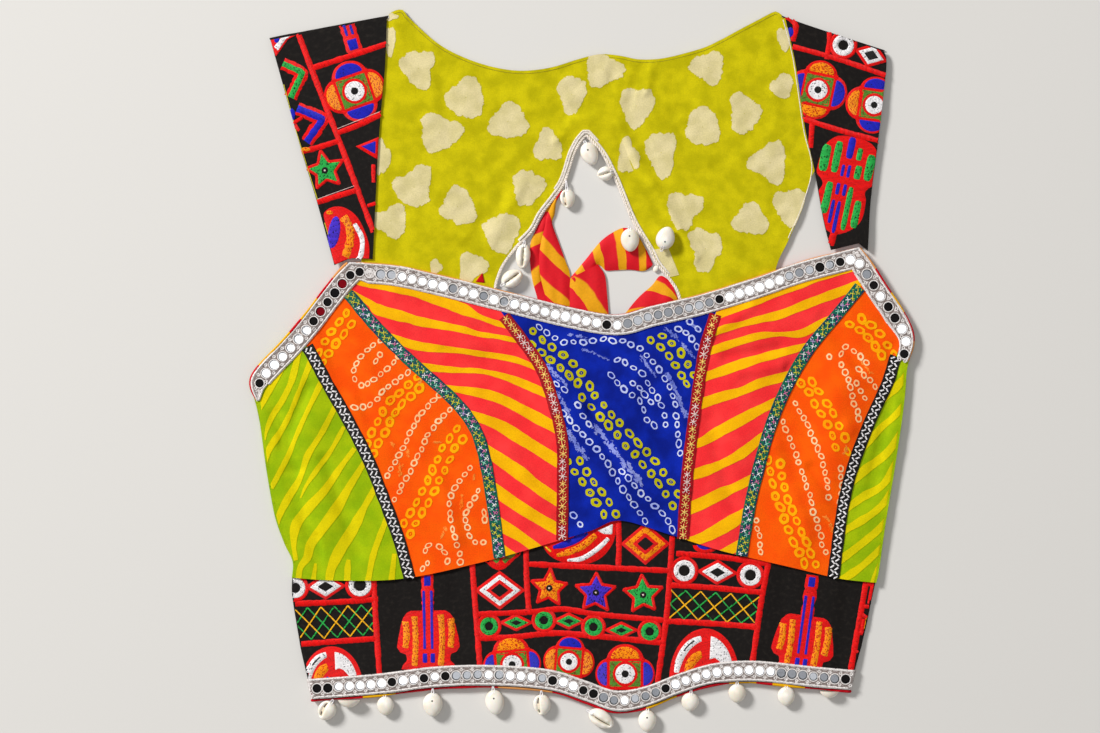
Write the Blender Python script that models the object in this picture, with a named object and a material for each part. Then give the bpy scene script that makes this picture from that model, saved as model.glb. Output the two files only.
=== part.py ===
"""A choli blouse laid flat, front up.

Back to front, it is an embroidered back yoke with a keyhole, its batik lining, two shoulder straps
folded over on to it, a front bodice of seven panels with taped seams, mirrored lace round the neck,
armholes and hem, and an embroidered band hung with cowrie shells.

Tables are in millimetres on the laid-out garment: x to the right, y towards the neck, z up from
the surface that it lies on. The origin is under the middle of the whole piece.
"""
import math

import bpy
import numpy as np
from mathutils import Vector
from mathutils.geometry import delaunay_2d_cdt

MM = 0.001
# Middle of the whole piece's outline in the tables' coordinates.
MIDDLE = (-0.49, -0.7)

# Walls and the gaps between pieces.
CLOTH = 1.0
PANEL_CLOTH = 1.2
TRIM_CLOTH = 1.0
GAP = 0.3
SEAM_INSET = 0.2
TOP_INSET = 1.6
WAIST_INSET = 1.3

# Height of each layer's lower face above the surface, from the bottom up.
BACK_Z = 0.0
LINING_Z = BACK_Z + CLOTH + GAP
STRAP_Z = LINING_Z + CLOTH + GAP
FRONT_Z = STRAP_Z + GAP
TRIM_Z = FRONT_Z + PANEL_CLOTH + GAP
TAPE_Z = TRIM_Z + 0.2
HEM_LACE_BACK_Z = 0.0
BAND_HEM_RISE = TRIM_CLOTH + GAP
BAND_FRONT_RISE = CLOTH + GAP

# Widths of the strips.
TAPE_WIDTH = 7.6
LACE_WIDTH = 13.3
LACE_END_WIDTH = 4.0
BINDING_WIDTH = 1.3
BINDING_THICK = 1.6
BINDING_END = 5.0
CORD_RADIUS = 1.0
SIDE_TURN_UNDER = 14.0
STRAP_TURN_UNDER = 3.0
TIE_THICK = 1.2

# How finely the pieces are divided.
PANEL_COLUMNS = 6
PANEL_ROWS = 10
TAPE_ROWS = 13
NECK_ROWS = 26
ARM_ROWS = 12
BAND_COLUMNS = 24
PLATE_STEP = 22.0
CORD_SIDES = 6
FOLD_ANGLES = (60, 20, -20, -60, -90)

# Outer edges of the front, through these points (x, y).
NECK = (
    (-155.5, 71.5), (-126, 69.5), (-95.5, 63), (-51.5, 52), (-6.5, 41), (22.5, 36.5),
    (44.5, 42), (78, 50), (112.5, 60.5), (144.5, 71.5), (183.5, 81.5),
)
ARM_LEFT = (
    (-155.5, 71.5), (-162, 65.5), (-172.5, 52.5), (-187.5, 33), (-201.5, 17),
    (-214.5, 3.5), (-220.5, -5.5), (-220.5, -13), (-216.5, -21),
)
ARM_RIGHT = (
    (183.5, 81.5), (192, 70.5), (202, 55), (211.5, 41), (218.5, 27), (219.5, 16.5), (215.5, 5),
)
SIDE_LEFT = (
    (-216.5, -21), (-213.5, -47.5), (-210, -74.5), (-205.5, -99), (-199.5, -116.5),
    (-194, -128.5), (-194.5, -138.5),
)
SIDE_RIGHT = ((215.5, 5), (214, -20.5), (208, -64.5), (202, -101), (197.5, -133), (195.5, -142))
WAIST = (
    (-194.5, -138.5), (-162, -140.5), (-118.5, -139), (-68.5, -128.5), (-28.5, -117.5),
    (4.5, -107.5), (24.5, -100.5), (56.5, -109.5), (91.5, -120.5), (138, -131.5),
    (170, -139), (195.5, -142),
)
HEM = (
    (-180.5, -219.5), (-134.5, -216), (-98, -211.5), (-60.5, -210.5), (-22, -213.5), (2, -221),
    (22, -227.5), (42, -224.5), (62.5, -216.5), (85.5, -209.5), (107.5, -207.5),
    (126.5, -208.5), (149.5, -211), (178, -213.5),
)
BAND_LEFT = ((-194.5, -138.5), (-194.5, -150.5), (-190, -179), (-186.5, -195), (-180.5, -219.5))
BAND_RIGHT = ((195.5, -142), (193, -153.5), (188.5, -175), (182, -198.5), (178, -213.5))
# Where the neck lace's and armhole laces' inner edges meet, under each shoulder.
LACE_CORNER_LEFT = (-148.5, 59.5)
LACE_CORNER_RIGHT = (179.0, 66.5)

# Bodice seams: where each leaves the top edge, the points that it passes, and where it meets the waist.
SEAMS = {
    # name: (top edge, axis of the crossing, its value, points, x at the waist)
    "black_left": (
        "arm_left", 1, 27.0,
        ((-182.5, 13.5), (-169.5, -10.5), (-157.5, -31.5), (-143.5, -58.5), (-133.5, -83.5),
         (-122.5, -113)), -115.5),
    "green_left": (
        "arm_left", 1, 59.0,
        ((-155, 49), (-140, 31), (-118, 8.5), (-87.5, -19), (-73.5, -36.5), (-66.5, -54.5),
         (-60.5, -87)), -55.5),
    "red_left": (
        "neck", 0, -62.0,
        ((-55.5, 40), (-41.5, 21), (-28, 1), (-19.5, -23), (-14, -47), (-13.5, -73.5)), -14.0),
    "red_right": (
        "neck", 0, 92.5,
        ((88.5, 38.5), (80.5, 11), (75.5, -20.5), (70.5, -59), (68, -87)), 66.5),
    "green_right": (
        "arm_right", 1, 68.0,
        ((185.5, 56.5), (167.5, 34.5), (149.5, 12.5), (134, -15), (123.5, -41.5), (115.5, -71),
         (110.5, -93.5)), 105.5),
    "black_right": (
        "arm_right", 1, 27.0,
        ((208.5, 9.5), (202.5, -9), (190, -36.5), (179.5, -64.5), (172.5, -93.5)), 166.5),
}

# Largest folds of the bodice: a ridge from one end to the other, with its half-width and height.
FOLDS = (
    # (x1, y1, x2, y2, half-width, height)
    (-13.0, -12.0, 28.0, -73.0, 18.0, 2.0),
    (-188.0, -15.0, -172.0, -100.0, 15.0, 1.2),
    (178.0, -5.0, 158.0, -88.0, 17.0, 1.4),
    (112.0, 22.0, 97.0, -60.0, 18.0, 0.8),
)

# The back: its neck edge, the shoulder folds, its armholes, and the keyhole from apex to waist.
BACK_NECK = (
    (-129.5, 236.5), (-125.5, 239), (-120, 239.5), (-116, 234.5), (-98.5, 218.5), (-82, 209),
    (-62, 202), (-42, 199), (-22, 201), (-2, 207), (11.5, 210), (24.5, 209), (38, 206.5),
    (54.5, 207.5), (78, 213.5), (91.5, 219.5), (104.5, 226.5), (116, 232.5), (123.5, 236.5),
    (128.5, 238.5), (132.5, 236),
)
SHOULDER_LEFT = ((-208.5, 221.0), (-130.5, 236.0))
SHOULDER_RIGHT = ((134.0, 236.5), (199.0, 214.0))
BACK_ARM_LEFT = (
    (-202.0, 216.0), (-182, 173), (-158.5, 119.5), (-147.5, 71.5), (-149.5, 33), (-165.5, -1.5),
    (-195.5, -25.5),
)
BACK_ARM_RIGHT = (
    (193.0, 206.0), (178, 166.5), (153.5, 131), (146.5, 108.5), (137.5, 87.5), (128, 65.5),
    (127, 36.5), (141.5, 11.5), (169, -2.0), (195.0, 1.0),
)
KEYHOLE_LEFT = (
    (2, 156.5), (-2.5, 151), (-6.5, 143), (-10, 131.5), (-13.5, 123), (-19.5, 114.5),
    (-28, 103.5), (-34, 92.5), (-45.5, 80.5), (-55.5, 65), (-58.5, 46.5), (-50, 13),
    (-25.5, -47), (-5.0, -95.0),
)
KEYHOLE_RIGHT = (
    (2, 156.5), (12.5, 144.5), (19.5, 131.5), (24, 121.5), (31.5, 103), (37.5, 91.5),
    (45.5, 78.5), (49.5, 70.5), (57.5, 60.5), (64, 49), (66.5, 26.5), (54, -20.5),
    (24.5, -73.5), (15.0, -93.0),
)

# Straps: outer and inner edges from the shoulder fold down to the front.
STRAP_LEFT_EDGES = (
    ((-208.5, 221), (-188.5, 149.5), (-177.5, 113), (-165.5, 69.5)),
    ((-130.5, 236), (-132, 199.5), (-136, 153), (-140, 73.5)),
)
STRAP_RIGHT_EDGES = (
    ((134, 236.5), (139.5, 213), (142.5, 196.5), (148, 159.5), (153.5, 135.5), (160, 99.5),
     (165, 79.5)),
    ((199, 214), (202, 205), (199.5, 179.5), (196.5, 153), (191.5, 113), (189.5, 79.0)),
)

# Sash ties on the surface inside the keyhole, as outlines.
TIES = {
    "tie_left": (
        (-13.2, 119.5), (-15.5, 112.5), (-19.5, 104.5), (-20.5, 97), (-18, 85.5), (-13.5, 74.5),
        (-8.5, 63.5), (-8.3, 58), (-9.3, 27.5), (-27.5, 27.5), (-33.5, 59.5), (-34.5, 69.5),
        (-34.5, 80), (-33.0, 89.5), (-28, 99.5), (-24, 106), (-18.5, 113.5)),
    "tie_right": (
        (-8.7, 27.5), (-7.5, 60.5), (12, 87.5), (27.5, 94.5), (33.5, 93.5), (41.5, 79.5),
        (46.8, 69.5), (44.5, 65), (14.5, 64.5), (18.5, 27.5)),
    "tie_tail": ((23.5, 31.5), (31.5, 40.5), (54.2, 62.3), (61.8, 50.5), (64.3, 31.5)),
}

# Cowries: centre, length, width, direction of the threaded end in degrees, height of what it lies
# on, and the length of thread that shows. A shell whose share is under 1 shows only its far end.
HEM_COWRIES = (
    # (x, y, length, width, angle, base, thread, share)
    (-170.5, -227.0, 13.5, 12.2, 60, 0.0, 0.0, 1.0),
    (-155.7, -218.9, 12.0, 15.5, 90, 0.0, 0.0, 0.42),
    (-131.5, -223.8, 12.6, 11.3, 95, 0.0, 0.0, 1.0),
    (-100.0, -223.0, 16.0, 13.2, 90, 0.0, 1.0, 1.0),
    (-58.7, -221.4, 16.6, 12.6, 97, 0.0, 0.6, 1.0),
    (-27.3, -223.2, 14.0, 11.8, 93, 0.0, 0.8, 1.0),
    (12.2, -232.5, 18.5, 11.6, 148, 0.0, 0.6, 1.0),
    (42.7, -233.9, 14.6, 12.0, 88, 0.0, 0.4, 1.0),
    (71.3, -221.2, 12.2, 11.8, 85, 0.0, 0.2, 1.0),
    (102.6, -215.5, 12.6, 11.8, 90, 0.0, 0.0, 1.0),
    (135.3, -217.5, 12.8, 11.6, 90, 0.0, 0.0, 1.0),
    (163.9, -213.6, 10.0, 13.0, 88, 0.0, 0.0, 0.43),
)
KEYHOLE_COWRIES = (
    (4.4, 144.3, 16.2, 10.4, 107, 0.0, 0.0, 1.0),
    (14.2, 130.6, 9.6, 9.2, 20, 0.0, 0.0, 1.0),
    (-10.2, 113.8, 12.6, 10.2, 95, 0.0, 4.0, 1.0),
    (-40.0, 75.3, 16.6, 9.8, 84, 0.0, 0.6, 1.0),
    (-47.2, 60.6, 15.4, 11.6, 213, 0.0, 0.0, 1.0),
    (31.2, 86.0, 15.4, 12.2, 92, TIE_THICK + GAP, 0.0, 1.0),
    (54.8, 87.4, 15.4, 12.4, 252, STRAP_Z, 0.0, 1.0),
    (48.5, 67.0, 4.4, 3.6, 60, 0.0, 0.0, 1.0),
)
COWRIE_THREAD_RADIUS = 0.6
COWRIE_THREAD_Z = 1.2
COWRIE_SIDES = 8
COWRIE_RINGS = (-0.97, -0.75, -0.4, 0.0, 0.4, 0.75, 0.97)

# Paint: colour, roughness.
PAINTS = {
    "blue_bandhani": ((0.02, 0.03, 0.32), 0.6),
    "pink_leheriya": ((0.9, 0.1, 0.12), 0.55),
    "orange_bandhani": ((1.0, 0.16, 0.0), 0.55),
    "green_leheriya": ((0.3, 0.47, 0.01), 0.6),
    "red_tape": ((0.42, 0.01, 0.02), 0.6),
    "green_tape": ((0.01, 0.15, 0.08), 0.6),
    "black_tape": ((0.01, 0.01, 0.01), 0.6),
    "mirror_lace": ((0.6, 0.56, 0.52), 0.4),
    "striped_binding": ((0.8, 0.35, 0.02), 0.6),
    "embroidered_black": ((0.015, 0.013, 0.012), 0.75),
    "lime_batik": ((0.6, 0.52, 0.01), 0.7),
    "cream_cord": ((0.8, 0.74, 0.66), 0.7),
    "striped_tie": ((0.85, 0.03, 0.05), 0.45),
    "cowrie": ((0.84, 0.8, 0.72), 0.3),
}


# ---------------------------------------------------------------- lines and grids of points

def even(line, count, start=0.0, end=1.0):
    """count + 1 points spaced evenly along a polyline, between two fractions of its length."""
    steps = np.linalg.norm(np.diff(line, axis=0), axis=1)
    reach = np.concatenate([[0.0], np.cumsum(steps)])
    wanted = np.linspace(start, end, count + 1) * reach[-1]
    return np.column_stack([np.interp(wanted, reach, column) for column in line.T])


def length_of(line):
    """Length of a polyline."""
    return np.linalg.norm(np.diff(line, axis=0), axis=1).sum()


def smooth(points, count=160):
    """Evenly spaced points on a Catmull-Rom curve through the given points."""
    given = np.array(points, float)
    ends = np.vstack([2 * given[0] - given[1], given, 2 * given[-1] - given[-2]])
    t = np.linspace(0, 1, 10, endpoint=False)[:, None]
    runs = []
    for a, b, c, d in zip(ends, ends[1:], ends[2:], ends[3:]):
        bend = (2 * a - 5 * b + 4 * c - d) * t ** 2 + (3 * b - a - 3 * c + d) * t ** 3
        runs.append(0.5 * (2 * b + (c - a) * t + bend))
    return even(np.vstack(runs + [given[-1:]]), count)


def crossing(line, axis, value):
    """Fraction of a line's length where one coordinate reaches a value, met only once."""
    share = np.linspace(0, 1, len(line))
    order = np.argsort(line[:, axis])
    return float(np.interp(value, line[order, axis], share[order]))


def unit(vectors):
    """The same directions at length 1."""
    return vectors / np.linalg.norm(vectors, axis=-1, keepdims=True)


def left_of(line):
    """Unit direction to the left of a line at each of its points."""
    ahead = unit(np.gradient(line, axis=0))
    return np.column_stack([-ahead[:, 1], ahead[:, 0]])


def beside(line, offsets):
    """Grid of points beside a line: a column for each distance to its left, a row for each point."""
    offsets = np.broadcast_to(np.asarray(offsets, float), (len(line), np.shape(offsets)[-1]))
    return line[:, None] + left_of(line)[:, None] * offsets[:, :, None]


def coons(left, right, top, bottom):
    """Grid of points between four edges: rows run from top to bottom, columns from left to right."""
    v = np.linspace(0, 1, len(left))[:, None, None]
    u = np.linspace(0, 1, len(top))[None, :, None]
    across = (1 - u) * left[:, None] + u * right[:, None]
    down = (1 - v) * top[None] + v * bottom[None]
    upper = (1 - u) * top[0] + u * top[-1]
    lower = (1 - u) * bottom[0] + u * bottom[-1]
    return across + down - (1 - v) * upper - v * lower


def drawn_in(grid, amount=SEAM_INSET):
    """The same grid with its four edges drawn in, so that neighbours keep a gap at the seam."""
    grid = grid.copy()
    edges = ((np.s_[:, 0], np.s_[:, 1]), (np.s_[:, -1], np.s_[:, -2]),
             (np.s_[0], np.s_[1]), (np.s_[-1], np.s_[-2]))
    for edge, inner in edges:
        grid[edge] += unit(grid[inner] - grid[edge]) * amount
    return grid


def raised(plan, height):
    """Points of a plan, each at its height."""
    height = np.broadcast_to(height, plan.shape[:-1])
    return np.concatenate([plan, height[..., None]], axis=-1)


def swell(plan):
    """Height that the bodice's folds add at each point."""
    total = np.zeros(plan.shape[:-1])
    for x1, y1, x2, y2, half_width, height in FOLDS:
        start = np.array((x1, y1))
        run = np.array((x2, y2)) - start
        along = np.clip(((plan - start) @ run) / (run @ run), 0, 1)
        near = np.linalg.norm(plan - start - along[..., None] * run, axis=-1)
        total += height * np.exp(-(near / half_width) ** 2)
    return total


# ---------------------------------------------------------------- solids

def paint(name):
    """A plain material in the piece's own colour."""
    if name in bpy.data.materials:
        return bpy.data.materials[name]
    colour, roughness = PAINTS[name]
    material = bpy.data.materials.new(name)
    material.use_nodes = True
    shader = material.node_tree.nodes["Principled BSDF"]
    shader.inputs["Base Color"].default_value = (*colour, 1.0)
    shader.inputs["Roughness"].default_value = roughness
    return material


def add_mesh(name, points, faces, material):
    """One named object from points in the tables' millimetres."""
    mesh = bpy.data.meshes.new(name)
    placed = (np.array(points, float) - (*MIDDLE, 0.0)) * MM
    mesh.from_pydata(placed.tolist(), [], faces)
    mesh.materials.append(paint(material))
    mesh.shade_smooth()
    mesh.set_sharp_from_angle(angle=math.radians(35))
    piece = bpy.data.objects.new(name, mesh)
    bpy.context.scene.collection.objects.link(piece)
    return piece


def add_wall(name, outer, inner, faces, material):
    """A closed wall between two matching sets of points, with a rim round its open edges."""
    count = len(outer)
    edges = [pair for face in faces for pair in zip(face, face[1:] + face[:1])]
    used = set(edges)
    rim = [(b, a, a + count, b + count) for a, b in edges if (b, a) not in used]
    under = [tuple(corner + count for corner in reversed(face)) for face in faces]
    return add_mesh(name, np.vstack([outer, inner]), list(faces) + under + rim, material)


def add_grid(name, outer, inner, material):
    """A wall whose outer and inner faces are grids of points."""
    rows, columns = outer.shape[:2]
    faces = []
    for i in range(rows - 1):
        for j in range(columns - 1):
            corner = i * columns + j
            faces.append((corner, corner + columns, corner + columns + 1, corner + 1))
    return add_wall(name, outer.reshape(-1, 3), inner.reshape(-1, 3), faces, material)


def add_flat(name, outline, low, high, material):
    """A flat plate with any outline, divided evenly inside."""
    count = len(outline)
    ring = [Vector(point) for point in outline]
    least, most = outline.min(axis=0), outline.max(axis=0)
    inside = []
    for x in np.arange(least[0] + PLATE_STEP / 2, most[0], PLATE_STEP):
        for y in np.arange(least[1] + PLATE_STEP / 2, most[1], PLATE_STEP):
            if np.linalg.norm(outline - (x, y), axis=1).min() > PLATE_STEP / 2:
                inside.append(Vector((x, y)))
    edges = [(k, (k + 1) % count) for k in range(count)]
    plan, _, faces, _, _, _ = delaunay_2d_cdt(ring + inside, edges, [], 1, 1e-4)
    points = np.array([tuple(point) for point in plan])
    faces = [tuple(face) for face in faces]
    used = {corner for face in faces for corner in face}
    renumber = {old: new for new, old in enumerate(sorted(used))}
    points = points[sorted(used)]
    faces = [tuple(renumber[corner] for corner in face) for face in faces]
    return add_wall(name, raised(points, high), raised(points, low), faces, material)


def turned_under(line, outward, outer_z, wall, depth):
    """Columns of a wall that folds under along a line of fold centres, as outer and inner grids.

    outer_z holds the wall's highest and lowest faces, and depth is how far its under side runs back.
    """
    high, low = (np.broadcast_to(z, len(line)) for z in outer_z)
    middle = (high + low) / 2
    radius = (high - low) / 2
    grids = []
    for shell_radius in (radius, radius - wall):
        columns = []
        for angle in FOLD_ANGLES:
            turn = math.radians(angle)
            out = (shell_radius * math.cos(turn))[:, None]
            columns.append(raised(line + outward * out, middle + shell_radius * math.sin(turn)))
        if depth:
            columns.append(raised(line - outward * depth, middle - shell_radius))
        grids.append(np.stack(columns, axis=1))
    return grids


def wound(plan, front_z, back_z, wall):
    """A strip wound round the body: front leaf, a fold at each side, and two back leaves that meet.

    plan is the front leaf's grid, with the fold centres as its first and last columns. front_z is
    the front leaf's upper face and back_z the back leaf's lower face, for each row.
    """
    rows, columns = plan.shape[:2]
    middle = columns // 2
    front_z = np.broadcast_to(front_z, rows)
    back_z = np.broadcast_to(back_z, rows)
    sides = []
    for edge, inner in ((0, 1), (-1, -2)):
        outward = unit(plan[:, edge] - plan[:, inner])
        sides.append(turned_under(plan[:, edge], outward, (front_z, back_z), wall, 0.0))
    left_leaf = plan[:, middle:0:-1].copy()
    right_leaf = plan[:, middle:-1].copy()
    meeting = unit(plan[:, middle + 1] - plan[:, middle]) * SEAM_INSET
    left_leaf[:, 0] -= meeting
    right_leaf[:, 0] += meeting
    grids = []
    for k, depth in enumerate((0.0, wall)):
        front = raised(plan, (front_z - depth)[:, None])
        back = (back_z + depth)[:, None]
        grids.append(np.concatenate([
            raised(left_leaf, back), sides[0][k][:, ::-1], front, sides[1][k],
            raised(right_leaf[:, ::-1], back)], axis=1))
    return grids


# ---------------------------------------------------------------- the garment's own lines

def edge_lines():
    """The front's outer edges as smooth lines."""
    tables = {
        "neck": NECK, "arm_left": ARM_LEFT, "arm_right": ARM_RIGHT, "side_left": SIDE_LEFT,
        "side_right": SIDE_RIGHT, "waist": WAIST, "hem": HEM, "band_left": BAND_LEFT,
        "band_right": BAND_RIGHT,
    }
    return {name: smooth(points) for name, points in tables.items()}


def seam_lines(edges):
    """Each seam as a line from the top edge to the waist, with the fraction of each edge that it meets."""
    lines, tops, bottoms = {}, {}, {}
    for name, (edge, axis, value, points, waist_x) in SEAMS.items():
        tops[name] = crossing(edges[edge], axis, value)
        bottoms[name] = crossing(edges["waist"], 0, waist_x)
        start = even(edges[edge], 1, tops[name], 1)[0]
        finish = even(edges["waist"], 1, bottoms[name], 1)[0]
        lines[name] = smooth((start, *points, finish))
    return lines, tops, bottoms


def build_panels(edges, seams, tops, bottoms):
    """The seven panels of the front bodice."""
    half = PANEL_COLUMNS // 3
    neck, arm_left, arm_right = edges["neck"], edges["arm_left"], edges["arm_right"]
    inner_left_top = np.vstack([
        even(arm_left, half, tops["green_left"], 0)[:-1],
        even(neck, PANEL_COLUMNS - half, 0, tops["red_left"])])
    inner_right_top = np.vstack([
        even(neck, PANEL_COLUMNS - half, tops["red_right"], 1)[:-1],
        even(arm_right, half, 0, tops["green_right"])])
    side_in = PANEL_CLOTH / 2 + (FRONT_Z + PANEL_CLOTH) / 2
    left_fold = beside(edges["side_left"], [side_in])[:, 0]
    right_fold = beside(edges["side_right"], [-side_in])[:, 0]

    def waist_part(start, end):
        return even(edges["waist"], PANEL_COLUMNS, start, end)

    def arm_part(arm, start, end):
        return even(arm, PANEL_COLUMNS, start, end)

    panels = (
        # (name, material, left line, right line, top, waist from, waist to)
        ("front_side_left", "green_leheriya", left_fold, seams["black_left"],
         arm_part(arm_left, 1, tops["black_left"]), 0, bottoms["black_left"]),
        ("front_mid_left", "orange_bandhani", seams["black_left"], seams["green_left"],
         arm_part(arm_left, tops["black_left"], tops["green_left"]),
         bottoms["black_left"], bottoms["green_left"]),
        ("front_inner_left", "pink_leheriya", seams["green_left"], seams["red_left"],
         inner_left_top, bottoms["green_left"], bottoms["red_left"]),
        ("front_centre", "blue_bandhani", seams["red_left"], seams["red_right"],
         even(neck, PANEL_COLUMNS, tops["red_left"], tops["red_right"]),
         bottoms["red_left"], bottoms["red_right"]),
        ("front_inner_right", "pink_leheriya", seams["red_right"], seams["green_right"],
         inner_right_top, bottoms["red_right"], bottoms["green_right"]),
        ("front_mid_right", "orange_bandhani", seams["green_right"], seams["black_right"],
         arm_part(arm_right, tops["green_right"], tops["black_right"]),
         bottoms["green_right"], bottoms["black_right"]),
        ("front_side_right", "green_leheriya", seams["black_right"], right_fold,
         arm_part(arm_right, tops["black_right"], 1), bottoms["black_right"], 1),
    )
    for name, material, left, right, top, waist_from, waist_to in panels:
        left, right = even(left, PANEL_ROWS), even(right, PANEL_ROWS)
        bottom = waist_part(waist_from, waist_to)
        top, bottom = top.copy(), bottom.copy()
        top[0], top[-1], bottom[0], bottom[-1] = left[0], right[0], left[-1], right[-1]
        plan = drawn_in(coons(left, right, top, bottom))
        plan[0] += unit(plan[1] - plan[0]) * TOP_INSET
        rise = swell(plan)
        outer = raised(plan, FRONT_Z + PANEL_CLOTH + rise)
        inner = raised(plan, FRONT_Z + 0.4 * rise)
        if name == "front_side_left":
            outer, inner = add_side_turn(outer, inner, first=True)
        if name == "front_side_right":
            outer, inner = add_side_turn(outer, inner, first=False)
        add_grid(name, outer, inner, material)


def add_side_turn(outer, inner, first):
    """A side panel's grids with the fold and the part that lies under the side added."""
    edge, outward = (0, (-1.0, 0.0)) if first else (-1, (1.0, 0.0))
    line = outer[:, edge, :2].copy()
    line[-1, 1] += WAIST_INSET
    outward = np.broadcast_to(outward, line.shape)
    turn = turned_under(line, outward, (outer[:, edge, 2], BACK_Z), PANEL_CLOTH, SIDE_TURN_UNDER)
    inner = inner.copy()
    inner[:, edge, 2] = outer[:, edge, 2] - PANEL_CLOTH
    pairs = zip(turn, (outer, inner))
    if first:
        return [np.concatenate([fold[:, ::-1], flat], axis=1) for fold, flat in pairs]
    return [np.concatenate([flat, fold], axis=1) for fold, flat in pairs]


def on_front(plan, low=TRIM_Z):
    """Outer and inner points of a strip that lies on the front, following its folds."""
    rise = swell(plan)
    return raised(plan, low + TRIM_CLOTH + rise), raised(plan, low + rise)


def build_tapes(edges, seams):
    """Six tapes stitched over the seams, from the lace down to the waist."""
    half = TAPE_WIDTH / 2
    laced = np.vstack([edges["neck"], edges["arm_left"], edges["arm_right"]])
    for name, line in seams.items():
        colour, side = name.split("_")
        borders = beside(line, (-half, half))
        away = np.linalg.norm(borders[:, :, None] - laced, axis=-1).min(axis=(1, 2))
        top = np.argmax(away > LACE_WIDTH + 2 * GAP) / (len(line) - 1)
        plan = beside(even(line, TAPE_ROWS, top, 1 - GAP / 100), (-half, half))
        outer, inner = on_front(plan, TAPE_Z)
        add_grid(f"tape_{colour}_{side}", outer, inner, f"{colour}_tape")


def trim_points(line, rows):
    """Points along an edge for its trim, the first stretch as long as the lace is wide."""
    return np.vstack([line[:1], even(line, rows - 1, LACE_WIDTH / length_of(line), 1)])


def lace_plan(line, rows, widths, inward, ends):
    """A lace's grid along an edge, its ends cut on the mitre lines given for them."""
    points = trim_points(line, rows)
    across = np.column_stack([np.zeros(rows + 1), widths / 2, widths]) * inward
    plan = beside(points, across)
    for row, corner in ends:
        reach = np.linspace(0, 1, 3)[:, None]
        plan[row] = points[row] + (np.array(corner) - points[row]) * reach
    if inward < 0:
        plan = plan[:, ::-1]
    return drawn_in(plan, GAP / 2)


def build_front_trim(edges):
    """Lace and binding along the neck and armholes."""
    full = np.full(NECK_ROWS + 1, LACE_WIDTH)
    ends = ((0, LACE_CORNER_LEFT), (-1, LACE_CORNER_RIGHT))
    neck = lace_plan(edges["neck"], NECK_ROWS, full, -1, ends)
    add_grid("lace_neck", *on_front(neck), "mirror_lace")
    share = np.linspace(0, 1, ARM_ROWS + 1)
    taper = np.interp(share, (0, 0.6, 1), (LACE_WIDTH, LACE_WIDTH, LACE_END_WIDTH))
    left = lace_plan(edges["arm_left"], ARM_ROWS, taper, 1, ((0, LACE_CORNER_LEFT),))
    right = lace_plan(edges["arm_right"], ARM_ROWS, taper, -1, ((0, LACE_CORNER_RIGHT),))
    add_grid("lace_arm_left", *on_front(left), "mirror_lace")
    add_grid("lace_arm_right", *on_front(right), "mirror_lace")
    bindings = (
        # (name, edge, rows, side of the line that faces out)
        ("binding_neck", "neck", NECK_ROWS, 1),
        ("binding_arm_left", "arm_left", ARM_ROWS, -1),
        ("binding_arm_right", "arm_right", ARM_ROWS, 1),
    )
    for name, edge, rows, side in bindings:
        line = trim_points(edges[edge], rows)
        line[0] += unit(line[1] - line[0]) * BINDING_END
        line[-1] += unit(line[-2] - line[-1]) * BINDING_END
        offsets = sorted((side * GAP, side * (GAP + BINDING_WIDTH)))
        plan = beside(line, offsets)
        low = FRONT_Z + GAP
        add_grid(name, raised(plan, low + BINDING_THICK), raised(plan, low), "striped_binding")


def build_band(edges):
    """The lower band wound round the body, with lace and binding round its hem."""
    rows = np.array((0.0, 0.5, 0.75, 1.0))
    edge_in = CLOTH / 2 + (BAND_FRONT_RISE + CLOTH) / 2
    left = beside(edges["band_left"], [edge_in])[:, 0]
    right = beside(edges["band_right"], [-edge_in])[:, 0]
    top = beside(edges["waist"], [-GAP])[:, 0]
    full = coons(left, right, even(top, 160), even(edges["hem"], 160))
    steps = np.linspace(0, 160, BAND_COLUMNS + 1).round().astype(int)
    plan = full[(rows * 160).round().astype(int)][:, steps]
    rise = BAND_HEM_RISE * np.interp(rows, (0.5, 0.75), (0, 1))
    outer, inner = wound(plan, BAND_FRONT_RISE + CLOTH + rise, BACK_Z + rise, CLOTH)
    add_grid("band", outer, inner, "embroidered_black")

    hem = full[-1][steps]
    stitched = []
    for step in steps:
        column = full[:, step]
        stitched.append(even(column, 2, 1 - LACE_WIDTH / length_of(column), 1))
    lace = np.stack(stitched, axis=1)
    lace_top = BAND_FRONT_RISE + CLOTH + BAND_HEM_RISE + GAP + TRIM_CLOTH
    outer, inner = wound(lace, lace_top, HEM_LACE_BACK_Z, TRIM_CLOTH)
    add_grid("lace_hem", outer, inner, "mirror_lace")

    binding = np.stack([hem - (0, GAP), hem - (0, GAP + BINDING_WIDTH)])
    binding_top = BAND_FRONT_RISE + CLOTH + BAND_HEM_RISE
    outer, inner = wound(binding, binding_top, BAND_HEM_RISE, CLOTH)
    add_grid("binding_hem", outer, inner, "striped_binding")


def moved_in(ends, distance, inward):
    """A straight edge's two ends, moved a distance across the edge."""
    start, finish = np.array(ends, float)
    along = unit(finish - start)
    across = np.array((-along[1], along[0])) * inward
    return np.array((start + across * distance, finish + across * distance))


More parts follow.
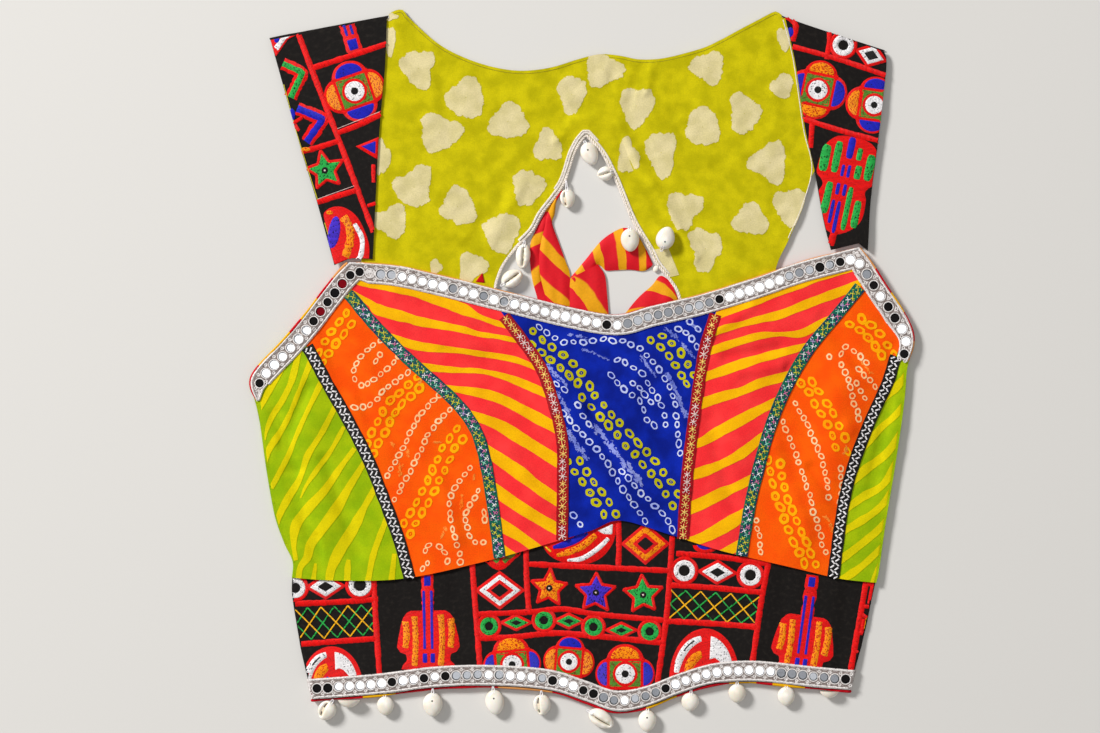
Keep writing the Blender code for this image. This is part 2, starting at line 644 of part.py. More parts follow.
def back_outline(edges, shoulder_in):
    """Outline of the back, anticlockwise from the left shoulder's outer end."""
    clear = CORD_RADIUS + GAP
    key_left = beside(even(smooth(KEYHOLE_LEFT), 26), [-clear])[:, 0]
    key_right = beside(even(smooth(KEYHOLE_RIGHT), 26), [clear])[:, 0]
    waist = beside(edges["waist"], [WAIST_INSET])[:, 0]
    side_clear = SIDE_TURN_UNDER + PANEL_CLOTH / 2 + (FRONT_Z + PANEL_CLOTH) / 2 + 2.2
    left_side = even(edges["side_left"], PANEL_ROWS, 0.05, 1) + (side_clear, 0)
    right_side = even(edges["side_right"], PANEL_ROWS, 0.05, 1) - (side_clear, 0)
    left_shoulder = moved_in(SHOULDER_LEFT, shoulder_in, -1)
    right_shoulder = moved_in(SHOULDER_RIGHT, shoulder_in, -1)

    def waist_part(start_x, end_x):
        return even(waist, 8, crossing(waist, 0, start_x), crossing(waist, 0, end_x))

    waist_left = waist_part(left_side[-1, 0] + 8, key_left[-1, 0])
    waist_right = waist_part(key_right[-1, 0], right_side[-1, 0] - 8)
    left_side[-1] = (left_side[-1, 0], waist_left[0, 1] + WAIST_INSET)
    right_side[-1] = (right_side[-1, 0], waist_right[-1, 1] + WAIST_INSET)
    return np.vstack([
        left_shoulder[0],
        even(smooth(BACK_ARM_LEFT), 14)[1:-1],
        left_side,
        waist_left,
        key_left[-2::-1],
        key_right[:-1],
        waist_right,
        right_side[::-1],
        even(smooth(BACK_ARM_RIGHT), 14)[-2:0:-1],
        right_shoulder[::-1] + ((0, 0), (-1.0, 0)),
        even(smooth(BACK_NECK), 40)[::-1],
        left_shoulder[1] + (1.0, 0),
    ])


def build_back(edges):
    """The back's outer cloth and its lining, with the corded keyhole."""
    strap_outer_radius = (STRAP_Z + CLOTH) / 2
    outer_in = strap_outer_radius + STRAP_TURN_UNDER + GAP
    add_flat("back_outer", back_outline(edges, outer_in), BACK_Z, BACK_Z + CLOTH, "embroidered_black")
    add_flat("back_lining", back_outline(edges, strap_outer_radius + GAP),
             LINING_Z, LINING_Z + CLOTH, "lime_batik")
    left, right = even(smooth(KEYHOLE_LEFT), 26), even(smooth(KEYHOLE_RIGHT), 26)
    add_cord("keyhole_cord", np.vstack([left[::-1], right[1:]]))


def add_cord(name, line):
    """A round cord lying on the surface along a line."""
    side = left_of(line)
    angles = np.arange(CORD_SIDES) * math.tau / CORD_SIDES
    points = []
    for centre, across in zip(line, side):
        for angle in angles:
            x, y = centre + across * CORD_RADIUS * math.cos(angle)
            points.append((x, y, BACK_Z + CORD_RADIUS * (1 + math.sin(angle))))
    faces = [tuple(range(CORD_SIDES))[::-1]]
    for ring in range(len(line) - 1):
        for k in range(CORD_SIDES):
            a = ring * CORD_SIDES + k
            b = ring * CORD_SIDES + (k + 1) % CORD_SIDES
            faces.append((a, b, b + CORD_SIDES, a + CORD_SIDES))
    last = (len(line) - 1) * CORD_SIDES
    faces.append(tuple(range(last, last + CORD_SIDES)))
    return add_mesh(name, points, faces, "cream_cord")


def strap_bottom(line_in, line_out, corner, count):
    """A strap's lower edge, which follows the front's shoulder corner just clear of it."""
    half = count // 2
    return np.vstack([
        even(np.array((line_in, corner)), half)[:-1],
        even(np.array((corner, line_out)), count - half)])


def build_straps(edges):
    """Two straps that lie on the lining and turn under at the shoulder."""
    clear = BINDING_WIDTH + 4 * GAP
    tables = (
        # (name, edges from left to right, shoulder corner of the front)
        ("strap_left", STRAP_LEFT_EDGES, edges["neck"][0] + (0.4, clear)),
        ("strap_right", STRAP_RIGHT_EDGES, edges["neck"][-1] + (0.0, clear)),
    )
    columns, rows = 4, 10
    radius = (STRAP_Z + CLOTH) / 2
    for name, (left, right), corner in tables:
        left, right = smooth(left), smooth(right)
        fold_start, fold_end = moved_in((left[0], right[0]), radius, -1)
        left[0], right[0] = fold_start, fold_end
        left, right = even(left, rows), even(right, rows)
        bottom = strap_bottom(left[-1], right[-1], corner, columns)
        plan = coons(left, right, even(np.array((fold_start, fold_end)), columns), bottom)
        outer, inner = raised(plan, STRAP_Z + CLOTH), raised(plan, STRAP_Z)
        outward = unit(plan[0] - plan[1])
        turn = turned_under(plan[0], outward, (STRAP_Z + CLOTH, BACK_Z), CLOTH, STRAP_TURN_UNDER)
        grids = [np.concatenate([fold[:, ::-1].transpose(1, 0, 2), flat], axis=0)
                 for fold, flat in zip(turn, (outer, inner))]
        add_grid(name, *grids, "embroidered_black")


def build_ties():
    """Sash ties lying on the surface inside the keyhole."""
    for name, outline in TIES.items():
        add_flat(name, np.array(outline, float), BACK_Z, BACK_Z + TIE_THICK, "striped_tie")


def add_cowrie(name, x, y, length, width, angle, base, thread, share):
    """One cowrie: a rounded shell, flatter below, with a short thread from its pierced end."""
    height = 0.56 * width
    reach = length / 2
    rings = []
    shown = [t for t in COWRIE_RINGS if t < 2 * share - 1]
    if share < 1:
        shown.append(2 * share - 1)
    for t in shown:
        girth = math.sqrt(1 - t * t)
        rings.append((t * reach, girth * width / 2, girth * height / 2, height / 2))
    if thread:
        for along in (reach + 0.4, reach + 0.4 + thread):
            rings.append((along, COWRIE_THREAD_RADIUS, COWRIE_THREAD_RADIUS, COWRIE_THREAD_Z))
    ahead = np.array((math.cos(math.radians(angle)), math.sin(math.radians(angle))))
    aside = np.array((-ahead[1], ahead[0]))
    points = []
    for along, half_width, half_height, middle in rings:
        for k in range(COWRIE_SIDES):
            turn = k * math.tau / COWRIE_SIDES
            plan = np.array((x, y)) + ahead * along + aside * half_width * math.cos(turn)
            points.append((*plan, base + middle + half_height * math.sin(turn)))
    faces = [tuple(range(COWRIE_SIDES))[::-1]]
    for ring in range(len(rings) - 1):
        for k in range(COWRIE_SIDES):
            a = ring * COWRIE_SIDES + k
            b = ring * COWRIE_SIDES + (k + 1) % COWRIE_SIDES
            faces.append((a, b, b + COWRIE_SIDES, a + COWRIE_SIDES))
    last = (len(rings) - 1) * COWRIE_SIDES
    faces.append(tuple(range(last, last + COWRIE_SIDES)))
    return add_mesh(name, points, faces, "cowrie")


def build_cowries():
    """Cowries below the hem and inside the keyhole."""
    for prefix, table in (("hem_cowrie", HEM_COWRIES), ("key_cowrie", KEYHOLE_COWRIES)):
        for number, row in enumerate(table, 1):
            add_cowrie(f"{prefix}_{number:02d}", *row)


def main():
    for old in list(bpy.data.objects):
        bpy.data.objects.remove(old, do_unlink=True)
    edges = edge_lines()
    seams, tops, bottoms = seam_lines(edges)
    build_panels(edges, seams, tops, bottoms)
    build_tapes(edges, seams)
    build_front_trim(edges)
    build_band(edges)
    build_back(edges)
    build_straps(edges)
    build_ties()
    build_cowries()


main()
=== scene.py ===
"""A choli blouse laid flat, front up: its cloth, dyed prints, stitching, mirrors and shells.

Tables are in millimetres on the laid-out garment: x to the right, y towards the neck, z up from
the surface that it lies on. to_row() turns them into the frame's metres.
"""
import math

import bpy
import numpy as np
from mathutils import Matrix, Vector
from mathutils.geometry import delaunay_2d_cdt


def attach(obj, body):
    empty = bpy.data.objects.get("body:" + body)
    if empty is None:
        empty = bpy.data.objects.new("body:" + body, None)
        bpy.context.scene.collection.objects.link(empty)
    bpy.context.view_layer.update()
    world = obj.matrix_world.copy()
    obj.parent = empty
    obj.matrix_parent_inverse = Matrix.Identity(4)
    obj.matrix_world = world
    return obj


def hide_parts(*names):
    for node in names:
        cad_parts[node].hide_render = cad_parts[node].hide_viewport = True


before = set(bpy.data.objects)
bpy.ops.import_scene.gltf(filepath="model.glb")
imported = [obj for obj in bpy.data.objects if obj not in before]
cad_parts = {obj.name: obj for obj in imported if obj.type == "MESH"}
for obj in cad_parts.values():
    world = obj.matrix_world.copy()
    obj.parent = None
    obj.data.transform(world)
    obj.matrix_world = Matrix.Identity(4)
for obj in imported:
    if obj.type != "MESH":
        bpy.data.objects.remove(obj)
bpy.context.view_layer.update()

MM = 0.001
# Middle of the whole garment in the tables' coordinates, which is the frame's origin.
MIDDLE = (-0.49, -0.7)
rng = np.random.default_rng(7)

# Thickness of each kind of cloth, and the gap between two layers.
CLOTH = 1.0
PANEL_CLOTH = 1.2
TRIM_CLOTH = 1.0
GAP = 0.3
# Height of each layer's lower face above the surface, from the bottom up.
BACK_Z = 0.0
LINING_Z = BACK_Z + CLOTH + GAP
STRAP_Z = LINING_Z + CLOTH + GAP
FRONT_Z = STRAP_Z + GAP
# How far the band's front leaf lies above its back leaf, and how far lace lifts the band at the hem.
BAND_FRONT_RISE = CLOTH + GAP
BAND_HEM_RISE = TRIM_CLOTH + GAP

# Widths of the tapes and the laces, and of the end of the one lace that tapers.
TAPE_WIDTH = 8.0
LACE_WIDTH = 13.6
LACE_END_WIDTH = 7.0
# How far the side panels and the straps go on under their folds.
SIDE_TURN_UNDER = 14.0
STRAP_TURN_UNDER = 3.0

# Outer edges of the front, through these points (x, y).
NECK = (
    (-155.5, 71.5), (-126, 69.5), (-95.5, 63), (-51.5, 52), (-6.5, 41), (22.5, 36.5),
    (44.5, 42), (78, 50), (112.5, 60.5), (144.5, 71.5), (183.5, 81.5),
)
ARM_LEFT = (
    (-155.5, 71.5), (-162, 65.5), (-172.5, 52.5), (-187.5, 33), (-201.5, 17),
    (-214.5, 3.5), (-220.5, -5.5), (-220.5, -13), (-216.5, -21),
)
ARM_RIGHT = (
    (183.5, 81.5), (192, 70.5), (202, 55), (211.5, 41), (218.5, 27), (219.5, 16.5), (215.5, 5),
)
SIDE_LEFT = (
    (-216.5, -21), (-213.5, -47.5), (-210, -74.5), (-205.5, -99), (-199.5, -116.5),
    (-194, -128.5), (-194.5, -138.5),
)
SIDE_RIGHT = ((215.5, 5), (214, -20.5), (208, -64.5), (202, -101), (197.5, -133), (195.5, -142))
WAIST = (
    (-194.5, -138.5), (-162, -140.5), (-118.5, -139), (-68.5, -128.5), (-28.5, -117.5),
    (4.5, -107.5), (24.5, -100.5), (56.5, -109.5), (91.5, -120.5), (138, -131.5),
    (170, -139), (195.5, -142),
)
HEM = (
    (-180.5, -219.5), (-134.5, -216), (-98, -211.5), (-60.5, -210.5), (-22, -213.5), (2, -221),
    (22, -227.5), (42, -224.5), (62.5, -216.5), (85.5, -209.5), (107.5, -207.5),
    (126.5, -208.5), (149.5, -211), (178, -213.5),
)
BAND_LEFT = ((-194.5, -138.5), (-194.5, -150.5), (-190, -179), (-186.5, -195), (-180.5, -219.5))
BAND_RIGHT = ((195.5, -142), (193, -153.5), (188.5, -175), (182, -198.5), (178, -213.5))
LACE_CORNER_LEFT = (-148.5, 59.5)
LACE_CORNER_RIGHT = (179.0, 66.5)

# Bodice seams: where each leaves the top edge, the points that it passes, and where it meets the waist.
SEAMS = {
    # name: (top edge, axis of the crossing, its value, points, x at the waist)
    "black_left": (
        "arm_left", 1, 27.0,
        ((-182.5, 13.5), (-169.5, -10.5), (-157.5, -31.5), (-143.5, -58.5), (-133.5, -83.5),
         (-122.5, -113)), -115.5),
    "green_left": (
        "arm_left", 1, 59.0,
        ((-155, 49), (-140, 31), (-118, 8.5), (-87.5, -19), (-73.5, -36.5), (-66.5, -54.5),
         (-60.5, -87)), -55.5),
    "red_left": (
        "neck", 0, -62.0,
        ((-55.5, 40), (-41.5, 21), (-28, 1), (-19.5, -23), (-14, -47), (-13.5, -73.5)), -14.0),
    "red_right": (
        "neck", 0, 92.5,
        ((88.5, 38.5), (80.5, 11), (75.5, -20.5), (70.5, -59), (68, -87)), 66.5),
    "green_right": (
        "arm_right", 1, 68.0,
        ((185.5, 56.5), (167.5, 34.5), (149.5, 12.5), (134, -15), (123.5, -41.5), (115.5, -71),
         (110.5, -93.5)), 105.5),
    "black_right": (
        "arm_right", 1, 27.0,
        ((208.5, 9.5), (202.5, -9), (190, -36.5), (179.5, -64.5), (172.5, -93.5)), 166.5),
}

# Soft folds of the bodice, ridges above and troughs below.
FRONT_FOLDS = (
    # (x1, y1, x2, y2, half-width, height)
    (-13.0, -12.0, 28.0, -73.0, 18.0, 2.0),
    (-188.0, -15.0, -172.0, -100.0, 15.0, 1.2),
    (178.0, -5.0, 158.0, -88.0, 17.0, 1.4),
    (112.0, 22.0, 97.0, -60.0, 18.0, 0.8),
    (-6.0, -2.0, 6.0, -26.0, 3.8, -1.2),
    (6.0, -26.0, 24.0, -70.0, 4.2, -1.2),
    (10.0, -20.0, 40.0, -52.0, 5.0, 0.6),
    (-22.0, 12.0, -8.0, -6.0, 4.0, -0.8),
    (-205.0, -30.0, -190.0, -66.0, 3.8, -1.2),
    (-183.0, -12.0, -200.0, -52.0, 3.6, -0.9),
    (-196.0, -70.0, -178.0, -122.0, 4.2, -1.1),
    (-172.0, -60.0, -150.0, -122.0, 4.5, -0.8),
    (-178.0, -112.0, -176.0, -134.0, 3.0, -1.0),
    (-172.0, 28.0, -158.0, -12.0, 4.2, -1.0),
    (-150.0, 12.0, -128.0, -30.0, 5.5, 0.7),
    (-152.0, -8.0, -140.0, -36.0, 3.4, -0.7),
    (-128.0, -35.0, -104.0, -92.0, 6.0, -0.8),
    (-96.0, -70.0, -84.0, -112.0, 5.0, 0.7),
    (-120.0, 46.0, -70.0, 26.0, 4.5, -0.7),
    (-92.0, 12.0, -40.0, -14.0, 4.0, -0.6),
    (-62.0, 8.0, -34.0, -22.0, 4.5, -0.7),
    (-50.0, -55.0, -22.0, -95.0, 5.0, 0.7),
    (24.0, 20.0, 58.0, 4.0, 5.0, 0.7),
    (40.0, -20.0, 62.0, -64.0, 5.0, -0.7),
    (86.0, 24.0, 112.0, 42.0, 4.0, 0.7),
    (96.0, 8.0, 130.0, 14.0, 4.0, -0.8),
    (104.0, -2.0, 132.0, 2.0, 3.5, 0.5),
    (84.0, -34.0, 100.0, -92.0, 5.0, -0.7),
    (160.0, 34.0, 184.0, 2.0, 4.0, -0.9),
    (138.0, 0.0, 170.0, -34.0, 4.0, -1.2),
    (146.0, -8.0, 178.0, -40.0, 4.5, 0.8),
    (152.0, -66.0, 170.0, -92.0, 4.0, -1.0),
    (128.0, -52.0, 150.0, -110.0, 5.0, 0.7),
    (204.0, -20.0, 192.0, -80.0, 4.0, -0.8),
    (208.0, 0.0, 204.0, 14.0, 3.0, -0.9),
)

# The back: its neck edge, the shoulder folds, its armholes, and the keyhole from apex to waist.
BACK_NECK = (
    (-129.5, 236.5), (-125.5, 239), (-120, 239.5), (-116, 234.5), (-98.5, 218.5), (-82, 209),
    (-62, 202), (-42, 199), (-22, 201), (-2, 207), (11.5, 210), (24.5, 209), (38, 206.5),
    (54.5, 207.5), (78, 213.5), (91.5, 219.5), (104.5, 226.5), (116, 232.5), (123.5, 236.5),
    (128.5, 238.5), (132.5, 236),
)
SHOULDER_LEFT = ((-208.5, 221.0), (-130.5, 236.0))
SHOULDER_RIGHT = ((134.0, 236.5), (199.0, 214.0))
BACK_ARM_LEFT = (
    (-202.0, 216.0), (-182, 173), (-158.5, 119.5), (-147.5, 71.5), (-149.5, 33), (-165.5, -1.5),
    (-195.5, -25.5),
)
BACK_ARM_RIGHT = (
    (193.0, 206.0), (178, 166.5), (153.5, 131), (146.5, 108.5), (137.5, 87.5), (128, 65.5),
    (127, 36.5), (141.5, 11.5), (169, -2.0), (195.0, 1.0),
)
KEYHOLE_LEFT = (
    (2, 156.5), (-2.5, 151), (-6.5, 143), (-10, 131.5), (-13.5, 123), (-19.5, 114.5),
    (-28, 103.5), (-34, 92.5), (-45.5, 80.5), (-55.5, 65), (-58.5, 46.5), (-50, 13),
    (-25.5, -47), (-5.0, -95.0),
)
KEYHOLE_RIGHT = (
    (2, 156.5), (12.5, 144.5), (19.5, 131.5), (24, 121.5), (31.5, 103), (37.5, 91.5),
    (45.5, 78.5), (49.5, 70.5), (57.5, 60.5), (64, 49), (66.5, 26.5), (54, -20.5),
    (24.5, -73.5), (15.0, -93.0),
)
STRAP_LEFT_EDGES = (
    ((-208.5, 221), (-188.5, 149.5), (-177.5, 113), (-165.5, 69.5)),
    ((-130.5, 236), (-132, 199.5), (-136, 153), (-140, 73.5)),
)
STRAP_RIGHT_EDGES = (
    ((134, 236.5), (139.5, 213), (142.5, 196.5), (148, 159.5), (153.5, 135.5), (160, 99.5),
     (165, 79.5)),
    ((199, 214), (202, 205), (199.5, 179.5), (196.5, 153), (191.5, 113), (189.5, 79.0)),
)


# ---------------------------------------------------------------- lines and grids of points

def even(line, count, start=0.0, end=1.0):
    """count + 1 points spaced evenly along a polyline, between two fractions of its length."""
    line = np.asarray(line, float)
    steps = np.linalg.norm(np.diff(line, axis=0), axis=1)
    reach = np.concatenate([[0.0], np.cumsum(steps)])
    wanted = np.linspace(start, end, count + 1) * reach[-1]
    return np.column_stack([np.interp(wanted, reach, column) for column in line.T])


def length_of(line):
    """Length of a polyline."""
    return np.linalg.norm(np.diff(line, axis=0), axis=1).sum()


def smooth(points, count=160):
    """Evenly spaced points on a Catmull-Rom curve through the given points."""
    given = np.array(points, float)
    ends = np.vstack([2 * given[0] - given[1], given, 2 * given[-1] - given[-2]])
    t = np.linspace(0, 1, 10, endpoint=False)[:, None]
    runs = []
    for a, b, c, d in zip(ends, ends[1:], ends[2:], ends[3:]):
        bend = (2 * a - 5 * b + 4 * c - d) * t ** 2 + (3 * b - a - 3 * c + d) * t ** 3
        runs.append(0.5 * (2 * b + (c - a) * t + bend))
    return even(np.vstack(runs + [given[-1:]]), count)


def crossing(line, axis, value):
    """Fraction of a line's length where one coordinate reaches a value, met only once."""
    share = np.linspace(0, 1, len(line))
    order = np.argsort(line[:, axis])
    return float(np.interp(value, line[order, axis], share[order]))


def unit(vectors):
    """The same directions at length 1."""
    return vectors / np.linalg.norm(vectors, axis=-1, keepdims=True)


def left_of(line):
    """Unit direction to the left of a line at each of its points."""
    ahead = unit(np.gradient(line, axis=0))
    return np.column_stack([-ahead[:, 1], ahead[:, 0]])


def beside(line, offsets):
    """Grid of points beside a line: a column for each distance to its left, a row for each point."""
    offsets = np.broadcast_to(np.asarray(offsets, float), (len(line), np.shape(offsets)[-1]))
    return line[:, None] + left_of(line)[:, None] * offsets[:, :, None]


def coons(left, right, top, bottom):
    """Grid of points between four edges: rows run from top to bottom, columns from left to right."""
    v = np.linspace(0, 1, len(left))[:, None, None]
    u = np.linspace(0, 1, len(top))[None, :, None]
    across = (1 - u) * left[:, None] + u * right[:, None]
    down = (1 - v) * top[None] + v * bottom[None]
    upper = (1 - u) * top[0] + u * top[-1]
    lower = (1 - u) * bottom[0] + u * bottom[-1]
    return across + down - (1 - v) * upper - v * lower


def raised(plan, height):
    """Points of a plan, each at its height."""
    height = np.broadcast_to(height, plan.shape[:-1])
    return np.concatenate([plan, height[..., None]], axis=-1)


def to_row(points):
    """Points of the tables in the frame's metres."""
    return (np.asarray(points, float) - (*MIDDLE, 0.0)) * MM


def inside(points, polygon):
    """For each point, whether it is inside a polygon."""
    x, y = points[..., 0], points[..., 1]
    found = np.zeros(x.shape, bool)
    for (x1, y1), (x2, y2) in zip(polygon, np.roll(polygon, -1, axis=0)):
        if y1 != y2:
            found ^= ((y1 > y) != (y2 > y)) & (x < (x2 - x1) * (y - y1) / (y2 - y1) + x1)
    return found


# ---------------------------------------------------------------- relief of the cloth

def ripple(plan, size, seed):
    """Soft random relief between about -1 and 1, with humps of about the given size."""
    waves = np.random.default_rng(seed)
    total = np.zeros(plan.shape[:-1])
    for _ in range(9):
        angle, phase = waves.uniform(0, math.tau, 2)
        turn = math.tau / (size * waves.uniform(1.5, 3.0))
        total += np.sin((plan[..., 0] * math.cos(angle) + plan[..., 1] * math.sin(angle)) * turn + phase)
    return total / 4


def folds(plan, table):
    """Height that a table of soft folds adds at each point."""
    total = np.zeros(plan.shape[:-1])
    for x1, y1, x2, y2, half_width, height in table:
        start = np.array((x1, y1))
        run = np.array((x2, y2)) - start
        along = np.clip(((plan - start) @ run) / (run @ run), 0, 1)
        near = np.linalg.norm(plan - start - along[..., None] * run, axis=-1)
        total += height * np.exp(-(near / half_width) ** 2)
    return total


# The troughs get no deeper than this, so the bodice stays above what it lies on.
DEEPEST = 0.95
FRONT_FOLD_GAIN = 1.7


def front_rise(plan):
    """Height of the bodice's folds and ripples."""
    rise = FRONT_FOLD_GAIN * folds(plan, FRONT_FOLDS) + 0.34 * ripple(plan, 20, 1) + 0.15 * ripple(plan, 8, 2)
    return np.where(rise < 0, DEEPEST * np.tanh(rise / DEEPEST), rise)


def front_top(plan):
    """Upper face of the bodice's panels."""
    return FRONT_Z + PANEL_CLOTH + front_rise(plan)


# ---------------------------------------------------------------- pieces

def grid_faces(rows, columns):
    """Quads of a grid of points, facing up where rows run down the page or ahead along a line."""
    corner = (np.arange(rows - 1)[:, None] * columns + np.arange(columns - 1)).ravel()
    return np.stack([corner, corner + columns, corner + columns + 1, corner + 1], axis=1)


def grid_lengths(grid):
    """Cloth coordinates of a grid's points: distance along its columns and along its rows."""
    across = np.linalg.norm(np.diff(grid, axis=1), axis=-1).mean(axis=0)
    along = np.linalg.norm(np.diff(grid, axis=0), axis=-1).mean(axis=1)
    u = np.concatenate([[0], np.cumsum(across)])
    v = np.concatenate([[0], np.cumsum(along)])
    u, v = np.meshgrid(u, v)
    return np.stack([u, v, np.zeros_like(u)], axis=-1)


class Piece:
    """Points, faces, paints and thread coordinates of one object, collected before it is made."""

    def __init__(self):
        self.points, self.threads, self.faces, self.paints = [], [], [], []
        self.count = 0
        self.border = None

    def add(self, points, faces, paint, threads):
        """Adds points with their faces, all of one paint, leaving out what lies beyond the border."""
        points = np.asarray(points, float).reshape(-1, 3)
        threads = np.asarray(threads, float).reshape(-1, 3)
        faces = np.asarray(faces)
        if self.border is not None:
            faces = faces[inside(points[faces, :2].mean(axis=1), self.border)]
            used, places = np.unique(faces, return_inverse=True)
            points, threads, faces = points[used], threads[used], places.reshape(faces.shape)
        self.points.append(points)
        self.threads.append(threads)
        self.faces.append(faces + self.count)
        self.paints.append(np.full(len(faces), PAINT_NUMBER[paint]))
        self.count += len(points)

    def wall(self, outer, inner, paint, threads=None):
        """Adds a closed wall between two grids of points."""
        rows, columns = outer.shape[:2]
        count = rows * columns
        threads = grid_lengths(outer) if threads is None else threads
        top = grid_faces(rows, columns)
        index = np.arange(count).reshape(rows, columns)
        loop = np.concatenate([index[:-1, 0], index[-1, :-1], index[:0:-1, -1], index[0, :0:-1]])
        after = np.roll(loop, -1)
        rim = np.stack([after, loop, loop + count, after + count], axis=1)
        faces = np.vstack([top, top[:, ::-1] + count, rim])
        self.add(np.vstack([outer.reshape(-1, 3), inner.reshape(-1, 3)]), faces, paint,
                 np.vstack([threads.reshape(-1, 3)] * 2))

    def make(self, name, slot, *nodes, sharp=40):
        """The object, which rides on the body and stands for the CAD nodes."""
        mesh = bpy.data.meshes.new(name)
        faces = [face for group in self.faces for face in group.tolist()]
        mesh.from_pydata(to_row(np.vstack(self.points)).tolist(), [], faces)
        numbers = np.concatenate(self.paints)
        used = np.unique(numbers)
        for number in used:
            mesh.materials.append(PAINTS[PAINT_NAMES[number]])
        mesh.polygons.foreach_set("material_index", np.searchsorted(used, numbers).astype(np.int32))
        mesh.attributes.new("thread", "FLOAT_VECTOR", "POINT")
        mesh.attributes["thread"].data.foreach_set("vector", np.vstack(self.threads).ravel())
        mesh.shade_smooth()
        mesh.set_sharp_from_angle(angle=math.radians(sharp))
        made = bpy.data.objects.new(name, mesh)
        bpy.context.scene.collection.objects.link(made)
        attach(made, "root")
        if nodes:
            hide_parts(*nodes)
        return made


def declare(made, rests_on, *outers):
    """Works out the area, width and length of the cut that a piece's outer grids of points were made from,
    and keeps none of them.
    """
    areas, widths, lengths = [], [], []
    for outer in outers:
        grid = outer * MM
        a, b, c, d = grid[:-1, :-1], grid[1:, :-1], grid[1:, 1:], grid[:-1, 1:]
        halves = np.cross(b - a, c - a), np.cross(c - a, d - a)
        areas.append(sum(np.linalg.norm(half, axis=-1).sum() for half in halves) / 2)
        widths.append(np.linalg.norm(np.diff(grid, axis=1), axis=-1).sum(axis=1).max())
        lengths.append(np.linalg.norm(np.diff(grid, axis=0), axis=-1).sum(axis=0).max())


# ---------------------------------------------------------------- paints

def linear(red, green, blue):
    """A colour given in 0 to 255 as the eye sees it, as the renderer's light values."""
    light = [((c / 255 + 0.055) / 1.055) ** 2.4 if c > 10 else c / 3295 for c in (red, green, blue)]
    return (*light, 1.0)


class Graph:
    """A material under construction, with its nodes written as nested calls."""

    def __init__(self, roughness, **settings):
        self.material = bpy.data.materials.new("paint")
        self.material.use_nodes = True
        self.nodes = self.material.node_tree.nodes
        self.links = self.material.node_tree.links
        self.shader = self.nodes["Principled BSDF"]
        self.shader.inputs["Roughness"].default_value = roughness
        for key, value in settings.items():
            self.shader.inputs[key.replace("_", " ")].default_value = value

    def node(self, kind, inputs, output=0, **settings):
        """Output of a new node whose inputs are numbers, colours or other nodes' outputs."""
        made = self.nodes.new("ShaderNode" + kind)
        for key, value in settings.items():
            setattr(made, key, value)
        for key, value in inputs.items():
            self.feed(made.inputs[key], value)
        return made.outputs[output]

    def feed(self, socket, value):
        """Sets an input to a value or links it."""
        if isinstance(value, bpy.types.NodeSocket):
            self.links.new(value, socket)
        else:
            socket.default_value = value

    def math(self, operation, a, b=0.0, c=0.0):
        """Output of a calculation on up to three values."""
        return self.node("Math", {0: a, 1: b, 2: c}, operation=operation)

    def threads(self):
        """The cloth coordinates: along, across and the seed of a stitch."""
        vector = self.node("Attribute", {}, 1, attribute_name="thread")
        split = self.nodes.new("ShaderNodeSeparateXYZ")
        self.links.new(vector, split.inputs[0])
        return vector, split.outputs[0], split.outputs[1], split.outputs[2]

    def noise(self, vector, scale, detail, stretch=(1, 1, 1)):
        """Noise from 0 to 1 whose features are about 1/scale wide."""
        placed = self.node("VectorMath", {0: vector, 1: stretch}, operation="MULTIPLY")
        return self.node("TexNoise", {"Vector": placed, "Scale": scale, "Detail": detail})

    def between(self, value, low, high, to_low=0.0, to_high=1.0):
        """A value's place between two limits, eased, as a share between two others."""
        inputs = {0: value, 1: low, 2: high, 3: to_low, 4: to_high}
        return self.node("MapRange", inputs, interpolation_type="SMOOTHSTEP")

    def mix(self, factor, a, b):
        """A colour between two others."""
        return self.node("Mix", {0: factor, 6: a, 7: b}, 2, data_type="RGBA")

    def shade(self, colour, amount):
        """A colour made darker or lighter by a factor."""
        colour = colour[:3] if isinstance(colour, tuple) else colour
        return self.node("VectorMath", {0: colour, 3: amount}, operation="SCALE")

    def bump(self, height, depth):
        """A bump of the given depth in millimetres."""
        return self.node("Bump", {"Height": height, "Distance": depth * MM})

    def finish(self, colour, normal=None, roughness=None):
        """Links the colour, the normal and the roughness, and gives back the material."""
        self.feed(self.shader.inputs["Base Color"], colour)
        if normal is not None:
            self.feed(self.shader.inputs["Normal"], normal)
        if roughness is not None:
            self.feed(self.shader.inputs["Roughness"], roughness)
        return self.material


def weave(g, vector, u, v, pitch):
    """Height of a plain weave: threads that pass over and under, with a slub here and there."""
    turn = math.tau / pitch
    over = g.math("MULTIPLY", g.math("SINE", g.math("MULTIPLY", u, turn)),
                  g.math("SINE", g.math("MULTIPLY", v, turn)))
    slub_u = g.noise(vector, 1.0, 1.0, (0.25, 3.0, 1))
    slub_v = g.noise(vector, 1.0, 1.0, (3.0, 0.25, 1))
    return g.math("ADD", g.math("MULTIPLY", over, 0.5), g.math("ADD", slub_u, slub_v))


def darker(colour, share):
    """A share of a colour's red, green and blue."""
    return [part * share for part in colour]


def cotton(colour, second=None, depth=0.08, cloud=0.07):
    """Dyed cotton: a plain weave with the dye a little uneven."""
    g = Graph(0.75, Sheen_Weight=0.03, Sheen_Roughness=0.4, Specular_IOR_Level=0.08)
    vector, u, v, _ = g.threads()
    cloudy = g.between(g.noise(vector, cloud, 5.0), 0.34, 0.66)
    dyed = g.mix(cloudy, linear(*colour), linear(*(second or darker(colour, 0.93))))
    fine = g.between(g.noise(vector, 1.1, 4.0), 0.25, 0.75, 0.9, 1.06)
    return g.finish(g.shade(dyed, fine), g.bump(weave(g, vector, u, v, 0.55), depth))


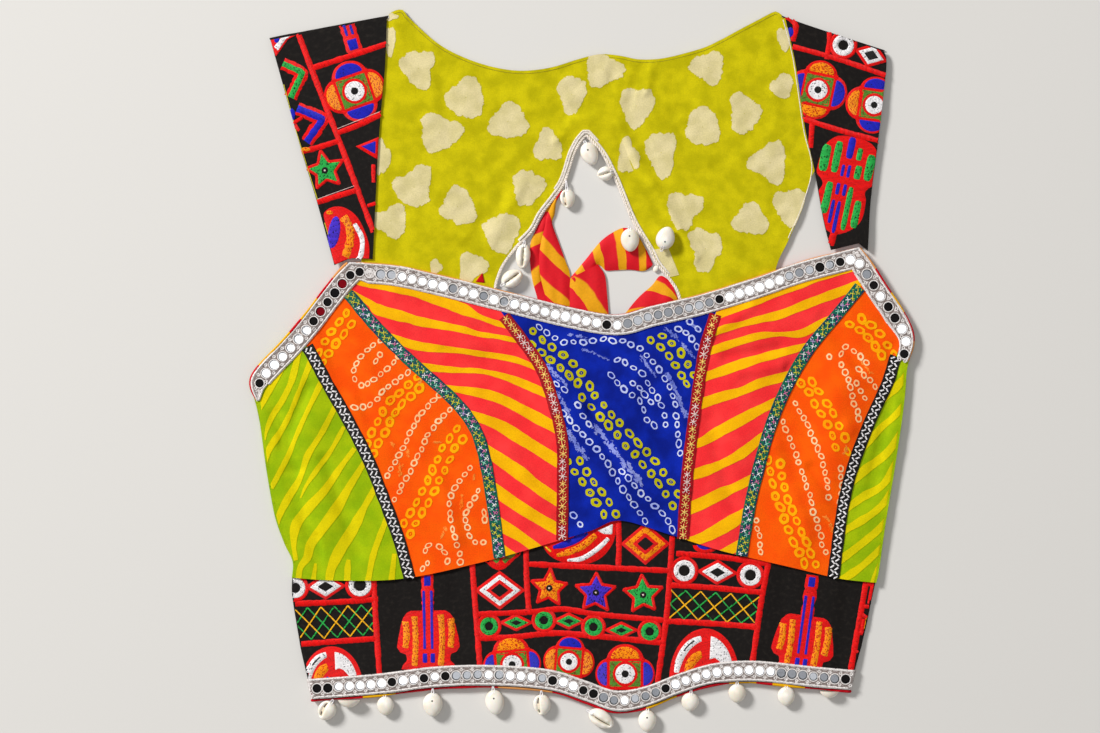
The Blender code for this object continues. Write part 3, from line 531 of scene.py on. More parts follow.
def stitched(colour, pitch=0.85, slant=0.35, depth=0.2, roughness=0.5, gaps=0.45, closed=0.63,
             ground=None):
    """Satin stitches side by side, each thread a little lighter or darker at random and
    painted darker towards its sides as shade, with gaps between some.

    The gaps are painted darker as the shade between the stitches, or show the colour of the ground where
    one is given.
    """
    g = Graph(roughness, Sheen_Weight=0.04, Sheen_Roughness=0.3, Specular_IOR_Level=0.2)
    vector, along, across, seed = g.threads()
    wobble = g.math("MULTIPLY", g.noise(vector, 0.8, 1.0), 0.5)
    place = g.math("ADD", g.math("MULTIPLY_ADD", across, slant, along), wobble)
    count = g.math("DIVIDE", place, pitch)
    ridge = g.math("SINE", g.math("MULTIPLY", g.math("FRACT", count), math.pi))
    number = g.node("CombineXYZ", {0: g.math("FLOOR", count), 1: seed})
    uneven = g.node("TexWhiteNoise", {"Vector": number}, noise_dimensions="3D")
    # Painted shade: each thread is darker towards its sides, where its round falls away; the random share is
    # each thread's own tone.
    light = g.math("MULTIPLY", g.between(ridge, 0.0, 0.6, 0.66, 1.05),
                   g.math("MULTIPLY_ADD", uneven, 0.3, 0.82))
    # Painted shade in the gaps: a darker copy of the thread's colour, unless a ground colour is given.
    gap = g.between(g.noise(vector, 0.75, 2.0, (1.0, 1.6, 1)), closed, closed + 0.05)
    thread = g.mix(gap, linear(*colour), linear(*(ground or darker(colour, gaps))))
    return g.finish(g.shade(thread, light), g.bump(ridge, depth))


def ribbon_cloth(colour, second):
    """Woven tape: fine ribs across it, with threads of a second colour worked in."""
    g = Graph(0.65, Sheen_Weight=0.06, Sheen_Roughness=0.4, Specular_IOR_Level=0.2)
    vector, _, length, _ = g.threads()
    ribs = g.math("SINE", g.math("MULTIPLY", length, math.tau / 0.8))
    worked = g.between(g.noise(vector, 0.45, 3.0), 0.46, 0.58)
    return g.finish(g.mix(worked, linear(*colour), linear(*second)), g.bump(ribs, 0.1))


def black_cotton(colour, second):
    """Black cotton with a faint twill and a little lint."""
    g = Graph(0.7, Sheen_Weight=0.03, Sheen_Roughness=0.4, Specular_IOR_Level=0.12)
    vector, u, v, _ = g.threads()
    twill = g.math("SINE", g.math("MULTIPLY", g.math("ADD", u, v), math.tau / 0.9))
    lint = g.between(g.noise(vector, 0.35, 5.0), 0.45, 0.8)
    height = g.math("ADD", g.math("MULTIPLY", twill, 0.3), g.noise(vector, 0.9, 3.0))
    return g.finish(g.mix(lint, linear(*colour), linear(*second)), g.bump(height, 0.14))


def net():
    """Silver lace ground: pale threads looped round small openings, with painted shade in the openings and
    where the loops dip.
    """
    g = Graph(0.55, Sheen_Weight=0.1, Specular_IOR_Level=0.4)
    vector = g.threads()[0]
    cells = g.node("TexVoronoi", {"Vector": vector, "Scale": 0.62}, feature="DISTANCE_TO_EDGE")
    loops = g.math("SINE", g.math("MULTIPLY", cells, 30.0))
    shaded_opening = g.between(cells, 0.17, 0.34)
    tint = g.between(g.noise(vector, 0.3, 3.0), 0.42, 0.66)
    thread = g.mix(tint, linear(240, 233, 229), linear(202, 190, 184))
    wine = g.between(g.noise(vector, 0.16, 2.0), 0.60, 0.66)
    # Painted shade: the openings are a shaded grey where the cloth below would show; a few show wine red.
    hole = g.mix(wine, linear(136, 118, 112), linear(128, 26, 34))
    coloured = g.mix(shaded_opening, thread, hole)
    # Painted shade: the loops are darker where they dip.
    light = g.between(loops, -1.0, 0.2, 0.8, 1.0)
    height = g.math("SUBTRACT", g.math("MULTIPLY", loops, 0.3), shaded_opening)
    return g.finish(g.shade(coloured, light), g.bump(height, 0.3))


def mirror(colour, roughness=0.06):
    """A small glass mirror, scratched a little; a colour darker than near white is a painted reflection."""
    g = Graph(roughness, Metallic=1.0)
    worn = g.between(g.noise(g.threads()[0], 0.9, 4.0), 0.3, 0.8, roughness, roughness + 0.16)
    return g.finish(linear(*colour), None, worn)


def striped(colour, second, pitch, share):
    """Cloth striped across its length by dye; share is how much of the pitch has the first colour."""
    g = Graph(0.6, Sheen_Weight=0.06, Sheen_Roughness=0.35, Specular_IOR_Level=0.2)
    vector, along, across, _ = g.threads()
    uneven = g.math("MULTIPLY", g.noise(vector, 0.08, 2.0), 0.25)
    place = g.math("FRACT", g.math("ADD", g.math("DIVIDE", along, pitch), uneven))
    stripe = g.between(place, share - 0.03, share + 0.03)
    dyed = g.mix(stripe, linear(*colour), linear(*second))
    fine = g.between(g.noise(vector, 1.3, 3.0), 0.25, 0.75, 0.92, 1.05)
    return g.finish(g.shade(dyed, fine), g.bump(weave(g, vector, along, across, 0.45), 0.05))


def shell(pale, warm):
    """Polished cowrie: smooth ivory, a little warmer in places."""
    g = Graph(0.3, Coat_Weight=0.35, Coat_Roughness=0.2, Subsurface_Weight=0.1, Subsurface_Scale=0.002)
    cloudy = g.between(g.noise(g.threads()[0], 0.12, 2.0), 0.35, 0.7)
    return g.finish(g.mix(cloudy, linear(*pale), linear(*warm)))


def plain(colour, roughness):
    """A floor or other plain surface."""
    return Graph(roughness).finish(linear(*colour))


PAINTS = {
    "blue_dye": cotton((8, 38, 168), (4, 26, 132)),
    "pink_dye": cotton((252, 58, 58), (246, 46, 50)),
    "orange_dye": cotton((252, 94, 0), (250, 80, 0)),
    "green_dye": cotton((167, 190, 4), (144, 177, 2)),
    "yellow_dye": cotton((250, 186, 0), (240, 172, 0)),
    "lemon_dye": cotton((228, 208, 0), (212, 198, 0)),
    "amber_ring": cotton((255, 176, 0), (255, 158, 0)),
    "cream_ring": cotton((255, 212, 160), (252, 186, 124)),
    "lime_ring": cotton((204, 196, 8), (180, 174, 4)),
    "white_ring": cotton((214, 220, 246), (160, 172, 232)),
    "faint_orange": cotton((255, 156, 66), (255, 124, 28)),
    "faint_blue": cotton((150, 160, 228), (96, 112, 208)),
    "lime_batik": cotton((209, 195, 6), (186, 175, 0), depth=0.1, cloud=0.09),
    "batik_cream": cotton((228, 213, 160), (214, 200, 142), depth=0.1, cloud=0.09),
    "lime_seam": stitched((150, 140, 10), 1.6),
    "red_ribbon": ribbon_cloth((172, 4, 20), (140, 2, 14)),
    "green_ribbon": ribbon_cloth((10, 106, 76), (14, 46, 82)),
    "black_ribbon": ribbon_cloth((14, 12, 12), (26, 24, 24)),
    "black_cloth": black_cotton((18, 14, 12), (34, 29, 25)),
    "red_thread": stitched((236, 8, 6), gaps=0.7),
    "white_thread": stitched((246, 242, 242), gaps=0.3, closed=0.6),
    "orange_thread": stitched((255, 150, 4), closed=0.53, ground=(206, 40, 4)),
    "amber_thread": stitched((255, 186, 20)),
    "green_thread": stitched((40, 176, 74), gaps=0.2, closed=0.57),
    "moss_thread": stitched((84, 146, 48), closed=0.54, ground=(110, 62, 20)),
    "blue_thread": stitched((28, 34, 186), gaps=0.4),
    "violet_thread": stitched((72, 48, 204), gaps=0.3, closed=0.57),
    "black_thread": stitched((24, 21, 20)),
    "lemon_thread": stitched((216, 206, 60)),
    "pink_thread": stitched((226, 120, 168)),
    "lilac_thread": stitched((186, 162, 214)),
    "mint_thread": stitched((150, 214, 190)),
    "gold_thread": stitched((248, 208, 112), roughness=0.4, gaps=0.8),
    "rose_thread": stitched((240, 214, 206), roughness=0.4, gaps=0.8),
    "silver_thread": stitched((242, 236, 232), gaps=0.75, roughness=0.4),
    "shaded_thread": stitched((146, 131, 125)),
    "net": net(),
    # Painted reflections: all mirrors but the first have their metal made paler, greyer, darker or red to
    # stand for what they reflect.
    "mirror_bright": mirror((232, 233, 237), 0.1),
    "mirror_pale_reflection": mirror((120, 122, 126)),
    "mirror_grey_reflection": mirror((92, 94, 98)),
    "mirror_dark_reflection": mirror((14, 13, 13)),
    "mirror_wine_reflection": mirror((78, 6, 12)),
    "piping_yellow": cotton((238, 176, 10)),
    "piping_red": cotton((196, 16, 30)),
    "piping_tan": cotton((222, 150, 84)),
    "tie_stripes": striped((212, 10, 28), (226, 156, 0), 11.5, 0.62),
    "cream_cord": stitched((248, 237, 224), 0.5, 0.6, 0.12, 0.8, 0.7),
    "shell": shell((242, 236, 224), (230, 220, 202)),
    "shell_lip": shell((226, 213, 190), (210, 193, 164)),
    # Painted shade for the cowries' slits and drilled holes.
    "shell_hollow_shade": plain((52, 42, 34), 0.7),
    "floor": plain((214, 211, 206), 0.85),
}
for paint_name, paint_made in PAINTS.items():
    paint_made.name = paint_name
PAINT_NAMES = list(PAINTS)
PAINT_NUMBER = {name: number for number, name in enumerate(PAINT_NAMES)}


# ---------------------------------------------------------------- the garment's own lines

EDGES = {name: smooth(points) for name, points in {
    "neck": NECK, "arm_left": ARM_LEFT, "arm_right": ARM_RIGHT, "side_left": SIDE_LEFT,
    "side_right": SIDE_RIGHT, "waist": WAIST, "hem": HEM, "band_left": BAND_LEFT,
    "band_right": BAND_RIGHT}.items()}


def seam_lines():
    """Each seam as a line from the top edge to the waist, and where it meets each edge."""
    lines, tops, bottoms = {}, {}, {}
    for name, (edge, axis, value, points, waist_x) in SEAMS.items():
        tops[name] = crossing(EDGES[edge], axis, value)
        bottoms[name] = crossing(EDGES["waist"], 0, waist_x)
        start = even(EDGES[edge], 1, tops[name], 1)[0]
        finish = even(EDGES["waist"], 1, bottoms[name], 1)[0]
        lines[name] = smooth((start, *points, finish))
    return lines, tops, bottoms


SEAM_LINES, SEAM_TOPS, SEAM_BOTTOMS = seam_lines()


# ---------------------------------------------------------------- strips laid on a surface

# A strip's section: places across it and its height there, as shares of its half-width and thickness.
STRIP_ACROSS = np.array((-1.0, -0.72, 0.0, 0.72, 1.0))
STRIP_CROWN = np.array((0.0, 0.8, 1.0, 0.8, 0.0))
# Height of an open strip's ends, as a share of its thickness.
STRIP_END = 0.25
# How far the edge of a strip or patch goes into what it lies on.
SINK = 0.05


def strip(piece, line, half, paint, surface, thick, spacing=1.0, side=1, seed=0.0, closed=False):
    """Adds a rounded strip of stitches or braid that lies on a surface along a line.

    half is the strip's half-width, or several spread evenly along it. side is -1 under a surface.
    """
    line = np.asarray(line, float)
    count = max(3, int(round(length_of(line) / spacing)))
    half = np.atleast_1d(half)
    half = np.interp(np.linspace(0, 1, count + 1), np.linspace(0, 1, len(half)), half)
    line = even(line, count)
    ahead = np.gradient(line, axis=0)
    if closed:
        ahead[0] = ahead[-1] = line[1] - line[-2]
    ahead = unit(ahead)
    left = np.column_stack([-ahead[:, 1], ahead[:, 0]])
    across = half[:, None] * STRIP_ACROSS
    plan = line[:, None] + left[:, None] * across[:, :, None]
    body = np.ones(count + 1)
    if not closed:
        body[0] = body[-1] = STRIP_END
    height = surface(plan) + side * ((thick + SINK) * STRIP_CROWN * body[:, None] - SINK)
    along = np.linspace(0, length_of(line), count + 1)[:, None]
    threads = np.stack(np.broadcast_arrays(along, across, seed), axis=-1)
    faces = grid_faces(count + 1, len(STRIP_ACROSS))
    piece.add(raised(plan, height), faces if side > 0 else faces[:, ::-1], paint, threads)


# ---------------------------------------------------------------- front bodice

PANEL_COLUMNS = 72
PANEL_ROWS = 108
# How much of a ridge's and a trough's height the lower face of a panel follows.
RIDGE_BELOW = 0.4
TROUGH_BELOW = 0.1
# A fold's section, in degrees from level round to below, and the steps of what is turned under.
FOLD_ANGLES = (60, 40, 20, 0, -20, -40, -60, -90)
TURN_STEPS = 4


def turned_under(line, outward, high, low, wall, depth):
    """Outer and inner columns of a wall that folds under along a line of fold centres."""
    middle = (high + low) / 2
    radius = (high - low) / 2
    grids = []
    for shell_radius in (radius, radius - wall):
        columns = []
        for angle in FOLD_ANGLES:
            turn = math.radians(angle)
            out = (shell_radius * math.cos(turn))[:, None]
            columns.append(raised(line + outward * out, middle + shell_radius * math.sin(turn)))
        for step in range(1, TURN_STEPS + 1 if depth else 1):
            columns.append(raised(line - outward * depth * step / TURN_STEPS, middle - shell_radius))
        grids.append(np.stack(columns, axis=1))
    return grids


def add_side_turn(outer, inner, first):
    """A side panel's grids with the fold and the part that lies under the side added."""
    edge, outward = (0, (-1.0, 0.0)) if first else (-1, (1.0, 0.0))
    line = outer[:, edge, :2].copy()
    outward = np.broadcast_to(outward, line.shape)
    turn = turned_under(line, outward, outer[:, edge, 2], BACK_Z, PANEL_CLOTH, SIDE_TURN_UNDER)
    inner = inner.copy()
    inner[:, edge, 2] = outer[:, edge, 2] - PANEL_CLOTH
    pairs = zip(turn, (outer, inner))
    if first:
        return [np.concatenate([fold[:, ::-1], flat], axis=1) for fold, flat in pairs]
    return [np.concatenate([flat, fold], axis=1) for fold, flat in pairs]


def panel_plans():
    """Plan grid of each panel of the bodice."""
    half = PANEL_COLUMNS // 3
    neck, arm_left, arm_right = EDGES["neck"], EDGES["arm_left"], EDGES["arm_right"]
    tops, bottoms = SEAM_TOPS, SEAM_BOTTOMS
    side_in = PANEL_CLOTH / 2 + (FRONT_Z + PANEL_CLOTH) / 2
    left_fold = beside(EDGES["side_left"], [side_in])[:, 0]
    right_fold = beside(EDGES["side_right"], [-side_in])[:, 0]

    def part(line, start, end, count=PANEL_COLUMNS):
        """Points between two fractions of a line's length."""
        return even(line, count, start, end)

    inner_left_top = np.vstack([
        part(arm_left, tops["green_left"], 0, half)[:-1],
        part(neck, 0, tops["red_left"], PANEL_COLUMNS - half)])
    inner_right_top = np.vstack([
        part(neck, tops["red_right"], 1, PANEL_COLUMNS - half)[:-1],
        part(arm_right, 0, tops["green_right"], half)])
    table = {
        # name: (left line, right line, top, waist from, waist to)
        "front_side_left": (left_fold, "black_left", part(arm_left, 1, tops["black_left"]), 0, None),
        "front_mid_left": ("black_left", "green_left",
                           part(arm_left, tops["black_left"], tops["green_left"]), None, None),
        "front_inner_left": ("green_left", "red_left", inner_left_top, None, None),
        "front_centre": ("red_left", "red_right",
                         part(neck, tops["red_left"], tops["red_right"]), None, None),
        "front_inner_right": ("red_right", "green_right", inner_right_top, None, None),
        "front_mid_right": ("green_right", "black_right",
                            part(arm_right, tops["green_right"], tops["black_right"]), None, None),
        "front_side_right": ("black_right", right_fold, part(arm_right, tops["black_right"], 1),
                             None, 1),
    }
    plans = {}
    for name, (left, right, top, start, end) in table.items():
        start = bottoms[left] if start is None else start
        end = bottoms[right] if end is None else end
        left, right = (SEAM_LINES[side] if isinstance(side, str) else side for side in (left, right))
        left, right = even(left, PANEL_ROWS), even(right, PANEL_ROWS)
        bottom = part(EDGES["waist"], start, end)
        top = top.copy()
        top[0], top[-1], bottom[0], bottom[-1] = left[0], right[0], left[-1], right[-1]
        plans[name] = coons(left, right, top, bottom)
    return plans


PANELS = panel_plans()


def outline_of(plan):
    """Outline of a plan grid, anticlockwise."""
    return np.vstack([plan[:-1, 0], plan[-1, :-1], plan[:0:-1, -1], plan[0, :0:-1]])


def build_panels():
    """The seven panels of the front bodice."""
    grounds = {"side": "green_dye", "mid": "orange_dye", "inner": "pink_dye", "centre": "blue_dye"}
    slots = {"side": "green_leheriya", "mid": "orange_bandhani", "inner": "pink_leheriya",
             "centre": "blue_bandhani"}
    for name, plan in PANELS.items():
        rise = front_rise(plan)
        outer = raised(plan, FRONT_Z + PANEL_CLOTH + rise)
        inner = raised(plan, FRONT_Z + np.where(rise > 0, RIDGE_BELOW, TROUGH_BELOW) * rise)
        if "side" in name:
            outer, inner = add_side_turn(outer, inner, first=name.endswith("left"))
        kind = name.split("_")[1]
        piece = Piece()
        piece.wall(outer, inner, grounds[kind], raised(outer[..., :2], 0))
        made = piece.make(name + "_cloth", slots[kind], name)
        declare(made, ["back_lining_cloth", "back_outer_cloth"], outer)


# Leheriya stripes: points along each stripe, with its width there.
STRIPES = {
    "front_inner_left": ("yellow_dye", (
        # ((x, y, width), ...)
        ((-155, 60.5, 3.5), (-148.5, 58, 4), (-135.5, 55.5, 4.5), (-115.5, 52, 5.5), (-109, 50, 5.5),
         (-82, 41, 7.5), (-69, 35, 4), (-55, 30, 3.5), (-42, 26.5, 1.5)),
        ((-150, 49, 3.5), (-141.5, 44, 4.5), (-135.5, 39.5, 7.5), (-115.5, 34, 6.5), (-109, 32, 6.5),
         (-82, 27, 4.5),
         (-69, 23.5, 3.5), (-55, 21.5, 3.5), (-36, 17, 2.5)),
        ((-124, 20, 5.5), (-109, 15.5, 6), (-82, 12.5, 4), (-69, 10.5, 4.5), (-55, 8.5, 4), (-42, 5.5, 4),
         (-22, -3, 3.5)),
        ((-108, 2, 5), (-95, 0.5, 4.5), (-82, -0.5, 3.5), (-69, -1, 3.5), (-55, -4, 4), (-42, -8.5, 5.5),
         (-20, -18, 5.5)),
        ((-92, -12, 4), (-69, -15.5, 6), (-55, -19.5, 6.5), (-42, -26, 7), (-29, -33, 7.5), (-14, -41, 7.5)),
        ((-84, -28, 5), (-69, -32, 6), (-55, -37.5, 7.5), (-42, -45.5, 8), (-29, -53.5, 8), (-14, -63, 8)),
        ((-74, -47, 6.5), (-55, -60, 8.5), (-42, -69, 9), (-29, -79, 8), (-14, -89, 7.5)),
        ((-72, -69, 7.5), (-55, -82.5, 8), (-42, -91.5, 8), (-29, -99.5, 8), (-14, -108, 7.5)),
        ((-68, -92, 7.5), (-55, -103, 8), (-42, -111, 7), (-27, -122, 6.5)),
        ((-64, -113, 7.5), (-50, -123, 7.5)),
    )),
    "front_inner_right": ("yellow_dye", (
        ((84, 34, 5), (105, 41.5, 5), (118, 46, 4), (131, 51.5, 4.5), (145, 56, 4.5), (158, 61, 4),
         (180, 68, 5)),
        ((84, 22, 3), (92, 26.5, 4.5), (105, 30, 4), (118, 33.5, 5), (131, 36.5, 6), (145, 42, 6),
         (158, 47, 6), (180, 55, 6.5)),
        ((76, 9, 4), (91, 14.5, 5), (105, 19, 5), (118, 22.5, 4.5), (131, 23.5, 3), (145, 24, 5),
         (158, 30.5, 5), (168, 35, 5)),
        ((72, -8, 5.5), (91, -1.5, 6.5), (105, 3.5, 6.5), (118, 7.5, 6), (131, 11, 5.5), (150, 16, 5)),
        ((72, -25, 6.5), (91, -18.5, 7), (105, -14.5, 5.5), (118, -9, 6.5), (131, -5.5, 6), (146, -1, 5)),
        ((66, -51, 5.5), (78, -48.5, 6), (91, -41, 7.5), (105, -33.5, 7.5), (118, -26.5, 6.5),
         (134, -19, 5.5)),
        ((66, -72, 6.5), (78, -68.5, 7), (91, -63.5, 6), (105, -56, 7), (118, -46, 5.5), (128, -40, 5.5)),
        ((64, -95, 8), (78, -89.5, 8.5), (91, -83, 7.5), (105, -76.5, 6), (121, -68, 5.5)),
        ((62, -117, 7), (78, -112.5, 7), (91, -106, 9), (105, -97.5, 8), (120, -88, 7)),
        ((84, -129, 7), (96, -121, 7), (114, -112, 7)),
    )),
    "front_side_left": ("lemon_dye", (
        ((-205.5, -8, 4.5), (-211.5, -19, 4), (-215.5, -28, 2.5), (-216, -33.5, 1)),
        ((-190, 7.5, 4), (-194, -8, 4.5), (-200, -20.5, 4), (-206.5, -30.5, 3.5), (-210.5, -40.5, 2.5),
         (-211.5, -47, 1)),
        ((-182, 3, 4), (-188.5, -13.5, 3), (-195.5, -30.5, 3.5), (-202, -42.5, 4), (-208.5, -52.5, 4),
         (-211.5, -62.5, 2.5)),
        ((-175, -10.5, 4), (-183, -27, 3), (-190, -42.5, 3), (-196.5, -58, 3.5), (-203, -70.5, 4),
         (-207.5, -79, 2.5)),
        ((-165, -25, 4), (-174, -42.5, 4), (-183, -57, 4), (-188.5, -72.5, 4), (-196.5, -86, 5),
         (-202, -97, 4),
         (-204, -106, 2.5)),
        ((-159, -38, 2.5), (-167.5, -53.5, 3.5), (-176.5, -66, 3), (-184, -77, 2.5), (-188, -85.5, 1)),
        ((-152, -52.5, 3), (-162, -66, 4), (-172, -80.5, 5), (-183, -92.5, 6.5), (-191, -103.5, 6.5),
         (-192.5, -116, 4),
         (-191, -127, 2.5)),
        ((-146.5, -63.5, 3.5), (-155.5, -78, 5), (-164, -92.5, 7), (-173, -105, 7), (-181, -116, 6),
         (-183.5, -125, 5.5),
         (-188, -131.5, 4.5), (-189.5, -140.5, 3.5)),
        ((-138.5, -79, 3.5), (-145.5, -91.5, 4.5), (-153, -106, 7.5), (-162, -120.5, 7.5),
         (-167.5, -132.5, 6), (-169, -140.5, 5)),
        ((-130.5, -99, 4), (-135.5, -111.5, 4), (-140, -125, 4), (-143, -140.5, 4)),
        ((-125.5, -122.5, 3), (-127.5, -140.5, 4)),
        ((-156, -126.5, 2), (-156.5, -131, 3.5), (-157, -140.5, 4.5)),
        ((-178, -129, 2), (-178.5, -133, 3), (-179.5, -140.5, 4)),
    )),
    "front_side_right": ("lemon_dye", (
        ((213, 12, 4.5), (207.5, 19.5, 3.5)),
        ((216.5, 0.5, 2.5), (213, -6, 4.5), (208.5, -11.5, 6), (203.5, -15.5, 6), (199, -22, 3.5)),
        ((214, -24, 5.5), (205.5, -32.5, 4.5), (198, -39, 4.5), (190, -48, 4.5)),
        ((211.5, -42.5, 5.5), (203, -54.5, 5.5), (195, -61.5, 5.5), (188.5, -66, 6), (181.5, -72.5, 4.5)),
        ((208.5, -62, 5.5), (202, -73.5, 4.5), (196, -79.5, 5), (186.5, -84.5, 5.5), (177.5, -91, 4.5)),
        ((205, -82.5, 5.5), (198, -91, 4.5), (191.5, -96.5, 4.5), (183.5, -101.5, 5.5), (174, -107, 4.5)),
        ((202.5, -99.5, 4.5), (196, -107, 4.5), (189.5, -112.5, 5), (182, -118.5, 5.5), (172, -126, 5.5)),
        ((200, -117, 4.5), (193, -124, 4.5), (186.5, -130, 5), (179, -135.5, 5), (171.5, -140, 4.5)),
        ((196.5, -132, 3.5), (193, -141, 3.5)),
    )),
}


# How far a print lies above its cloth.
PRINT_LIFT = 0.2
# A stripe wider than this at an end is carried on past the panel's border there, by this much.
STRIPE_FADES = 3.0
STRIPE_OVER = 14.0
STRIPE_COLUMNS = 8
STRIPE_STEP = 0.9
LEAST_STRIPE = 0.3
# How far the stripes run out over the side folds.
SIDE_PRINT_OVER = 1.8


def pulled_in(points, polygon):
    """The nearest places to some points on a polygon's sides."""
    start, side = polygon, np.roll(polygon, -1, axis=0) - polygon
    share = ((points[:, None] - start) * side).sum(axis=-1) / np.maximum((side ** 2).sum(axis=-1), 1e-9)
    near = start + np.clip(share, 0, 1)[..., None] * side
    return near[np.arange(len(points)), np.linalg.norm(near - points[:, None], axis=-1).argmin(axis=1)]


def side_top(plan):
    """Upper face of the bodice, going down round its side folds."""
    radius = front_top(plan) / 2
    left, right = PANELS["front_side_left"][:, 0], PANELS["front_side_right"][:, -1]
    past_left = np.interp(-plan[..., 1], -left[:, 1], left[:, 0]) - plan[..., 0]
    past_right = plan[..., 0] - np.interp(-plan[..., 1], -right[:, 1], right[:, 0])
    past = np.clip(np.maximum(past_left, past_right), 0, 0.98 * radius)
    return radius + np.sqrt(radius ** 2 - past ** 2)


def print_border(name):
    """Outline of the part of a panel that shows, with the turn of its side fold."""
    plan = PANELS[name].copy()
    if name == "front_side_left":
        plan[:, 0, 0] -= SIDE_PRINT_OVER
    elif name == "front_side_right":
        plan[:, -1, 0] += SIDE_PRINT_OVER
    return outline_of(plan)


def decal(piece, plan, paint, surface, border):
    """Adds a plan grid as a print just above a surface, cut off along a border."""
    faces = grid_faces(*plan.shape[:2])
    flat = plan.reshape(-1, 2)
    within = inside(flat, border)
    faces = faces[within[faces].any(axis=1)]
    if len(faces):
        used, faces = np.unique(faces, return_inverse=True)
        flat, within = flat[used], within[used]
        flat[~within] = pulled_in(flat[~within], border)
        piece.add(raised(flat, surface(flat) + PRINT_LIFT), faces.reshape(-1, 4), paint, raised(flat, 0))


def carried_on(table):
    """A stripe's table of points and widths with one more point, straight on before its start."""
    step = (table[0] - table[4]) / length_of(table[:5, :2]) * STRIPE_OVER
    return np.vstack([table[0] + step * (1, 1, 0), table])


def build_stripes():
    """Leheriya stripes dyed across the pink and green panels."""
    for name, (paint, rows) in STRIPES.items():
        piece = Piece()
        border = print_border(name)
        surface = side_top if "side" in name else front_top
        for number, row in enumerate(rows):
            table = smooth(row, 120) if len(row) > 2 else even(row, 40)
            if table[0, 2] > STRIPE_FADES:
                table = carried_on(table)
            if table[-1, 2] > STRIPE_FADES:
                table = carried_on(table[::-1])[::-1]
            table = even(table, int(length_of(table[:, :2]) / STRIPE_STEP))
            line, width = table[:, :2], table[:, 2]
            width = width + 0.5 * ripple(line, 9, 40 + number) + 0.15 * ripple(line, 3, 60 + number)
            across = np.linspace(-0.5, 0.5, STRIPE_COLUMNS) * np.maximum(width, LEAST_STRIPE)[:, None]
            decal(piece, beside(line, across), paint, surface, border)
        slot = "pink_leheriya" if "inner" in name else "green_leheriya"
        piece.make(name + "_stripes", slot)


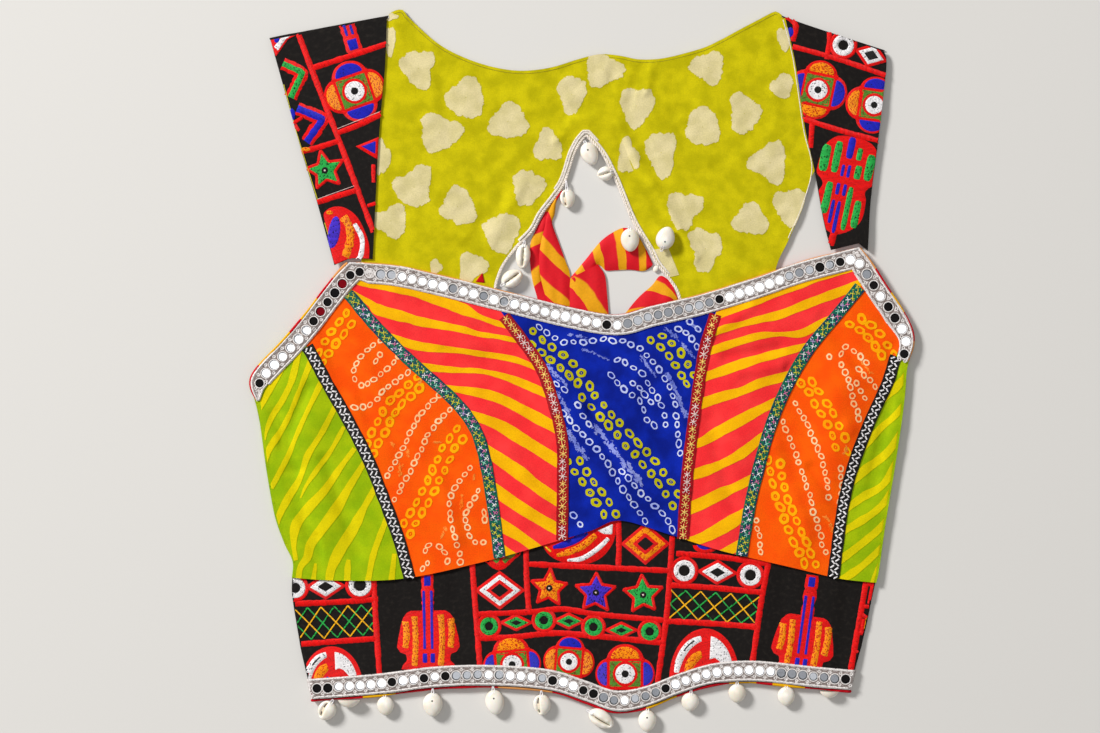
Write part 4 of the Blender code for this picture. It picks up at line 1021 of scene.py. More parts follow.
# Bandhani: rows of tied dots, each a small ring of bare cloth left by the dye.
RING_STYLES = {
    # style: (paint, length, width, share of it that is hole, pitch along the row, distance between rows)
    "amber": ("amber_ring", 7.5, 5.8, 0.44, 8.2, 6.8),
    "lime": ("lime_ring", 6.9, 5.5, 0.44, 8.4, 7.2),
    "cream": ("cream_ring", 5.1, 3.9, 0.54, 5.6, 0.0),
    "white": ("white_ring", 5.6, 4.1, 0.6, 6.5, 0.0),
}
RING_ROWS = {
    "front_mid_left": (
        ("amber", ((-152, 38), (-164.5, 22.5), (-175.5, 6))),
        ("cream", ((-132, 20.5), (-144.5, 12.5), (-153, -2.5), (-146.5, -11), (-136.5, -4.5),
          (-120.5, 10.5))),
        ("cream", ((-133.5, 11.5), (-139, 4))),
        ("cream", ((-154.5, -25), (-142.5, -24), (-129, -11.5), (-114.5, 0.5))),
        ("amber", ((-105, -4.5), (-125, -23), (-134, -38), (-142, -54.5))),
        ("cream", ((-94, -14.5), (-109.5, -31.5), (-117.5, -47.5), (-132, -73.5))),
        ("cream", ((-86.5, -25), (-100.5, -39.5), (-110, -58), (-126.5, -89))),
        ("amber", ((-79, -37.5), (-90, -54.5), (-102, -79.5), (-118, -107.5))),
        ("cream", ((-73, -63.5), (-86.5, -81), (-88.5, -100), (-83, -118), (-81.5, -130.5))),
        ("cream", ((-68.5, -78.5), (-78, -97.5), (-73.5, -113), (-64, -115))),
        ("cream", ((-66.5, -93), (-65, -102.5))),
        ("cream", ((-101.5, -115.5), (-106.5, -122.5))),
        ("cream", ((-98, -116), (-90.5, -123.5), (-90.5, -130.5))),
        ("cream", ((-102, -128), (-108.5, -134))),
    ),
    "front_centre": (
        ("lime", ((-42.5, 28), (-25.5, 14), (-11.5, 3), (-1, -8),
                  (0.5, -14), (14, -29.5), (34, -51), (52, -72.5), (65, -92))),
        ("lime", ((44, 25), (59, 12), (69.5, -3), (74, -13))),
        ("lime", ((-10, -55.5), (1, -71.5), (11.5, -86), (18.5, -98))),
        ("white", ((-32, 30), (-20, 21.5), (-6.5, 18), (19, 20), (37.5, 14), (53.5, -4), (61.5, -24.5),
                   (63, -44.5), (65, -59))),
        ("white", ((20, 5.5), (25.5, 6.5), (37.5, -2.5), (50, -20), (55, -34), (53.5, -39.5))),
        ("white", ((17, -0.5), (27.5, -14), (38.5, -21.5), (44, -34), (50, -39.5))),
        ("white", ((30.5, -7), (36, -11), (42, -18.5), (45.5, -24))),
        ("white", ((-20, -7.5), (-9.5, -15.5))),
        ("white", ((-5, -21.5), (0.5, -31.5), (5.5, -39))),
        ("white", ((-15, -26.5), (-2, -41.5), (14, -59.5), (26.5, -79.5), (43.5, -103))),
        ("white", ((23.5, -65), (37.5, -80.5), (53, -96.5), (61, -109))),
        ("white", ((-8.5, -94), (1, -105.5))),
        ("white", ((61, 29), (70.5, 22.5), (77, 13))),
        ("white", ((68, 34), (79.5, 24.5))),
    ),
    "front_mid_right": (
        ("amber", ((176, 36), (193, 23), (204, 7.5))),
        ("cream", ((169.5, 9), (175.5, 15), (183.5, 8.5), (190, 2))),
        ("cream", ((181.5, 2), (191.5, -7.5), (196, -13))),
        ("cream", ((170.5, 5.5), (176, -6), (179.5, -21.5), (185, -35.5))),
        ("cream", ((181, -6.5), (185.5, -17), (189.5, -20.5))),
        ("cream", ((161.5, 12), (164.5, 5.5))),
        ("amber", ((145, -3.5), (156.5, -19.5), (169, -42), (172, -55))),
        ("cream", ((171.5, -63), (171.5, -73.5), (170.5, -90.5))),
        ("cream", ((139.5, -20.5), (151.5, -41), (159.5, -64.5), (164, -87.5))),
        ("cream", ((132, -32.5), (142.5, -59.5), (151.5, -87), (159.5, -116), (163, -124))),
        ("amber", ((126, -55.5), (131.5, -82.5), (141, -107.5), (152, -131))),
        ("cream", ((114.5, -98), (116.5, -108), (118.5, -124))),
    ),
}
# Faint brush marks where the dye crept.
SMEARS = {
    # panel: ((start, end, width), ...)
    "front_mid_left": (
        ((-127, -48.5), (-125.5, -52), 2.2), ((-117, -52.5), (-116, -58), 2.0),
        ((-121.5, -62.5), (-122, -70.5), 2.6), ((-99, -48.5), (-94.5, -48.5), 1.8),
        ((-72, -69), (-73, -73), 1.8), ((-80.5, -83.5), (-81.5, -92.5), 2.4),
        ((-91.5, -105.5), (-95, -113.5), 2.2), ((-107, -7), (-109.5, -9.5), 1.5),
    ),
    "front_centre": (
        ((-25, 3.5), (-10.5, -11), 3.0), ((-17.5, -15), (-8.5, -30), 3.0), ((-13.5, -37), (3, -60), 3.6),
        ((7, -36.5), (39.5, -76.5), 4.2), ((38.5, 8.5), (48.5, -5), 2.6), ((56, -2.5), (69.5, -33), 3.6),
        ((54.5, 27), (64, 20), 2.6), ((66, 17), (75.5, 6.5), 2.6), ((-9, 23.5), (2, 20.5), 1.8),
        ((-0.5, 13.5), (8.5, 11), 1.6), ((9.5, 10), (17, 6), 1.2), ((68, 31.5), (76, 28), 1.6),
    ),
    "front_mid_right": (
        ((184.5, 5), (192.5, -3), 1.6), ((160.5, -96), (167, -109), 2.6), ((194.5, 43), (199, 37.5), 1.6),
        ((175, -51.5), (173, -56.5), 2.0),
    ),
}
RING_SEGMENTS = 14
# How often a large ring has a dot inside.
DOTTED_SHARE = 0.3


def add_ring(piece, centre, ahead, style, border):
    """Adds one tied dot: an uneven ring, longer along its row, sometimes with a dot inside."""
    paint, length, width, hole = RING_STYLES[style][:4]
    turn = np.linspace(0, math.tau, RING_SEGMENTS + 1)
    wobble = 1 + 0.06 * np.sin(2 * turn + rng.uniform(0, 6))
    wobble += 0.05 * np.sin(5 * turn + rng.uniform(0, 6))
    wobble[-1] = wobble[0]
    wobble *= rng.uniform(0.84, 1.1)
    lean = rng.uniform(-0.45, 0.45)
    ahead = ahead * math.cos(lean) + np.array((-ahead[1], ahead[0])) * math.sin(lean)
    aside = np.array((-ahead[1], ahead[0]))
    length, width = length * rng.uniform(0.9, 1.08), width * rng.uniform(0.85, 1.15)
    rim = (np.cos(turn)[:, None] * ahead * length + np.sin(turn)[:, None] * aside * width) / 2
    shares = np.array((1.0, 0.78, hole * rng.uniform(0.85, 1.15)))
    decal(piece, centre + (rim * wobble[:, None])[:, None] * shares[:, None], paint, front_top, border)
    if style in ("amber", "lime") and rng.uniform() < DOTTED_SHARE:
        dot = centre + rim[:, None] * 0.14 * np.array((1.0, 0.1))[:, None]
        decal(piece, dot, paint, front_top, border)


def add_smear(piece, start, end, wide, paint, border):
    """Adds a run of faint brush marks: wavering strands that thin out and stop."""
    ahead = unit(end - start)
    aside = np.array((-ahead[1], ahead[0]))
    reach = np.linalg.norm(end - start)
    for _ in range(int(4 + reach * wide / 2.0)):
        place = start + (end - start) * rng.uniform() + aside * rng.normal(0, wide * 0.24)
        run = rng.uniform(1.2, 3.8)
        steps = np.linspace(-0.5, 0.5, 9)[:, None]
        waver = rng.uniform(0.2, 0.8) * np.sin(steps * rng.uniform(6, 14) + rng.uniform(0, 6))
        line = place + ahead * steps * run + aside * waver
        half = rng.uniform(0.16, 0.2 + 0.14 * wide) * (1.02 - np.abs(2 * steps) ** 1.5)
        decal(piece, beside(line, half * (-1.0, 0.0, 1.0)), paint, front_top, border)


def build_rings():
    """Bandhani rings and faint brush marks on the blue and orange panels."""
    for name, rows in RING_ROWS.items():
        piece = Piece()
        border = outline_of(PANELS[name])
        for style, points in rows:
            pitch, apart = RING_STYLES[style][4:]
            line = smooth(points, 120) if len(points) > 2 else np.array(points, float)
            lanes = ((-apart / 2, 0.0), (apart / 2, 0.5)) if apart else ((0.0, 0.0),)
            for offset, shift in lanes:
                for point, ahead, left in stations(line, pitch):
                    centre = point + left * offset + ahead * shift * pitch + rng.normal(0, 0.35, 2)
                    add_ring(piece, centre, ahead, style, border)
        faint = "faint_blue" if name == "front_centre" else "faint_orange"
        for start, end, wide in SMEARS[name]:
            add_smear(piece, np.array(start, float), np.array(end, float), wide, faint, border)
        slot = "blue_bandhani" if name == "front_centre" else "orange_bandhani"
        piece.make(name + "_rings", slot)


# ---------------------------------------------------------------- small stitched and round things

def ring_faces(rings, sides):
    """Quads between closed rings of points, facing out of a cord, with each ring ahead of the last."""
    ring = np.arange(rings - 1)[:, None] * sides
    here, after = np.arange(sides), (np.arange(sides) + 1) % sides
    faces = np.stack([ring + here, ring + after, ring + sides + after, ring + sides + here], axis=-1)
    return faces.reshape(-1, 4)


def spread_faces(rings, sides):
    """Quads between closed rings of points, facing up, with each ring round the last."""
    return ring_faces(rings, sides)[:, (0, 3, 2, 1)]


def rounds(piece, centre, radii, heights, paint, surface, segments, side=1):
    """Adds a round thing as rings of points from the middle out, on a surface or under it."""
    turn = np.arange(segments) * math.tau / segments
    around = np.column_stack([np.cos(turn), np.sin(turn)])
    centre = np.asarray(centre, float)
    plan = centre + np.asarray(radii, float)[:, None, None] * around
    points = raised(plan, surface(plan) + side * np.asarray(heights, float)[:, None])
    faces = spread_faces(len(radii), segments)
    middle = np.arange(segments)[None]
    threads = raised(plan, 0)
    if side < 0:
        faces, middle = faces[:, ::-1], middle[:, ::-1]
    piece.add(points, faces, paint, threads)
    piece.add(points[0], middle, paint, threads[0])


def circle(centre, radius, count=24):
    """Points round a circle, the first one repeated at the end."""
    turn = np.linspace(0, math.tau, count + 1)
    return np.asarray(centre, float) + radius * np.column_stack([np.cos(turn), np.sin(turn)])


def stations(line, pitch):
    """Places spaced along a line: each one's point and the directions ahead and to the left."""
    count = max(1, int(round(length_of(line) / pitch)))
    points = even(line, count * 2)
    for point, left in zip(points[1::2], left_of(points)[1::2]):
        yield point, np.array((left[1], -left[0])), left


def tube(piece, line, radius, paint, sides=10):
    """Adds a round cord along a line in space, with closed ends."""
    line = np.asarray(line, float)
    radius = np.broadcast_to(radius, len(line))
    ahead = unit(np.gradient(line, axis=0))
    left = unit(np.cross((0.0, 0.0, 1.0), ahead))
    up = np.cross(ahead, left)
    turn = np.arange(sides) * math.tau / sides
    out = left[:, None] * np.cos(turn)[:, None] + up[:, None] * np.sin(turn)[:, None]
    points = line[:, None] + out * radius[:, None, None]
    end = np.arange(sides)[None]
    reach = np.concatenate([[0], np.cumsum(np.linalg.norm(np.diff(line, axis=0), axis=1))])
    threads = np.stack(np.broadcast_arrays(reach[:, None], radius[:, None] * np.sin(turn), 0.0), axis=-1)
    piece.add(points, ring_faces(len(line), sides), paint, threads)
    piece.add(points[0], end[:, ::-1], paint, threads[0])
    piece.add(points[-1], end, paint, threads[-1])


# A patch's rings of points: their size as a share of its outline, and their height as a share of its own.
PATCH_SHARES = np.array((0.08, 0.4, 0.7, 0.9, 1.0))
PATCH_CROWN = np.array((1.0, 0.98, 0.92, 0.7, 0.0))
PATCH_SPACING = 1.3


def patch(piece, outline, paint, surface, angle, thick, seed=0.0, base=0.0):
    """Adds a shape filled with satin stitches laid side by side at an angle in degrees.

    Its edge is let in just below the height given as base, so it can lie on another shape.
    """
    outline = np.asarray(outline, float)
    closed = np.vstack([outline, outline[:1]])
    outline = even(closed, max(8, int(length_of(closed) / PATCH_SPACING)))[:-1]
    if piece.border is not None:
        beyond = ~inside(outline, piece.border)
        outline[beyond] = pulled_in(outline[beyond], piece.border)
    centre = outline.mean(axis=0)
    plan = centre + PATCH_SHARES[:, None, None] * (outline - centre)
    points = raised(plan, surface(plan) + (base - SINK + (thick - base + SINK) * PATCH_CROWN[:, None]))
    faces = spread_faces(len(PATCH_SHARES), len(outline))
    middle = np.arange(len(outline))[None]
    after = np.roll(outline, -1, axis=0)
    area = (outline[:, 0] * after[:, 1] - after[:, 0] * outline[:, 1]).sum()
    if area <= 0:
        faces, middle = faces[:, ::-1], middle[:, ::-1]
    turn = math.radians(angle)
    along = plan @ (math.cos(turn), math.sin(turn))
    across = plan @ (-math.sin(turn), math.cos(turn))
    threads = np.stack([along, across, np.full_like(along, seed)], axis=-1)
    piece.add(points, faces, paint, threads)
    piece.add(points[0], middle, paint, threads[0])


# ---------------------------------------------------------------- tapes over the seams

TAPE_THICK = 0.7
TAPE_PROFILE = (
    # (place across as a share of the half-width, height as a share of the thickness)
    (-1.0, 0.35), (-0.94, 0.9), (-0.5, 1.0), (0.0, 1.0), (0.5, 1.0), (0.94, 0.9), (1.0, 0.35),
)
# How far a tape goes on under the lace, and how much further the right black one runs up.
TAPE_UNDER_LACE = 1.0
TAPE_RAISED = 14.0
# How far a tape or a lace lies above the cloth below it, so their faces stay apart.
TRIM_LIFT = 0.04
STITCH_THICK = 0.4


def tape_top(plan):
    """Upper face of the tapes."""
    return front_top(plan) + TAPE_THICK


def tape_line(name):
    """A tape's middle line, from the lace down to the waist."""
    laced = np.vstack([EDGES["neck"], EDGES["arm_left"], EDGES["arm_right"]])
    borders = beside(SEAM_LINES[name], (-TAPE_WIDTH / 2, TAPE_WIDTH / 2))
    away = np.linalg.norm(borders[:, :, None] - laced, axis=-1).min(axis=(1, 2))
    start = np.argmax(away > LACE_WIDTH - TAPE_UNDER_LACE) / (len(SEAM_LINES[name]) - 1)
    if name == "black_right":
        start = max(0.0, start - TAPE_RAISED / length_of(SEAM_LINES[name]))
    return even(SEAM_LINES[name], 120, start, 1)


def stitch(piece, start, end, paint, half):
    """Adds one stitch of thick thread on a tape."""
    strip(piece, (start, end), half, paint, tape_top, STITCH_THICK, spacing=1.2, seed=piece.count)


def star_stitch(piece, point, ahead, left, reach, angles, paint, half):
    """Adds a star of crossed stitches about a place."""
    for angle in angles:
        arm = ahead * math.cos(math.radians(angle)) + left * math.sin(math.radians(angle))
        arm = arm * reach * rng.uniform(0.85, 1.12)
        stitch(piece, point - arm, point + arm, paint, half)


def gold_stars(piece, line):
    """Red tape's stitches: close stars, a few of gold and then a few of rose."""
    for number, (point, ahead, left) in enumerate(stations(line, 5.0)):
        paint = "rose_thread" if number // 3 % 3 == 1 else "gold_thread"
        turn = 15 * (number % 2) + rng.uniform(-8, 8)
        point = point + left * rng.uniform(-0.3, 0.3)
        star_stitch(piece, point, ahead, left, 2.4, (turn, turn + 60, turn + 120), paint, 0.32)
        for way in (-1, 1):
            tick = point + left * way * 2.0 + ahead * rng.uniform(1.9, 2.6)
            star_stitch(piece, tick, ahead, left, 0.7, (90 + 50 * way,), paint, 0.23)


def bright_crosses(piece, line):
    """Green tape's stitches: small crosses in groups of lemon, then of white, pink and lilac."""
    groups = (("lemon_thread",), ("white_thread", "pink_thread", "lilac_thread", "white_thread"),
              ("pink_thread", "white_thread", "mint_thread"))
    for number, (point, ahead, left) in enumerate(stations(line, 2.6)):
        group = groups[number // 4 % 3]
        place = point + left * 0.9 * (1 if number % 2 else -1)
        turn = rng.uniform(20, 50)
        star_stitch(piece, place, ahead, left, 1.55, (turn, turn + 90), group[number % len(group)], 0.3)
        for side in (-1, 1):
            tick = point + left * side * rng.uniform(2.0, 2.9) + ahead * rng.uniform(-1.2, 1.2)
            star_stitch(piece, tick, ahead, left, 0.6, (rng.uniform(0, 180),), group[0], 0.27)


def white_zigzags(piece, line):
    """Black tape's stitches: two bold white zigzags side by side, made of steps and slants."""
    for number, (point, ahead, left) in enumerate(stations(line, 2.9)):
        way = 1 if number % 2 else -1
        for middle, lag in ((-1.45, 0.0), (1.45, 1.2)):
            centre = point + left * (middle + rng.uniform(-0.15, 0.15)) + ahead * lag
            slant = ahead * 0.8 + left * 0.95 * way
            stitch(piece, centre - slant, centre + slant, "white_thread", 0.55)
            step = left * 0.5 * way
            stitch(piece, centre + slant - step, centre + slant + step, "white_thread", 0.42)


def build_tapes():
    """Six tapes over the seams and the stitches that hold them."""
    patterns = {"red": gold_stars, "green": bright_crosses, "black": white_zigzags}
    for name in SEAMS:
        colour = name.split("_")[0]
        line = tape_line(name)
        across, height = np.array(TAPE_PROFILE).T
        half = TAPE_WIDTH / 2 + 0.15 * ripple(line, 6, 90)
        plan = beside(line, half[:, None] * across)
        outer = raised(plan, front_top(plan) + TAPE_THICK * height)
        inner = raised(plan, front_top(plan) + TRIM_LIFT)
        piece = Piece()
        piece.wall(outer, inner, f"{colour}_ribbon")
        made = piece.make(f"tape_{name}_cloth", f"{colour}_tape", f"tape_{name}")
        declare(made, ["front_centre_cloth"], outer)
        stitches = Piece()
        patterns[colour](stitches, line)
        stitches.make(f"tape_{name}_stitches", f"{colour}_tape")


# ---------------------------------------------------------------- mirrored lace and binding

LACE_THICK = 0.7
LACE_COLUMNS = 9
LACE_STEP = 1.5
MIRROR_RADIUS = 3.05
# A mirror's rings of points: their size as a share of its radius, and their height.
MIRROR_SHARES = np.array((0.7, 0.93, 1.0, 1.02))
MIRROR_HEIGHTS = (0.42, 0.42, 0.34, -0.1)
MIRROR_THREADS = (
    # (how far out of the mirror, half-width, paint, thickness)
    (0.3, 0.42, "silver_thread", 0.55),
    (1.1, 0.3, "shaded_thread", 0.36),
)
# The braid along a lace's edge waves in loops of this length, by this much to either side.
EDGE_LOOP = 2.6
EDGE_WAVE = 0.75
# Beads and scallops between the mirrors: their distance from the lace's middle.
BEAD_OUT = 3.7
BEAD_RADIUS = 0.95
SCALLOP_OUT = 4.9
SCALLOP_DEPTH = 0.9
MIRROR_LOOKS = {
    "w": "mirror_bright", "p": "mirror_pale_reflection", "g": "mirror_grey_reflection", "d": "mirror_dark_reflection",
    "r": "mirror_wine_reflection", "b": "net",
}
# How each mirror is painted, in order along its lace: white, a painted reflection that is pale, grey, dark or
# red, or bare net.
NECK_MIRRORS = "dbppwwwwwgwwgwpwwwwwwwwwdwgppgggppgdwwwwwwpgpdpdw"
ARM_LEFT_MIRRORS = "drddrdwwwwwwd"
ARM_RIGHT_MIRRORS = "wgdwddwwd"
HEM_MIRRORS = "ddwwwwwdwwdwdpppwpwwwpdwwddggwpggdwwwwwwwwwwgggpggd"


def lace_grid(edge, inward, widths, start_corner, end_corner):
    """A lace's plan along an edge, its ends cut on the mitre lines to the given corners."""
    line = EDGES[edge]
    mitre = LACE_WIDTH / length_of(line)
    start, end = mitre if start_corner else 0.0, 1 - mitre if end_corner else 1.0
    rows = int(length_of(line) / LACE_STEP)
    across = np.linspace(0, 1, LACE_COLUMNS)
    share = np.linspace(start, end, rows + 1)
    width = np.interp(share, *zip(*widths))
    plan = beside(even(line, rows, start, end), inward * width[:, None] * across)
    steps = np.linspace(0, 1, 9)[:-1, None, None]
    if start_corner:
        cut = line[0] + (np.array(start_corner) - line[0]) * across[:, None]
        plan = np.concatenate([cut + steps * (plan[0] - cut), plan])
    if end_corner:
        cut = line[-1] + (np.array(end_corner) - line[-1]) * across[:, None]
        plan = np.concatenate([plan, (cut + steps * (plan[-1] - cut))[::-1]])
    return plan


def add_mirror(piece, centre, look, surface, side):
    """Adds one round mirror in its ring of silver thread, with a looser thread round that."""
    radius = MIRROR_RADIUS * rng.uniform(0.92, 1.06)
    rounds(piece, centre, radius * MIRROR_SHARES, MIRROR_HEIGHTS, MIRROR_LOOKS[look], surface, 20, side)
    for out, half, paint, thick in MIRROR_THREADS:
        strip(piece, circle(centre, radius + out), half, paint, surface, thick, spacing=1.3,
              side=side, seed=piece.count, closed=True)


def add_lace_edge(piece, plan, column, surface, side):
    """Adds the braid along one edge of a lace: a flat thread, a darker one inside it and a waved one."""
    outward = plan[:, column] - plan[:, 1 if column == 0 else -2]
    edge = plan[:, column] - 0.55 * outward
    strip(piece, edge, 0.62, "silver_thread", surface, 0.45, spacing=1.3, side=side, seed=column)
    strip(piece, edge - 0.75 * outward, 0.3, "shaded_thread", surface, 0.3, spacing=1.6, side=side)
    border = even(edge, int(length_of(edge) / EDGE_LOOP) * 6)
    wave = EDGE_WAVE * np.sin(np.arange(len(border)) * math.tau / 6)
    strip(piece, beside(border, [wave])[:, 0], 0.3, "silver_thread", surface, 0.62,
          spacing=0.6, side=side, seed=column + 0.5)


def add_scallop(piece, point, ahead, left, surface, side):
    """Adds a bead halfway to the next mirror, and a scallop round the mirror's outer side.

    ahead reaches to the next mirror, and left is as long as the lace's width there allows.
    """
    bead = point + ahead / 2 + left * BEAD_OUT
    strip(piece, circle(bead, BEAD_RADIUS, 10), 0.36, "silver_thread", surface, 0.42, spacing=0.9,
          side=side, seed=piece.count, closed=True)
    out = SCALLOP_OUT - SCALLOP_DEPTH * np.cos(np.linspace(-math.pi, math.pi, 9))
    arc = point + ahead * np.linspace(-0.5, 0.5, 9)[:, None] + left * out[:, None]
    strip(piece, arc, 0.28, "shaded_thread", surface, 0.3, spacing=1.1, side=side)


def add_lace_detail(piece, plan, looks, surface, side=1, run=1.0):
    """Adds a lace's braided edges, and its mirrors with what is between them along run of its length."""
    for column in (0, -1):
        add_lace_edge(piece, plan, column, surface, side)
    middle = plan[:, LACE_COLUMNS // 2]
    widths = np.linalg.norm(plan[:, -1] - plan[:, 0], axis=1)
    pitch = run * length_of(middle) / len(looks)
    for look, (point, ahead, left) in zip(looks, stations(middle, pitch)):
        add_mirror(piece, point + left * rng.uniform(-0.25, 0.25), look, surface, side)
        beyond = np.linalg.norm(middle - point - ahead * pitch, axis=1).argmin()
        spread = min(1.0, widths[beyond] / LACE_WIDTH)
        for way in (-spread, spread):
            add_scallop(piece, point, ahead * pitch, left * way, surface, side)


def lace_top(plan):
    """Upper face of the laces on the bodice."""
    return front_top(plan) + LACE_THICK


def build_front_laces():
    """Mirrored lace along the neck and the armholes."""
    # Widths at shares of the edge. On the left the side fold cuts the lace off slantwise.
    full = ((0.0, LACE_WIDTH), (1.0, LACE_WIDTH))
    cut_off = ((0.0, LACE_WIDTH), (0.77, LACE_WIDTH), (0.86, 12.9), (0.93, 11.0), (1.0, 1.0))
    taper = ((0.0, LACE_WIDTH), (0.6, LACE_WIDTH), (1.0, LACE_END_WIDTH))
    table = (
        # (name, edge, side of the edge, widths, corners, mirrors, share of the length that they take)
        ("lace_neck", "neck", -1, full, LACE_CORNER_LEFT, LACE_CORNER_RIGHT, NECK_MIRRORS, 1.0),
        ("lace_arm_left", "arm_left", 1, cut_off, LACE_CORNER_LEFT, None, ARM_LEFT_MIRRORS, 0.94),
        ("lace_arm_right", "arm_right", -1, taper, LACE_CORNER_RIGHT, None, ARM_RIGHT_MIRRORS, 1.0),
    )
    for name, edge, inward, widths, start, end, looks, run in table:
        plan = lace_grid(edge, inward, widths, start, end)
        if inward < 0:
            plan = plan[:, ::-1]
        piece = Piece()
        outer = raised(plan, lace_top(plan))
        piece.wall(outer, raised(plan, front_top(plan) + TRIM_LIFT), "net", raised(plan, 0))
        made = piece.make(name + "_net", "mirror_lace", name)
        declare(made, ["front_centre_cloth"], outer)
        detail = Piece()
        add_lace_detail(detail, plan, looks, lace_top, run=run)
        detail.make(name + "_mirrors", "mirror_lace")


PIPING_RUNS = {
    # edge: ((share of the edge where the run starts, where it ends, paint), ...)
    "neck": ((0.0, 0.34, "piping_tan"), (0.34, 0.62, "piping_red"), (0.62, 1.0, "piping_tan")),
    "arm_left": ((0.0, 0.12, "piping_tan"), (0.12, 0.27, "piping_red"), (0.27, 0.42, "piping_yellow"),
                 (0.42, 0.52, "piping_red"), (0.52, 0.78, "piping_yellow"), (0.78, 1.0, "piping_red")),
    "arm_right": ((0.0, 0.2, "piping_tan"), (0.2, 0.42, "piping_red"), (0.42, 0.6, "piping_yellow"),
                  (0.6, 0.84, "piping_red"), (0.84, 1.0, "piping_tan")),
    "hem": ((0.0, 0.09, "piping_red"), (0.09, 0.15, "piping_yellow"), (0.15, 0.34, "piping_red"),
            (0.34, 0.44, "piping_tan"), (0.44, 0.62, "piping_red"), (0.62, 0.68, "piping_yellow"),
            (0.68, 0.78, "piping_red"), (0.78, 0.83, "piping_yellow"), (0.83, 0.86, "piping_red"),
            (0.86, 0.92, "piping_yellow"), (0.92, 1.0, "piping_red")),
}


# Height of the piping above the bodice's lower face.
PIPING_RISE = 1.4
# The hem's piping: how far out of the hem it lies, its height in front and behind, and how far out it
# turns at the sides.
HEM_PIPING_OUT = 0.9
HEM_PIPING_FRONT = 2.9
HEM_PIPING_BACK = 1.5
HEM_PIPING_TURN = 1.6


def add_piping(piece, line, radius, runs):
    """Adds a rounded cord of cloth along a line, in runs of different colours."""
    radius = np.broadcast_to(radius, len(line))
    table = np.column_stack([line, radius])
    for start, end, paint in runs:
        part = even(table, max(4, int(length_of(line) * (end - start) / LACE_STEP)), start, end)
        tube(piece, part[:, :3], part[:, 3], paint)


def build_bindings():
    """Rounded piping outside the neck and armhole laces."""
    table = (
        # (name, edge, side that faces out, how far out, radius)
        ("binding_neck", "neck", 1, -0.2, 0.5),
        ("binding_arm_left", "arm_left", -1, 0.3, 0.8),
        ("binding_arm_right", "arm_right", 1, 0.2, 0.7),
    )
    for name, edge, side, out, radius in table:
        line = even(EDGES[edge], int(length_of(EDGES[edge]) / LACE_STEP), 0.012, 0.99)
        line = beside(line, [side * out])[:, 0]
        half = radius * np.clip(1 + 0.3 * ripple(line, 14, 11), 0.65, 1.4)
        piece = Piece()
        line = raised(line, FRONT_Z + PIPING_RISE + 0.25 * ripple(line, 25, 12))
        add_piping(piece, line, half, PIPING_RUNS[edge])
        piece.make(name + "_piping", "striped_binding", name)


# ---------------------------------------------------------------- band wound round the waist

BAND_WALL = 0.7
BAND_UNDER = 0.5
BAND_COLUMNS = 160
BAND_ROWS = 44
HEM_LACE_WALL = 0.5
# Height of the hem lace's lower face behind, with room below it for the mirrors.
HEM_LACE_UNDER = 0.55
BAND_FOLDS = (
    # (x1, y1, x2, y2, half-width, height)
    (-150.0, -150.0, -146.0, -200.0, 6.0, 0.4),
    (-124.0, -140.0, -118.0, -196.0, 4.0, -0.3),
    (-96.0, -142.0, -102.0, -190.0, 7.0, 0.4),
    (-86.0, -136.0, -80.0, -190.0, 4.0, -0.3),
    (-60.0, -135.0, -58.0, -200.0, 5.0, -0.3),
    (0.0, -120.0, 6.0, -205.0, 9.0, 0.4),
    (64.0, -128.0, 60.0, -196.0, 6.0, -0.3),
    (120.0, -138.0, 112.0, -190.0, 7.0, 0.4),
    (134.0, -136.0, 130.0, -192.0, 4.0, -0.3),
    (166.0, -146.0, 160.0, -200.0, 6.0, 0.4),
    (176.0, -146.0, 170.0, -200.0, 3.0, -0.3),
)
WAIST_TOP = beside(EDGES["waist"], [-GAP])[:, 0]


def band_lift(plan):
    """How far the band is lifted by the lace behind it, from its middle down to the hem."""
    top = np.interp(plan[..., 0], WAIST_TOP[:, 0], WAIST_TOP[:, 1])
    bottom = np.interp(plan[..., 0], EDGES["hem"][:, 0], EDGES["hem"][:, 1])
    share = (top - plan[..., 1]) / (top - bottom)
    return BAND_HEM_RISE * np.interp(share, (0.5, 0.75), (0, 1))


def band_top(plan):
    """Upper face of the band's front leaf."""
    relief = np.maximum(folds(plan, BAND_FOLDS) + 0.12 * ripple(plan, 14, 5), -0.25)
    return BAND_FRONT_RISE + CLOTH + band_lift(plan) + relief


def band_under(plan):
    """Lower face of the band's back leaf."""
    return np.maximum(band_lift(plan), BAND_UNDER)


def wound(plan, front_z, back_z, wall):
    """Outer and inner grids of a strip wound round the body, from the middle of the back round to it."""
    middle = plan.shape[1] // 2
    sides = []
    for edge, inner in ((0, 1), (-1, -2)):
        outward = unit(plan[:, edge] - plan[:, inner])
        sides.append(turned_under(plan[:, edge], outward, front_z[:, edge], back_z[:, edge], wall, 0.0))
    grids = []
    for number, depth in enumerate((0.0, wall)):
        front = raised(plan, front_z - depth)
        back = raised(plan, back_z + depth)
        grids.append(np.concatenate([
            back[:, middle:0:-1], sides[0][number][:, ::-1], front, sides[1][number],
            back[:, -2:middle - 1:-1]], axis=1))
    return grids


def band_plan():
    """The band's front leaf in plan."""
    edge_in = CLOTH / 2 + (BAND_FRONT_RISE + CLOTH) / 2
    left = beside(EDGES["band_left"], [edge_in])[:, 0]
    right = beside(EDGES["band_right"], [-edge_in])[:, 0]
    return coons(even(left, BAND_ROWS), even(right, BAND_ROWS),
                 even(WAIST_TOP, BAND_COLUMNS), even(EDGES["hem"], BAND_COLUMNS))


